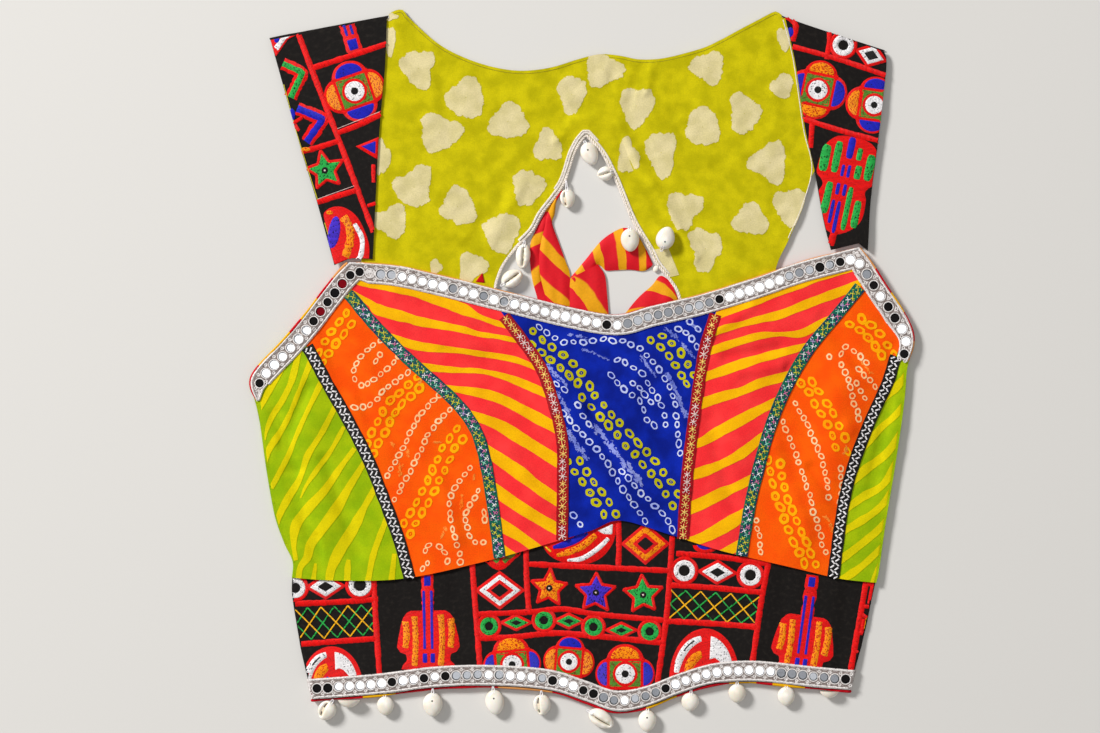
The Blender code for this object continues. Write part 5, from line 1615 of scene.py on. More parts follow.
def hem_lace_plan(plan):
    """The hem lace in plan: the last stretch of each column of the band."""
    columns = []
    for number in range(plan.shape[1]):
        column = plan[:, number]
        columns.append(even(column, LACE_COLUMNS - 1, 1 - LACE_WIDTH / length_of(column), 1))
    return np.stack(columns, axis=1)


def hem_lace_top(plan):
    """Upper face of the hem lace on the front leaf."""
    return BAND_FRONT_RISE + CLOTH + BAND_HEM_RISE + LACE_THICK + GAP + 0.15 * ripple(plan, 16, 6)


def hem_lace_under(plan):
    """Lower face of the hem lace on the back leaf."""
    return np.full(plan.shape[:-1], HEM_LACE_UNDER)


def build_band():
    """The band and its hem lace."""
    plan = band_plan()
    outer, inner = wound(plan, band_top(plan), band_under(plan), BAND_WALL)
    piece = Piece()
    piece.wall(outer, inner, "black_cloth")
    made = piece.make("band_cloth", "embroidered_black", "band")
    declare(made, ["back_lining_cloth", "back_outer_cloth"], outer)

    lace = hem_lace_plan(plan)
    outer, inner = wound(lace, hem_lace_top(lace), hem_lace_under(lace), HEM_LACE_WALL)
    piece = Piece()
    piece.wall(outer, inner, "net")
    made = piece.make("lace_hem_net", "mirror_lace", "lace_hem")
    declare(made, ["band_cloth"], outer)
    detail = Piece()
    lengthwise = lace.transpose(1, 0, 2)
    add_lace_detail(detail, lengthwise, HEM_MIRRORS, hem_lace_top)
    add_lace_detail(detail, lengthwise, HEM_MIRRORS[::-1], hem_lace_under, -1)
    detail.make("lace_hem_mirrors", "mirror_lace")


def build_hem_piping():
    """The striped piping under the hem lace, all the way round."""
    hem = beside(even(EDGES["hem"], 200, 0.004, 0.996), [-HEM_PIPING_OUT])[:, 0]
    front = raised(hem, HEM_PIPING_FRONT + 0.2 * ripple(hem, 20, 13))
    back = raised(hem[::-1], HEM_PIPING_BACK)
    middle = (HEM_PIPING_FRONT + HEM_PIPING_BACK) / 2
    radius = (HEM_PIPING_FRONT - HEM_PIPING_BACK) / 2
    turn = np.linspace(math.pi / 2, -math.pi / 2, 7)[1:-1]
    ends = []
    for (x, y), outward in ((hem[-1], 1.0), (hem[0], -1.0)):
        across = x + outward * HEM_PIPING_TURN * np.cos(turn)
        arc = np.column_stack([across, np.full(len(turn), y), middle + radius * np.sin(turn)])
        ends.append(arc if outward > 0 else arc[::-1])
    hidden = np.vstack([front[-1:], ends[0], back, ends[1], front[:1]])
    piece = Piece()
    for line, runs in ((front, PIPING_RUNS["hem"]), (hidden, ((0.0, 1.0, "piping_red"),))):
        half = np.clip(0.75 + 0.5 * ripple(line[:, :2], 16, 14), 0.45, 1.2)
        add_piping(piece, line, half, runs)
    piece.make("binding_hem_piping", "striped_binding", "binding_hem")


# ---------------------------------------------------------------- back, lining and keyhole

# Distance between a plate's points, which are thinned out below this y, where the front hides it.
BACK_STEP = 6.0
LINING_STEP = 2.4
PLATE_HIDDEN_BELOW = 20.0
PLATE_THINNED = 4
# How far the back's edge stays from the keyhole's line, the waist and the turned side panels.
KEYHOLE_CLEAR = 1.0
WAIST_CLEAR = 1.3
SIDE_CLEAR = 2.2
LINING_FOLDS = (
    # (x1, y1, x2, y2, half-width, height)
    (-18.0, 152.0, -8.0, 164.0, 3.0, 0.8),
    (-8.0, 164.0, 8.0, 168.0, 3.2, 0.9),
    (8.0, 168.0, 22.0, 160.0, 3.0, 0.8),
    (22.0, 160.0, 34.0, 128.0, 2.6, -0.8),
    (-6.0, 174.0, 14.0, 178.0, 3.0, -0.7),
    (14.0, 178.0, 34.0, 164.0, 3.0, -0.8),
    (24.0, 162.0, 44.0, 122.0, 3.0, 0.9),
    (36.0, 164.0, 54.0, 118.0, 3.0, -0.7),
    (38.0, 128.0, 66.0, 78.0, 2.4, -0.9),
    (46.0, 126.0, 76.0, 74.0, 2.4, 0.8),
    (54.0, 128.0, 84.0, 80.0, 3.0, -0.5),
    (38.0, 200.0, 30.0, 176.0, 2.2, -0.9),
    (46.0, 202.0, 42.0, 184.0, 2.4, 0.8),
    (20.0, 202.0, 18.0, 186.0, 3.0, -0.6),
    (-22.0, 196.0, -12.0, 170.0, 4.0, -0.6),
    (-110.0, 214.0, -60.0, 160.0, 9.0, 0.6),
    (-96.0, 200.0, -88.0, 150.0, 4.0, -0.5),
    (-118.0, 150.0, -64.0, 116.0, 7.0, -0.6),
    (-112.0, 98.0, -58.0, 84.0, 6.0, 0.5),
    (-40.0, 124.0, -62.0, 86.0, 4.0, 0.7),
    (-52.0, 120.0, -76.0, 84.0, 3.0, -0.5),
    (70.0, 206.0, 108.0, 150.0, 8.0, 0.6),
    (60.0, 190.0, 78.0, 160.0, 4.0, -0.6),
    (88.0, 130.0, 120.0, 100.0, 7.0, -0.6),
    (102.0, 160.0, 134.0, 148.0, 4.0, 0.5),
    (124.0, 210.0, 132.0, 160.0, 5.0, 0.5),
    (62.0, 168.0, 74.0, 120.0, 6.0, -0.5),
    (-128.0, 232.0, -118.0, 190.0, 4.0, 0.6),
)
LINING_INNER_LEFT = smooth(STRAP_LEFT_EDGES[1])
LINING_INNER_RIGHT = smooth(STRAP_RIGHT_EDGES[0])
# How far the creases go below and above the flat cloth.
LINING_LOWEST = -0.6
LINING_HIGHEST = 1.2
# The creases start this far from the neck and the straps, and reach their full height over this much.
NECK_CALM = 3.0
NECK_EASE = 12.0
STRAP_CALM = 1.0
STRAP_EASE = 10.0
# The share of their height that the creases keep under the front and the straps.
COVERED_SHARE = 0.15


def eased(value):
    """A share from 0 to 1 that starts and ends gently."""
    value = np.clip(value, 0, 1)
    return value * value * (3 - 2 * value)


def lining_top(plan):
    """Upper face of the lining, creased where nothing lies on it."""
    x, y = plan[..., 0], plan[..., 1]
    neck = np.interp(x, EDGES["neck"][:, 0], EDGES["neck"][:, 1])
    left = np.interp(-y, -LINING_INNER_LEFT[:, 1], LINING_INNER_LEFT[:, 0])
    right = np.interp(-y, -LINING_INNER_RIGHT[:, 1], LINING_INNER_RIGHT[:, 0])
    bare = eased((y - neck - NECK_CALM) / NECK_EASE)
    bare = bare * eased((x - left - STRAP_CALM) / STRAP_EASE) * eased((right - STRAP_CALM - x) / STRAP_EASE)
    relief = 1.4 * folds(plan, LINING_FOLDS) + 0.28 * ripple(plan, 18, 21) + 0.2 * ripple(plan, 7, 22)
    relief = np.clip(relief, LINING_LOWEST, LINING_HIGHEST)
    return LINING_Z + CLOTH + relief * (COVERED_SHARE + (1 - COVERED_SHARE) * bare)


def moved_in(ends, distance, inward):
    """A straight edge's two ends, moved a distance across the edge."""
    start, finish = np.array(ends, float)
    along = unit(finish - start)
    across = np.array((-along[1], along[0])) * inward
    return np.array((start + across * distance, finish + across * distance))


def back_outline(shoulder_in):
    """Outline of the back, anticlockwise from the left shoulder's outer end."""
    key_left = beside(smooth(KEYHOLE_LEFT, 90), [-KEYHOLE_CLEAR])[:, 0]
    key_right = beside(smooth(KEYHOLE_RIGHT, 90), [KEYHOLE_CLEAR])[:, 0]
    waist = beside(EDGES["waist"], [WAIST_CLEAR])[:, 0]
    side_clear = SIDE_TURN_UNDER + PANEL_CLOTH / 2 + (FRONT_Z + PANEL_CLOTH) / 2 + SIDE_CLEAR
    left_side = even(EDGES["side_left"], 30, 0.05, 1) + (side_clear, 0)
    right_side = even(EDGES["side_right"], 30, 0.05, 1) - (side_clear, 0)
    left_shoulder = moved_in(SHOULDER_LEFT, shoulder_in, -1)
    right_shoulder = moved_in(SHOULDER_RIGHT, shoulder_in, -1)

    def waist_part(start_x, end_x):
        """The waist's line between two places across."""
        return even(waist, 40, crossing(waist, 0, start_x), crossing(waist, 0, end_x))

    waist_left = waist_part(left_side[-1, 0] + 8, key_left[-1, 0])
    waist_right = waist_part(key_right[-1, 0], right_side[-1, 0] - 8)
    left_side[-1] = (left_side[-1, 0], waist_left[0, 1] + WAIST_CLEAR)
    right_side[-1] = (right_side[-1, 0], waist_right[-1, 1] + WAIST_CLEAR)
    return np.vstack([
        left_shoulder[0],
        smooth(BACK_ARM_LEFT, 80)[2:-1],
        left_side,
        waist_left,
        key_left[-2::-1],
        key_right[:-1],
        waist_right,
        right_side[::-1],
        smooth(BACK_ARM_RIGHT, 80)[-2:1:-1],
        right_shoulder[::-1] + ((0, 0), (-1.0, 0)),
        smooth(BACK_NECK, 110)[::-1],
        left_shoulder[1] + (1.0, 0),
    ])


def plate(outline, step):
    """Points and triangles that fill an outline evenly."""
    least, most = outline.min(axis=0), outline.max(axis=0)
    across, down = np.meshgrid(*(np.arange(low, high, step) for low, high in zip(least, most)))
    across[1::2] += step / 2
    inner = np.column_stack([across.ravel(), down.ravel()])
    thinned = np.zeros(across.shape, bool)
    thinned[::PLATE_THINNED, ::PLATE_THINNED] = True
    inner = inner[inside(inner, outline) & (thinned.ravel() | (inner[:, 1] > PLATE_HIDDEN_BELOW))]
    away = np.array([np.linalg.norm(outline - point, axis=1).min() for point in inner])
    inner = inner[away > step * 0.55]
    count = len(outline)
    edges = [(k, (k + 1) % count) for k in range(count)]
    given = [Vector(point) for point in np.vstack([outline, inner])]
    plan, _, faces, _, _, _ = delaunay_2d_cdt(given, edges, [], 1, 1e-4)
    plan = np.array([tuple(point) for point in plan])
    faces = np.array([tuple(face) for face in faces if len(face) == 3])
    used, faces = np.unique(faces, return_inverse=True)
    return plan[used], faces.reshape(-1, 3)


def add_plate(piece, outline, top, bottom, paint, step):
    """Adds a closed plate of cloth, and gives back its area in square millimetres."""
    plan, faces = plate(outline, step)
    count = len(plan)
    edges = np.concatenate([faces[:, (0, 1)], faces[:, (1, 2)], faces[:, (2, 0)]])
    keys = edges[:, 0] * count + edges[:, 1]
    back = edges[:, 1] * count + edges[:, 0]
    open_edges = edges[~np.isin(keys, back)]
    rim = np.column_stack([open_edges[:, ::-1], open_edges + count])
    points = np.vstack([raised(plan, top(plan)), raised(plan, bottom(plan))])
    threads = np.vstack([raised(plan, 0)] * 2)
    start = piece.count
    piece.add(points, np.vstack([faces, faces[:, ::-1] + count]), paint, threads)
    piece.faces.append(rim + start)
    piece.paints.append(np.full(len(rim), PAINT_NUMBER[paint]))
    a, b, c = (plan[faces[:, k]] for k in range(3))
    return np.abs(np.cross(b - a, c - a)).sum() / 2


# Height of the lower face of the back's cloth, just clear of the floor.
BACK_CLOTH_LOW = 0.5


def build_back():
    """The back's outer cloth, its batik lining and the keyhole's cord."""
    strap_radius = (STRAP_Z + CLOTH) / 2
    outline = back_outline(strap_radius + STRAP_TURN_UNDER + GAP)
    piece = Piece()
    area = add_plate(piece, outline, lambda plan: np.full(len(plan), BACK_Z + CLOTH),
                     lambda plan: np.full(len(plan), BACK_CLOTH_LOW), "black_cloth", BACK_STEP)
    made = piece.make("back_outer_cloth", "embroidered_black", "back_outer")
    outline = back_outline(strap_radius + GAP)
    piece = Piece()
    area = add_plate(piece, outline, lining_top, lambda plan: np.full(len(plan), LINING_Z),
                     "lime_batik", LINING_STEP)
    made = piece.make("back_lining_cloth", "lime_batik", "back_lining")
    build_cord()


# Batik blotches on the lining.
BLOTCHES = (
    # (x, y, width, height, direction of the narrow end in degrees)
    (-109.5, 200.5, 23, 25, 280), (-78, 181, 25, 27, 300), (-50, 165, 28, 23, 200),
    (-95.5, 157.5, 28, 24, 10), (-23.5, 149, 18, 21, 90), (-7.5, 183, 18, 26, 265),
    (13.5, 199.5, 25, 21, 240), (35.5, 175.5, 22, 27, 262), (30, 141.5, 14, 22, 100),
    (52, 144.5, 22, 28, 280), (79.5, 161.5, 24, 25, 90), (83.5, 201, 22, 21, 290),
    (107.5, 170.5, 21, 26, 250), (132.5, 188.5, 16, 16, 180), (124.5, 137.5, 24, 25, 300),
    (134, 221, 10, 15, 270), (66.5, 106.5, 22, 25, 265), (111.5, 99.5, 22, 21, 90),
    (138, 109, 21, 26, 280), (81.5, 80.5, 23, 27, 260), (-112.5, 121.5, 26, 26, 300),
    (-83.5, 108.5, 24, 26, 200), (-36.5, 121.5, 21, 22, 250), (-54, 91.5, 23, 26, 280),
    (-128, 99, 22, 21, 180), (-134.5, 141.5, 12, 22, 0), (-74, 68.5, 19, 20, 250), (-98, 68.5, 8, 10, 0),
    (-128.5, 219, 7, 19, 270), (-127.5, 235, 8, 5, 0),
)

BLOTCH_SEGMENTS = 120
# Rings of points from a blotch's edge to near its middle, as shares of its size.
BLOTCH_SHARES = np.array((1.0, 0.96, 0.88, 0.74, 0.56, 0.36, 0.16, 0.02))
# How far the neck's seam lies inside its edge.
NECK_SEAM_IN = 1.9
# A pale strip down the lining's right side: a painted highlight where its rolled edge catches the light.
LINING_RIM_HIGHLIGHT = (
    (133.2, 233), (138.6, 213), (141.6, 196.5), (147, 159.5), (152.4, 134), (145.6, 108.5), (136.6, 87.5),
)
# A red corner of cloth that shows at the keyhole's lower left.
RED_CORNER = ((-71.6, 58.4), (-67.0, 64.6), (-65.4, 57.6))
# A pale patch by the keyhole's lower right: its upper side and its lower side.
PLEAT_PATCH = (((46.0, 79.5), (56.5, 81.5)), ((54.0, 60.5), (64.0, 63.0)))


def build_blotches():
    """Pale blotches where wax kept the lining's dye off, their edges cracked by the dye."""
    piece = Piece()
    border = back_outline((STRAP_Z + CLOTH) / 2 + GAP)
    turn = np.linspace(0, math.tau, BLOTCH_SEGMENTS + 1)
    around = np.column_stack([np.cos(turn), np.sin(turn)])
    for number, (x, y, width, height, angle) in enumerate(BLOTCHES):
        reach = 0.99 + 0.17 * np.cos(3 * (turn - math.radians(angle)))
        reach += 0.12 * ripple(around * 20, 13, 200 + number) + 0.06 * ripple(around * 20, 4, 240 + number)
        reach[:-1] += rng.normal(0, 0.022, BLOTCH_SEGMENTS)
        reach[-1] = reach[0]
        outline = around * reach[:, None] * (width / 2, height / 2)
        plan = np.array((x, y)) + outline[:, None] * BLOTCH_SHARES[:, None]
        decal(piece, plan, "batik_cream", lining_top, border)
    steps = np.linspace(0, 1, 9)[:, None]
    upper, lower = (np.array(side) for side in PLEAT_PATCH)
    upper, lower = (side[0] + (side[1] - side[0]) * steps for side in (upper, lower))
    decal(piece, upper[:, None] + (lower - upper)[:, None] * steps, "batik_cream", lining_top, border)
    piece.make("back_lining_blotches", "lime_batik")


def build_lining_seams():
    """The seam inside the lining's neck edge, a red corner of cloth and a painted highlight along the rolled
    edge on the right.
    """
    piece = Piece()
    neck = beside(smooth(BACK_NECK, 160)[2:-2], [-NECK_SEAM_IN])[:, 0]
    strip(piece, neck, 0.22, "lime_seam", lining_top, 0.16)
    patch(piece, RED_CORNER, "piping_red", lining_top, 0, 1.0)
    # Painted highlight: a pale strip in the cord's colour along the rolled edge.
    strip(piece, smooth(LINING_RIM_HIGHLIGHT, 90), 0.32, "cream_cord", lining_top, 0.3)
    piece.make("back_lining_seams", "lime_batik")


# Strands of the twisted cord, their radius and the length of one turn.
CORD_STRANDS = 3
CORD_STRAND_RADIUS = 0.6
CORD_TWIST = 6.0
# How far a strand goes to either side and up and down, and the height that it twists about.
CORD_ASIDE = 0.65
CORD_RISE = 0.5
CORD_Z = 1.6
# Cords laid beside it: how far from it, half-width, and the y that they end at on the left and right.
SIDE_CORDS = ((1.8, 0.75, 84.0, 62.0), (3.2, 0.65, 118.0, 150.0))


def build_cord():
    """The twisted cord sewn round the keyhole."""
    left, right = smooth(KEYHOLE_LEFT, 300), smooth(KEYHOLE_RIGHT, 300)
    line = even(np.vstack([left[::-1], right[1:]]), 620)
    side = left_of(line)
    reach = np.linspace(0, length_of(line), len(line))
    piece = Piece()
    for strand in range(CORD_STRANDS):
        turn = reach * math.tau / CORD_TWIST + strand * math.tau / CORD_STRANDS
        plan = line + side * (CORD_ASIDE * np.cos(turn))[:, None]
        tube(piece, raised(plan, CORD_Z + CORD_RISE * np.sin(turn)), CORD_STRAND_RADIUS, "cream_cord", 7)
    for apart, half, left_end, right_end in SIDE_CORDS:
        way = np.arange(len(line)) < np.argmax(line[:, 1])
        shown = line[:, 1] > np.where(way, left_end, right_end)
        strip(piece, beside(line, [apart])[shown, 0], half, "cream_cord", lining_top, 0.8, seed=apart)
    piece.make("keyhole_cord_strands", "cream_cord", "keyhole_cord")


# ---------------------------------------------------------------- straps

STRAP_ROWS = 64
STRAP_COLUMNS = 28
# Where the straps end, from the corners of the front's neck edge.
STRAP_LEFT_END = (0.4, 2.5)
STRAP_RIGHT_END = (0.0, 2.5)


def strap_top(plan):
    """Upper face of the straps."""
    return STRAP_Z + CLOTH + 0.16 * ripple(plan, 13, 31) + 0.06 * ripple(plan, 5, 32)


def strap_plan(edges, corner):
    """A strap in plan, from its shoulder fold down to the front's shoulder corner."""
    left, right = (smooth(edge) for edge in edges)
    left[0], right[0] = moved_in((left[0], right[0]), (STRAP_Z + CLOTH) / 2, -1)
    half = STRAP_COLUMNS // 2
    bottom = np.vstack([even(np.array((left[-1], corner)), half)[:-1],
                        even(np.array((corner, right[-1])), STRAP_COLUMNS - half)])
    top = even(np.array((left[0], right[0])), STRAP_COLUMNS)
    return coons(even(left, STRAP_ROWS), even(right, STRAP_ROWS), top, bottom)


STRAPS = {
    "strap_left": strap_plan(STRAP_LEFT_EDGES, EDGES["neck"][0] + STRAP_LEFT_END),
    "strap_right": strap_plan(STRAP_RIGHT_EDGES, EDGES["neck"][-1] + STRAP_RIGHT_END),
}


def build_straps():
    """Two straps folded at the shoulder."""
    for name, plan in STRAPS.items():
        outer, inner = raised(plan, strap_top(plan)), raised(plan, STRAP_Z)
        outward = unit(plan[0] - plan[1])
        low = np.full(len(plan[0]), BACK_Z)
        turn = turned_under(plan[0], outward, outer[0, :, 2], low, CLOTH, STRAP_TURN_UNDER)
        inner[0, :, 2] = outer[0, :, 2] - CLOTH
        outer, inner = (np.concatenate([fold[:, ::-1].transpose(1, 0, 2), flat], axis=0)
                        for fold, flat in zip(turn, (outer, inner)))
        piece = Piece()
        piece.wall(outer, inner, "black_cloth")
        made = piece.make(name + "_cloth", "embroidered_black", name)
        declare(made, ["back_lining_cloth"], outer)


# ---------------------------------------------------------------- embroidery

# Half-width of the red lines between motifs, and the thickness of stitches on the cloth and over others.
RED_HALF = 2.0
BASE_THICK = 0.42
OVER_THICK = 0.66
RING_SCALLOPS = 18
# Widths of a diamond's red outline and of its inner red band, and the least half-size of its middle.
DIAMOND_OUTLINE = 1.5
DIAMOND_INNER_RED = 1.9
LEAST_DIAMOND = 1.3


class Needle:
    """Embroiders motifs on a surface, each about its own place and turned by its own angle."""

    def __init__(self, piece, surface, place=(0.0, 0.0), angle=0.0):
        self.piece, self.surface = piece, surface
        self.place, self.angle = np.asarray(place, float), angle

    def at(self, x, y, angle=0.0):
        """The same needle about another place in this one's coordinates."""
        return Needle(self.piece, self.surface, self.put((x, y)), self.angle + angle)

    def put(self, points):
        """Points about this needle's place in the tables' coordinates."""
        turn = math.radians(self.angle)
        ahead = (math.cos(turn), math.sin(turn))
        aside = (-math.sin(turn), math.cos(turn))
        return self.place + np.asarray(points, float) @ np.array((ahead, aside))

    def line(self, points, paint, half, thick=BASE_THICK, curved=False):
        """A line of stitches, through its points with a curve or straight from each to the next."""
        points = smooth(points, 60) if curved else points
        half = half * rng.uniform(0.86, 1.12, max(2, int(length_of(points) / 1.5)))
        strip(self.piece, self.put(points), half, paint, self.surface, thick,
              spacing=1.2, seed=self.piece.count)

    def dividers(self, lines, half=RED_HALF):
        """Red lines of stitches, each curved through its points."""
        for points in lines:
            self.line(points, "red_thread", half, curved=True)

    def swathe(self, points, half, paint):
        """A broad line of stitches over others, with several half-widths spread along it."""
        strip(self.piece, self.put(points), half, paint, self.surface, OVER_THICK, seed=self.piece.count)

    def sides(self, corners, paint, half):
        """Lines along every side of a closed shape, overlapping at its corners."""
        for start, end in zip(corners, np.roll(corners, -1, axis=0)):
            over = unit(np.asarray(end, float) - start) * half * 0.7
            self.line((start - over, end + over), paint, half)

    def ring(self, radius, half, paint, thick=BASE_THICK, scallops=0.0):
        """A ring of stitches about this place, with a scalloped edge where that is asked for."""
        line = circle((0, 0), radius, 48)
        wave = half * (1 + scallops * np.sin(np.linspace(0, RING_SCALLOPS * math.tau, len(line))))
        strip(self.piece, self.put(line), wave, paint, self.surface, thick,
              spacing=1.2, seed=self.piece.count, closed=True)

    def fill(self, outline, paint, angle=0.0, thick=BASE_THICK, base=0.0):
        """A shape filled with stitches."""
        patch(self.piece, self.put(outline), paint, self.surface, self.angle + angle, thick,
              self.piece.count, base)

    def spot(self, radius, paint, thick, base):
        """A small round of stitches about this place, lying on what is below it."""
        self.fill(circle((0, 0), radius, 18)[:-1], paint, 0, thick, base)


def ellipse(width, height, start=0, end=360, count=28):
    """Points along an ellipse's arc, from one angle to another in degrees."""
    turn = np.radians(np.linspace(start, end, count))
    return np.column_stack([width * np.cos(turn), height * np.sin(turn)])


def ring_motif(n, radius, inner, paint="white_thread"):
    """A scalloped ring round a dark middle, outlined in red."""
    n.ring(radius + 1.2, 1.3, "red_thread")
    n.ring((radius + inner) / 2, (radius - inner) / 2 + 0.3, paint, OVER_THICK, 0.07)


def diamond_motif(n, width, height, band, paint="white_thread", inner_red=False):
    """A diamond band round a dark middle, outlined in red; width and height are half of its own."""
    shape = np.array(((1.0, 0.0), (0.0, 1.0), (-1.0, 0.0), (0.0, -1.0)))
    size = np.array((width, height))
    inset = band * np.hypot(width, height) / size[::-1]
    n.fill(shape * (size + inset * (DIAMOND_OUTLINE / band)), "red_thread", 90)
    n.fill(shape * size, paint, 50, OVER_THICK)
    if inner_red:
        n.fill(shape * (size - inset), "red_thread", 90, OVER_THICK + 0.1, OVER_THICK)
        inset = inset * (1 + DIAMOND_INNER_RED / band)
    middle = shape * np.maximum(size - inset, LEAST_DIAMOND)
    n.fill(middle, "black_thread", 0, OVER_THICK + 0.15, OVER_THICK + (0.1 if inner_red else 0.0))


def star_motif(n, radius, paint):
    """A five-pointed star outlined in red, with a dark knot in the middle."""
    turn = np.radians(90 + 36 * np.arange(10))
    reach = np.where(np.arange(10) % 2, 0.5, 1.0) * rng.uniform(0.94, 1.05, 10)
    shape = np.column_stack([np.cos(turn), np.sin(turn)]) * reach[:, None]
    n.sides(shape * (radius + 0.8), "red_thread", 1.3)
    n.fill(shape * (radius + 0.2), paint, 62, OVER_THICK)
    n.spot(2.3, "black_thread", OVER_THICK + 0.2, OVER_THICK)
    n.spot(0.7, "rose_thread", OVER_THICK + 0.4, OVER_THICK + 0.2)


def lattice_motif(n, corners, cells):
    """Crossed zigzags in two colours between four corners, given from the upper left clockwise."""
    upper_left, upper_right, lower_right, lower_left = np.array(corners, float)
    for paint, phase in (("amber_thread", 0.0), ("green_thread", 0.5), ("amber_thread", 1.0),
                         ("green_thread", 1.5)):
        turns = [share for share in np.arange(-phase, cells + 2) if 0 < share < cells]
        places = np.array([0.0, *turns, cells])
        down = np.abs((places + phase) % 2 - 1)
        across = (places / cells)[:, None]
        top = upper_left + (upper_right - upper_left) * across
        bottom = lower_left + (lower_right - lower_left) * across
        points = bottom + (top - bottom) * down[:, None]
        for start, end in zip(points, points[1:]):
            n.line((start, end), paint, 0.5, 0.5)


def flower_motif(n, square, ring, petals):
    """An eye in a green square with a domed petal on each side, from the top clockwise."""
    half = np.array(square) / 2
    for angle, paint in zip((0, -90, 180, 90), petals):
        if paint:
            wide, high = half if angle % 180 == 0 else half[::-1]
            dome = ellipse(wide * 0.86, wide * 0.72, 0, 180, 16) + (0, high + 0.4)
            petal = n.at(0, 0, angle)
            petal.fill(ellipse(wide * 1.1, wide * 0.98, 0, 180, 18) + (0, high - 0.9), "red_thread", 90)
            petal.fill(dome, paint, 20, OVER_THICK, BASE_THICK - 0.1)
    corners = np.array(((1, 1), (-1, 1), (-1, -1), (1, -1))) * half
    n.fill(corners * 1.12, "red_thread", 45, OVER_THICK, BASE_THICK)
    n.fill(corners * 0.98, "moss_thread", 30, OVER_THICK + 0.02, BASE_THICK + 0.1)
    n.spot(ring + 2.0, "red_thread", OVER_THICK + 0.1, OVER_THICK)
    n.spot(ring, "white_thread", OVER_THICK + 0.25, OVER_THICK + 0.1)
    n.spot(ring * 0.38, "black_thread", OVER_THICK + 0.4, OVER_THICK + 0.25)


def fan_motif(n, width, height):
    """A domed fan: banded arcs left of a red bar and a notched leaf right of it."""
    dome = ellipse(width, height, 0, 180, 26)
    n.fill(np.vstack([dome, ((-width, -2), (width, -2))]), "red_thread", 90)
    for outer, paint, half, start, end in FAN_BANDS:
        arc = ellipse(width * outer, height * outer, start, end, 16)
        n.swathe(arc, half * np.array((0.7, 1, 1, 0.9, 0.6)), paint)
    slit = ellipse(width * 0.8, height * 0.8, 112, 142, 8)
    n.line(slit, "black_thread", 0.6, OVER_THICK + 0.25)
    leaf = ellipse(width * 0.86, height * 0.88, 12, 83, 14)
    notch = ((width * 0.1, height * 0.36), (width * 0.26, height * 0.4), (width * 0.4, height * 0.34),
             (width * 0.62, height * 0.12))
    n.fill(np.vstack([leaf, notch]), "white_thread", 80, OVER_THICK)
    n.line(((width * 0.3, height * 0.16), (width * 0.42, height * 0.1)), "white_thread", 1.0, OVER_THICK)


def both_sides(table):
    """Outline of a shape, from a table of heights with the half-width there."""
    heights, widths = np.array(table).T
    right = np.column_stack([widths, heights])
    return np.vstack([right, right[::-1] * (-1, 1)])


def lute_motif(n, neck):
    """A stringed instrument: a red body with lobed sides, orange columns and blue strings."""
    outline = both_sides(LUTE_BODY)
    n.fill(outline, "red_thread", 90)
    top = outline[:, 1].max()
    n.line(((0, top - 3), (0, top + neck)), "red_thread", 4.4)
    for x, low, high in LUTE_COLUMNS:
        curve = ((x - 0.5, low), (x + 0.6, (low + high) / 2), (x, high))
        n.line(curve, "orange_thread", 2.6, OVER_THICK, True)
    for x, low, high in LUTE_STRINGS:
        n.line(((x, low), (x, high)), "blue_thread", 1.15, OVER_THICK)
    for x, y, wide, high in ((0.0, top + neck - 4.6, 2.4, 3.6), *LUTE_BRIDGES):
        n.fill(np.array(((wide, high), (-wide, high), (-wide, -high), (wide, -high))) + (x, y),
               "blue_thread", 0, OVER_THICK)


LUTE_BODY = (
    # (height, half-width)
    (19.5, 11.5), (18.0, 14.5), (15.0, 16.8), (10.5, 18.3), (1.5, 20.3), (-5.0, 21.2), (-8.5, 19.0),
    (-10.0, 15.0), (-14.0, 14.5), (-17.0, 17.5), (-20.0, 18.5),
)
LUTE_COLUMNS = (
    # (x, from height, to height)
    (-15.0, -6.0, 12.5), (-9.0, -18.0, 16.0), (8.6, -18.0, 17.0), (15.0, -6.0, 14.0),
)
LUTE_STRINGS = (
    # (x, from height, to height)
    (-2.5, -7.0, 33.0), (2.5, -7.0, 33.0),
)
LUTE_BRIDGES = (
    # (x, height, half-width, half-height)
    (-2.4, -12.3, 1.6, 3.4), (2.8, -12.3, 1.6, 3.4),
)
FAN_BANDS = (
    # (place, paint, half-width, from angle, to angle)
    (0.79, "white_thread", 3.2, 98, 176),
    (0.48, "orange_thread", 3.9, 100, 174),
    (0.17, "blue_thread", 2.7, 105, 168),
)


def embroider_band_left(n):
    """Left block of the band: rings and diamond, lattice and fan, then the first lute."""
    n.dividers((
        ((-194, -156), (-166.5, -155), (-136.5, -153)),
        ((-190, -183), (-163.5, -181), (-136, -179)),
        ((-139.5, -139), (-138, -167), (-135.5, -203)),
        ((-194, -137), (-168.5, -135), (-136.5, -135)),
    ))
    ring_motif(n.at(-191.5, -145.5), 6.6, 3.6)
    diamond_motif(n.at(-171.5, -144.5, 2), 11.5, 7.2, 3.2)
    ring_motif(n.at(-148.5, -143.5), 7.5, 4.3)
    lattice_motif(n, ((-192.5, -159), (-140.5, -156.5), (-139.5, -176.5), (-189.5, -180.5)), 2.9)
    fan_motif(n.at(-167.0, -209.5, 3), 20.5, 25.5)
    lute_motif(n.at(-103.0, -179.7, 1), 24.0)


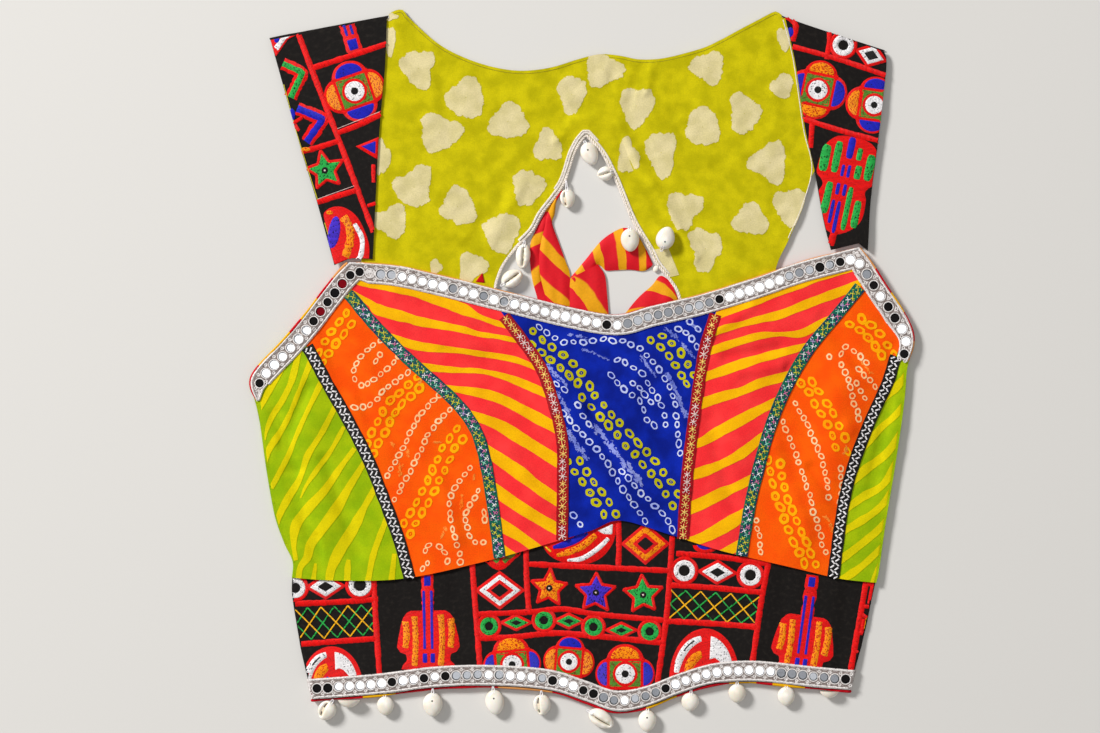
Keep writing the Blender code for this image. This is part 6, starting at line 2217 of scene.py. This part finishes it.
def embroider_band_centre(n):
    """Middle block of the band: diamonds, crescent, stars, a green row and three flowers."""
    n.dividers((
        ((-74, -127), (-71.5, -161), (-68.5, -199)),
        ((-38, -117), (-37.5, -140.5), (-36, -161.5)),
        ((23.5, -100.5), (24, -117), (23.5, -131)),
        ((59.5, -111), (56, -160.5), (49.5, -208.5)),
        ((-36.5, -129.5), (14.5, -132), (58.5, -134)),
        ((-70.5, -163), (-35.5, -161.5), (-13.5, -159.5), (9.5, -163), (54, -167)),
        ((-69.5, -179), (-45.5, -178), (-19.5, -175.5), (4.5, -177), (53.5, -182)),
    ))
    diamond_motif(n.at(-55.5, -147), 15.0, 11.4, 3.4, "white_thread", True)
    n.line(((-66, -122.5), (-55.5, -131), (-43.5, -119.5)), "red_thread", 3.8)
    n.line(((-64.5, -121.5), (-56, -128.5)), "moss_thread", 1.9, OVER_THICK)
    n.line(((-53.5, -128.5), (-44, -120.5)), "moss_thread", 1.9, OVER_THICK)
    crescent_motif(n)
    diamond_motif(n.at(41.5, -116), 14.6, 12.4, 3.8, "orange_thread", True)
    star_motif(n.at(-22.5, -145.5, -4), 11.2, "orange_thread")
    star_motif(n.at(8.5, -148.5, -2), 12.4, "violet_thread")
    star_motif(n.at(40, -150, 3), 11.8, "green_thread")
    row = ((-62.5, -171), (-44.5, -168.5), (-26, -167), (-9.5, -167.5), (7, -171.5), (25.5, -173.5),
           (44.5, -174.5))
    for number, place in enumerate(row):
        if number % 2:
            diamond_motif(n.at(*place), 8.8, 4.3, 2.2, "green_thread")
        else:
            ring_motif(n.at(*place), 5.9, 3.0, "green_thread")
    flower_motif(n.at(-47.2, -196.3, 5), (22.5, 18.5), 6.5,
                 ("orange_thread", "blue_thread", None, "blue_thread"))
    flower_motif(n.at(-9.4, -194.4, -5), (18.0, 18.5), 5.9,
                 ("blue_thread", "orange_thread", None, "orange_thread"))
    flower_motif(n.at(28.0, -202.5), (23.0, 19.0), 6.7,
                 ("orange_thread", "blue_thread", None, "violet_thread"))


def crescent_motif(n):
    """A fan hanging from the waist seam, with curved bands of colour."""
    lower = ((-28, -116), (-24, -122.5), (-19, -126.3), (-10, -129.5), (2, -129.8), (12.5, -125.4),
             (19.5, -117), (22.0, -110))
    n.fill(np.vstack([smooth(lower, 30), ((22.0, -99.0), (-28.0, -110.0))]), "red_thread", 0)
    bands = (
        # (points along it, half-width, paint)
        (((-10.9, -127.0), (-1.3, -126.0), (6.9, -121.4), (12.8, -116.6), (17.2, -112.0)),
         2.1, "white_thread"),
        (((-18.0, -124.0), (-8.7, -121.2), (-0.5, -117.6), (9.0, -109.8)), 2.9, "orange_thread"),
        (((-20.5, -118.6), (-12.0, -116.4), (-4.0, -113.0), (3.0, -108.0)), 2.8, "blue_thread"),
        (((-25.5, -117.5), (-21.0, -121.6)), 0.8, "amber_thread"),
    )
    for points, half, paint in bands:
        line = smooth(points, 24) if len(points) > 2 else points
        n.swathe(line, half * np.array((0.4, 0.95, 1, 1, 0.8)), paint)
    n.fill(((9.1, -107.4), (13.6, -109.8), (19.7, -110.0), (20.2, -102.5)), "white_thread", 30, OVER_THICK)


# Ends of the next block's stitching, which show along the right fold.
BAND_FOLD_BITS = (
    # (start, end, half-width, paint, thickness)
    ((188.5, -142.4), (193.4, -143.4), 1.5, "red_thread", BASE_THICK),
    ((192.9, -142.6), (190.4, -156.0), 1.3, "red_thread", BASE_THICK),
    ((193.9, -144.0), (192.6, -150.2), 0.6, "amber_thread", OVER_THICK),
    ((186.0, -157.6), (190.4, -158.0), 1.3, "red_thread", BASE_THICK),
    ((185.0, -162.4), (189.0, -165.4), 1.3, "red_thread", BASE_THICK),
    ((189.3, -165.2), (187.6, -173.2), 0.7, "amber_thread", OVER_THICK),
    ((186.8, -166.0), (185.4, -176.0), 1.3, "red_thread", BASE_THICK),
    ((182.8, -174.4), (186.2, -176.2), 1.3, "red_thread", BASE_THICK),
    ((181.2, -186.4), (182.9, -188.4), 1.2, "red_thread", BASE_THICK),
)


def embroider_band_right(n):
    """Right block of the band: rings and diamond, lattice and fan, then the second lute."""
    n.dividers((
        ((62, -122.5), (92.5, -125), (124, -129.5)),
        ((57.5, -143.5), (88.5, -145.5), (120.5, -148.5)),
        ((54.5, -167.5), (84.5, -169), (116.5, -171.5)),
        ((123.5, -128.5), (118.5, -155.5), (112.5, -196.5)),
        ((188.5, -141.5), (183.5, -170.5), (177.5, -203)),
    ))
    n.at(81.5, -117).fill(ellipse(8.5, 5.5, 180, 360, 14), "red_thread")
    n.at(81.5, -116.5).fill(ellipse(6.0, 3.6, 180, 360, 12), "blue_thread", 0, OVER_THICK)
    ring_motif(n.at(67.5, -134), 7.0, 3.9)
    diamond_motif(n.at(89.5, -135, -3), 11.4, 7.0, 3.2)
    ring_motif(n.at(111.5, -137), 6.9, 3.9)
    lattice_motif(n, ((58.5, -146.5), (117.5, -150.5), (114, -169.5), (57.5, -165.5)), 2.95)
    fan_motif(n.at(80.5, -205.0, -3), 23.5, 33.0)
    lute_motif(n.at(146.5, -183.0, -8), 27.0)
    for start, end, half, paint, thick in BAND_FOLD_BITS:
        n.line((start, end), paint, half, thick)


def embroider_strap_left(n):
    """Left strap: chevrons and a star on one side of a slanting line, a flower on the other."""
    n.dividers((
        ((-191.5, 229), (-180.5, 199.5), (-160.5, 147.5), (-139.5, 91.5)),
        ((-180.5, 200.5), (-155.5, 208.5), (-128.5, 217.5)),
        ((-164.5, 157), (-147.5, 163.5), (-132.5, 171)),
        ((-188.5, 144.5), (-174, 148.5), (-161.5, 152.5)),
        ((-178, 111), (-163.5, 115.5), (-150, 119.5)),
    ))
    outlined(n, ((-199.8, 203.6), (-186.6, 197.6), (-194.6, 181.0)), "green_thread", 2.5)
    outlined(n, ((-190.2, 173.8), (-173.0, 166.8), (-184.0, 151.3)), "blue_thread", 2.8)
    n.at(-194, 169.5).fill(ellipse(2.6, 4.4), "blue_thread", 20, OVER_THICK)
    n.line(((-189.0, 158.8), (-192.5, 164.0), (-186.8, 167.8)), "red_thread", 1.2)
    n.fill(((-208.6, 219.6), (-204.5, 208.0), (-191.5, 226.5), (-197.0, 226.8)), "red_thread", 90)
    n.fill(((-206.0, 214.6), (-203.2, 211.6), (-195.2, 223.4), (-199.8, 222.4)), "white_thread", 40,
           OVER_THICK)
    n.at(-203.8, 219.6).fill(ellipse(2.0, 2.6), "blue_thread", 40, OVER_THICK + 0.1)
    star_motif(n.at(-171.8, 132.4, 12), 12.0, "green_thread")
    lute_head(n.at(-154, 219, 17))
    flower_motif(n.at(-152, 185.2, 19), (22.5, 21.5), 6.8,
                 ("blue_thread", "orange_thread", "blue_thread", "orange_thread"))
    n.fill(((-151.5, 148.5), (-135.5, 155), (-136.5, 139.5)), "red_thread")
    n.fill(((-148, 148.5), (-137.5, 152.5), (-138, 143)), "blue_thread", 0, OVER_THICK)
    n.line(((-139.5, 136.5), (-139.5, 124.5)), "red_thread", 1.4)
    n.line(((-143.5, 109), (-138, 110.5)), "red_thread", 1.4)
    for start, end in (((-164, 160), (-135.5, 171.5)), ((-176.5, 113.5), (-151.5, 122.5))):
        n.line((start, end), "rose_thread", 0.22, 0.45)
    n.at(-184.5, 146.5).fill(ellipse(3.4, 1.5), "orange_thread", 0, OVER_THICK)
    shell = smooth(((-171.8, 97.5), (-172.6, 104.5), (-166, 108.6), (-157.5, 107.5), (-149, 100),
                    (-142.4, 84), (-142.4, 70)), 40)
    n.fill(np.vstack([shell, ((-166.0, 70.0),)]), "red_thread", 90)
    n.line(((-152.4, 97.6), (-147.2, 87.4), (-147.6, 77.3), (-150.1, 71.7)), "white_thread", 2.0,
           OVER_THICK, True)
    n.line(((-160.0, 102.3), (-155.6, 94.9), (-155.0, 85.6), (-158.4, 74.5)), "orange_thread", 3.4,
           OVER_THICK, True)
    n.at(-165.6, 91.5, -8).fill(ellipse(4.2, 11.5), "violet_thread", 80, OVER_THICK + 0.05)
    n.at(-168.6, 104.4).fill(ellipse(2.6, 1.5), "orange_thread", 30, OVER_THICK)
    for start, end in (((-199.2, 189.7), (-192.5, 165)), ((-191.3, 159.7), (-176.7, 113)),
                       ((-172, 97.7), (-169.4, 89))):
        n.line((start, end), "lemon_thread", 0.3, 0.5)


def outlined(n, points, paint, half):
    """A thick line of colour with a red outline."""
    n.line(points, "red_thread", half + 1.9)
    n.line(points, paint, half, OVER_THICK)


def lute_head(n):
    """The head of an instrument that runs off the strap's upper edge."""
    n.line(((0, 14), (0, -8)), "red_thread", 5.4)
    n.fill(((3.5, 1.0), (-3.5, 1.0), (-3.2, -6.8), (3.2, -6.8)), "blue_thread", 0, OVER_THICK)
    for x in (-2.0, 2.0):
        n.line(((x, 3.0), (x, 13.5)), "blue_thread", 1.1, OVER_THICK)


GREEN_LUTE_BODY = (
    # (height, half-width)
    (35.0, 7.0), (32.0, 14.0), (24.0, 19.0), (8.0, 20.5), (4.0, 17.0), (0.0, 14.5), (-6.0, 16.5),
    (-19.0, 16.0), (-27.0, 10.0), (-31.0, 3.0),
)
GREEN_LUTE_COLUMNS = (
    # (x, from height, to height, half-width, paint)
    (-16.2, 8.0, 26.5, 3.6, "green_thread"), (-8.8, 8.5, 30.5, 3.2, "green_thread"),
    (5.6, 19.7, 28.8, 2.3, "green_thread"), (7.0, 7.0, 17.3, 2.9, "green_thread"),
    (13.7, 7.6, 26.0, 3.3, "green_thread"), (-9.6, -19.0, 3.0, 3.1, "green_thread"),
    (4.9, -27.5, 2.4, 2.4, "green_thread"), (11.4, -24.5, -5.5, 3.0, "green_thread"),
    (-0.9, 19.5, 34.5, 2.9, "blue_thread"), (-3.2, 7.0, 16.0, 1.4, "blue_thread"),
    (0.8, 7.0, 16.5, 1.4, "blue_thread"), (-3.9, -5.5, 3.4, 1.6, "blue_thread"),
    (0.7, -5.5, 3.4, 1.5, "blue_thread"), (-4.9, -25.0, -8.2, 1.5, "blue_thread"),
    (-0.9, -31.0, -8.4, 1.6, "blue_thread"),
)
ROUND_ENDS = np.array((0.55, 0.92, 1.0, 1.0, 1.0, 1.0, 1.0, 0.92, 0.55))


def embroider_strap_right(n):
    """Right strap: ring and diamond, two flowers and a green instrument."""
    n.dividers((
        ((163.5, 230.5), (164, 218.5), (162, 206.5)),
        ((139.5, 215), (170, 206.5), (203.5, 195)),
        ((146, 167), (171.5, 159), (199.5, 151.5)),
        ((152.5, 165), (152, 156.5), (151.5, 147.5)),
        ((166, 227.5), (183.5, 221), (198, 214.5)),
    ), RED_HALF * 0.9)
    n.line(((135.5, 235.5), (141.5, 229), (139.5, 218.5)), "red_thread", 2.0, BASE_THICK, True)
    n.at(138, 224.5).fill(ellipse(2.2, 3.4), "blue_thread", 0, OVER_THICK)
    ring_motif(n.at(173.2, 215.8), 7.0, 3.6)
    diamond_motif(n.at(191.7, 209.0, -20), 9.6, 6.8, 2.6)
    flower_motif(n.at(156.2, 186.1, -12), (20.5, 21.5), 6.6,
                 ("orange_thread", "blue_thread", "orange_thread", "blue_thread"))
    flower_motif(n.at(193.6, 176.0, -8), (20.0, 20.5), 6.2,
                 ("blue_thread", "blue_thread", "blue_thread", "orange_thread"))
    lute = n.at(173.5, 120.5, -12)
    outline = both_sides(GREEN_LUTE_BODY)
    lute.fill(smooth(np.vstack([outline, outline[:1]]), 90)[:-1], "red_thread", 90)
    lute.line(((0, -28), (-1.0, -39)), "red_thread", 2.6)
    for x, low, high, half, paint in GREEN_LUTE_COLUMNS:
        lute.swathe(((x, low), (x, high)), half * ROUND_ENDS, paint)


def build_embroidery():
    """Embroidery on the band's front and on the straps."""
    piece = Piece()
    piece.border = outline_of(band_plan())
    needle = Needle(piece, band_top)
    embroider_band_left(needle)
    embroider_band_centre(needle)
    embroider_band_right(needle)
    piece.make("band_front_stitching", "embroidered_black")
    for name, embroider in (("strap_left", embroider_strap_left), ("strap_right", embroider_strap_right)):
        piece = Piece()
        piece.border = outline_of(STRAPS[name])
        embroider(Needle(piece, strap_top))
        piece.make(name + "_stitching", "embroidered_black")


# ---------------------------------------------------------------- ties

TIE_COLUMNS = 14
TIE_ROWS = 60
# Thickness of a tie at its edges, and how far into the stripes' pattern it starts.
TIE_EDGE = 0.25
TIE_STRIPES_START = 3.0
# Each length of a tie between its two edges, its height at the edges and in the middle, and how its
# stripes run: their angle across it and the pitch that the painted stripes are stretched to.
TIE_LENGTHS = {
    "tie_left": (
        # (left edge, right edge, low, high, stripe angle, stripe scale)
        (((-15.6, 119.5), (-23.8, 107.4), (-30.9, 94.2), (-35, 84), (-35.2, 70.7), (-33.5, 58.4),
          (-30.4, 47.2), (-27.0, 30.0)),
         ((-14.2, 118.6), (-20.5, 106.0), (-24.0, 96.0), (-27.5, 84), (-28.6, 70), (-27.4, 58),
          (-22.5, 46), (-17.0, 30.0)), 0.1, 1.0, -42, 0.62),
        (((-14.6, 119.6), (-21.2, 110.0), (-25.3, 99.5), (-27.4, 88), (-29.2, 76), (-28.6, 63),
          (-24.6, 47.2), (-20.0, 30.0)),
         ((-13.2, 119.0), (-17.6, 112.0), (-18.9, 103.3), (-20.5, 97.5), (-16.6, 86), (-11.5, 71.7),
          (-8.6, 61.5), (-8.6, 30.0)), 0.5, 1.9, 48, 0.55),
    ),
    "tie_right": (
        (((-8.2, 61.4), (1.7, 73.2), (11.9, 85.5), (21.1, 92.1), (28.3, 94.4), (35.6, 90.6),
          (42.4, 79.4), (46.6, 70.4)),
         ((-4.4, 57.0), (2.8, 62.5), (9.9, 69.7), (15.0, 66.1), (21.1, 66.1), (31.3, 66.5),
          (40.4, 65.6), (45.6, 68.4)), 0.1, 1.8, 14, 0.75),
        (((-8.4, 60.8), (-9.0, 52.3), (-8.9, 43.6), (-8.6, 30.0)),
         ((9.9, 70.2), (14.6, 62.5), (16.1, 49.3), (17.6, 30.0)), 0.7, 2.1, 58, 0.5),
    ),
    "tie_tail": (
        (((58.4, 58.8), (51.6, 62.4), (45.8, 55.9), (36.2, 47.2), (25.0, 33.4)),
         ((63.4, 47.0), (62.9, 44.6), (62.0, 40.0), (60.2, 36.4), (58.0, 32.6)), 0.1, 1.6, -20, 0.8),
    ),
}


def build_ties():
    """The sash's striped ties lying inside the keyhole."""
    for name, lengths in TIE_LENGTHS.items():
        piece = Piece()
        outers = []
        for number, (left, right, low, high, angle, scale) in enumerate(lengths):
            left, right = smooth(left, TIE_ROWS), smooth(right, TIE_ROWS)
            across = np.linspace(0, 1, TIE_COLUMNS)
            plan = right[:, None] + (left - right)[:, None] * across[:, None]
            crown = 1 - np.abs(2 * across - 1) ** 3
            relief = 0.3 * ripple(plan, 9, 70 + number) + 0.3 * ripple(plan * (2.2, 0.7), 9, 80 + number)
            outer = raised(plan, low + TIE_EDGE + (high - low - TIE_EDGE) * crown + relief * crown)
            inner = raised(plan, low)
            middle = even((left + right) / 2, TIE_ROWS)
            reach = np.linspace(0, length_of(middle), TIE_ROWS + 1)[:, None]
            width = np.linalg.norm(left - right, axis=1)[:, None] * (across - 0.5)
            turn = math.radians(angle)
            along = (reach * math.cos(turn) + width * math.sin(turn)) * scale
            aside = (width * math.cos(turn) - reach * math.sin(turn)) * scale
            threads = np.stack([along + TIE_STRIPES_START, aside, np.zeros_like(along)], axis=-1)
            piece.wall(outer, inner, "tie_stripes", threads)
            outers.append(outer)
        made = piece.make(name + "_satin", "striped_tie", name)
        declare(made, [], *outers)


# ---------------------------------------------------------------- cowries

COWRIE_ALONG = 26
COWRIE_AROUND = 36
# A cowrie's height, and its slit's half-width and depth, as shares of its width and height.
COWRIE_HEIGHT = 0.56
SLIT_HALF = 0.10
SLIT_DEPTH = 0.26
TOOTH_PITCH = 1.25
TOOTH_HEIGHT = 0.16
# Shells longer than this show the hole drilled in their back, and those longer than this have threads.
HOLE_SHOWN_FROM = 14.0
THREAD_SHOWN_FROM = 6.0
HEM_COWRIES = (
    # (x, y, length, width, angle, base, thread, share, place of its slit across it or None under it)
    (-170.5, -227.0, 13.5, 12.2, 60, 0.0, 0.0, 1.0, 0.24),
    (-155.7, -218.9, 12.0, 15.5, 90, 0.0, 0.0, 0.42, None),
    (-131.5, -223.8, 12.6, 11.3, 95, 0.0, 0.0, 1.0, None),
    (-100.0, -223.0, 16.0, 13.2, 90, 0.0, 1.0, 1.0, None),
    (-58.7, -221.4, 16.6, 12.6, 97, 0.0, 0.6, 1.0, None),
    (-27.3, -223.2, 14.0, 11.8, 93, 0.0, 0.8, 1.0, 0.24),
    (12.2, -232.5, 18.5, 11.6, 148, 0.0, 0.6, 1.0, 0.12),
    (42.7, -233.9, 14.6, 12.0, 88, 0.0, 0.4, 1.0, None),
    (71.3, -221.2, 12.2, 11.8, 85, 0.0, 0.2, 1.0, None),
    (102.6, -215.5, 12.6, 11.8, 90, 0.0, 0.0, 1.0, None),
    (135.3, -217.5, 12.8, 11.6, 90, 0.0, 0.0, 1.0, None),
    (163.9, -213.6, 10.0, 13.0, 88, 0.0, 0.0, 0.43, None),
)
KEYHOLE_COWRIES = (
    # The same columns.
    (4.4, 143.6, 15.4, 11.6, 112, 0.0, 0.0, 1.0, None),
    (14.6, 130.4, 10.4, 9.6, 12, 0.0, 0.0, 1.0, 0.0),
    (-10.2, 113.8, 12.6, 10.2, 95, 0.0, 4.0, 1.0, 0.24),
    (-40.0, 75.3, 16.6, 9.8, 84, 0.0, 0.6, 1.0, 0.0),
    (-47.2, 60.6, 15.4, 11.6, 213, 0.0, 0.0, 1.0, 0.0),
    (31.2, 86.0, 15.4, 12.2, 92, 1.5, 0.0, 1.0, None),
    (54.8, 87.4, 15.4, 12.4, 252, STRAP_Z, 0.0, 1.0, None),
    (48.5, 67.0, 4.4, 3.6, 60, 0.0, 0.0, 1.0, None),
)


def add_cowrie(piece, x, y, length, width, angle, base, thread, share, slit):
    """Adds one cowrie: an egg-shaped shell with its toothed slit or its drilled hump upwards."""
    height = COWRIE_HEIGHT * width
    shown = 1.0 if share == 1 else 2 * share - 1
    t = -np.cos(np.linspace(0.12, math.acos(-shown) if share < 1 else math.pi - 0.12, COWRIE_ALONG))
    around = np.linspace(0, math.tau, COWRIE_AROUND, endpoint=False)
    around = around + 0.32 * np.sin(2 * around)
    t, around = t[:, None], around[None]
    girth = np.sqrt(1 - t ** 2) * (1 + 0.10 * t - 0.05 * t ** 2)
    along = np.broadcast_to(t * length / 2, (COWRIE_ALONG, COWRIE_AROUND))
    aside = girth * width / 2 * np.cos(around)
    rise = girth ** 0.8 * height / 2 * np.sin(around)
    top = np.sin(around) > 0.2
    if slit is not None:
        bend = slit * width * np.sqrt(1 - (0.8 * t) ** 2) + 0.25 * np.sin(t * 2.2)
        reach = np.abs(aside - bend) / (SLIT_HALF * width)
        open_length = np.clip(1 - (np.abs(t) / 0.86) ** 6, 0, 1)
        rise = rise - top * (SLIT_DEPTH * height * np.exp(-reach ** 2) * open_length)
        teeth = np.sin(along * math.tau / TOOTH_PITCH) * np.exp(-((reach - 1.9) / 1.1) ** 2)
        rise = rise + top * TOOTH_HEIGHT * teeth * open_length
    ahead = np.array((math.cos(math.radians(angle)), math.sin(math.radians(angle))))
    left = np.array((-ahead[1], ahead[0]))
    plan = np.array((x, y)) + along[..., None] * ahead + aside[..., None] * left
    points = raised(plan, base + height / 2 + rise)
    faces = ring_faces(COWRIE_ALONG, COWRIE_AROUND)
    threads = np.stack([along + x, aside + y, rise], axis=-1)
    paint = np.full((COWRIE_ALONG - 1, COWRIE_AROUND), "shell", dtype=object)
    if slit is not None:
        # Painted shade: the middle of the slit is painted dark, as the shade inside the shell.
        for name, share_open in (("shell_lip", 0.08), ("shell_hollow_shade", 0.02)):
            middle = (np.abs(aside - bend) < share_open * width * open_length) & top & (np.abs(t) < 0.8)
            paint[middle[:-1]] = name
    for name in ("shell", "shell_lip", "shell_hollow_shade"):
        chosen = faces[paint.ravel() == name]
        if len(chosen):
            used, chosen = np.unique(chosen, return_inverse=True)
            piece.add(points.reshape(-1, 3)[used], chosen.reshape(-1, 4), name,
                      threads.reshape(-1, 3)[used])
    end = np.arange(COWRIE_AROUND)[None]
    piece.add(points[0], end[:, ::-1], "shell", threads[0])
    piece.add(points[-1], end, "shell", threads[-1])
    hole = np.array((x, y)) + ahead * length * 0.17 + left * 0.3
    if slit is None and share == 1 and length > HOLE_SHOWN_FROM:
        def crown(plan):
            """The top of the shell."""
            return np.full(plan.shape[:-1], base + height * 0.985)
        # Painted shade: the drilled hole is a dark disc, as the shade inside the shell.
        rounds(piece, hole, (0.25, 0.55, 0.8), (0.1, 0.1, -0.5), "shell_hollow_shade", crown, 12)
    if share == 1 and length > THREAD_SHOWN_FROM:
        add_cowrie_thread(piece, np.array((x, y)), ahead, length, height, base, thread)


def add_cowrie_thread(piece, middle, ahead, length, height, base, thread):
    """Adds the two threads that tie a cowrie by its pierced end."""
    left = np.array((-ahead[1], ahead[0]))
    for way in (-1, 1):
        plan = np.array([
            middle + ahead * length * 0.36 + left * 0.5 * way,
            middle + ahead * length * 0.46 + left * 0.8 * way,
            middle + ahead * (length * 0.5 + 0.9) + left * 0.6 * way,
            middle + ahead * (length * 0.5 + 1.8 + thread) + left * 0.2 * way])
        heights = base + np.array((0.86, 0.68, 0.5, 0.5)) * height
        line = smooth(np.column_stack([plan, heights]), 14)
        tube(piece, line, 0.42, "white_thread", 7)


def build_cowries():
    """Cowries hung along the hem and round the keyhole."""
    for prefix, table in (("hem_cowrie", HEM_COWRIES), ("key_cowrie", KEYHOLE_COWRIES)):
        for number, row in enumerate(table, 1):
            piece = Piece()
            add_cowrie(piece, *row)
            piece.make(f"{prefix}_{number:02d}_shell", "cowrie", f"{prefix}_{number:02d}", sharp=60)


# ---------------------------------------------------------------- studio

# What the view is centred on, its width there and the camera's height above the garment.
VIEW_MIDDLE = (-22.0, 2.0)
VIEW_WIDTH = 1100 * 2 / 3
CAMERA_HEIGHT = 2000.0
SENSOR_WIDTH = 36.0
# The floor's half-width and height, in metres like the lights' places.
FLOOR_HALF = 4.0
FLOOR_Z = -0.0004
FILL_LIGHT = 0.27
LIGHTS = (
    # (name, place, size, power)
    ("overhead", (0.1, 0.0, 3.0), 1.6, 16),
    ("key", (-3.8, 3.0, 3.1), 1.4, 400),
)


def add_area_light(name, place, size, power):
    """A large soft light aimed at the middle of the garment."""
    light = bpy.data.lights.new(name, "AREA")
    light.shape = "DISK"
    light.size = size
    light.energy = power
    made = bpy.data.objects.new(name, light)
    made.location = place
    made.rotation_euler = (-Vector(place)).to_track_quat("-Z", "Y").to_euler()
    bpy.context.scene.collection.objects.link(made)


def build_studio():
    """Pale floor, soft lights and a camera straight above, as in the photograph."""
    floor = bpy.data.meshes.new("studio_floor")
    corners = [(x * FLOOR_HALF, y * FLOOR_HALF, FLOOR_Z) for x, y in ((-1, -1), (1, -1), (1, 1), (-1, 1))]
    floor.from_pydata(corners, [], [(0, 1, 2, 3)])
    floor.materials.append(PAINTS["floor"])
    made = bpy.data.objects.new("studio_floor", floor)
    bpy.context.scene.collection.objects.link(made)
    for light in LIGHTS:
        add_area_light(*light)
    world = bpy.data.worlds.new("studio")
    world.use_nodes = True
    background = world.node_tree.nodes["Background"]
    background.inputs["Color"].default_value = (1, 1, 1, 1)
    background.inputs["Strength"].default_value = FILL_LIGHT
    bpy.context.scene.world = world
    camera = bpy.data.cameras.new("camera")
    camera.sensor_width = SENSOR_WIDTH
    camera.lens = SENSOR_WIDTH * CAMERA_HEIGHT / VIEW_WIDTH
    made = bpy.data.objects.new("camera", camera)
    made.location = to_row((*VIEW_MIDDLE, CAMERA_HEIGHT))
    bpy.context.scene.collection.objects.link(made)
    bpy.context.scene.camera = made
    bpy.context.scene.view_settings.view_transform = "Standard"


build_back()
build_blotches()
build_lining_seams()
build_straps()
build_embroidery()
build_ties()
build_panels()
build_stripes()
build_rings()
build_tapes()
build_front_laces()
build_bindings()
build_band()
build_hem_piping()
build_cowries()
build_studio()
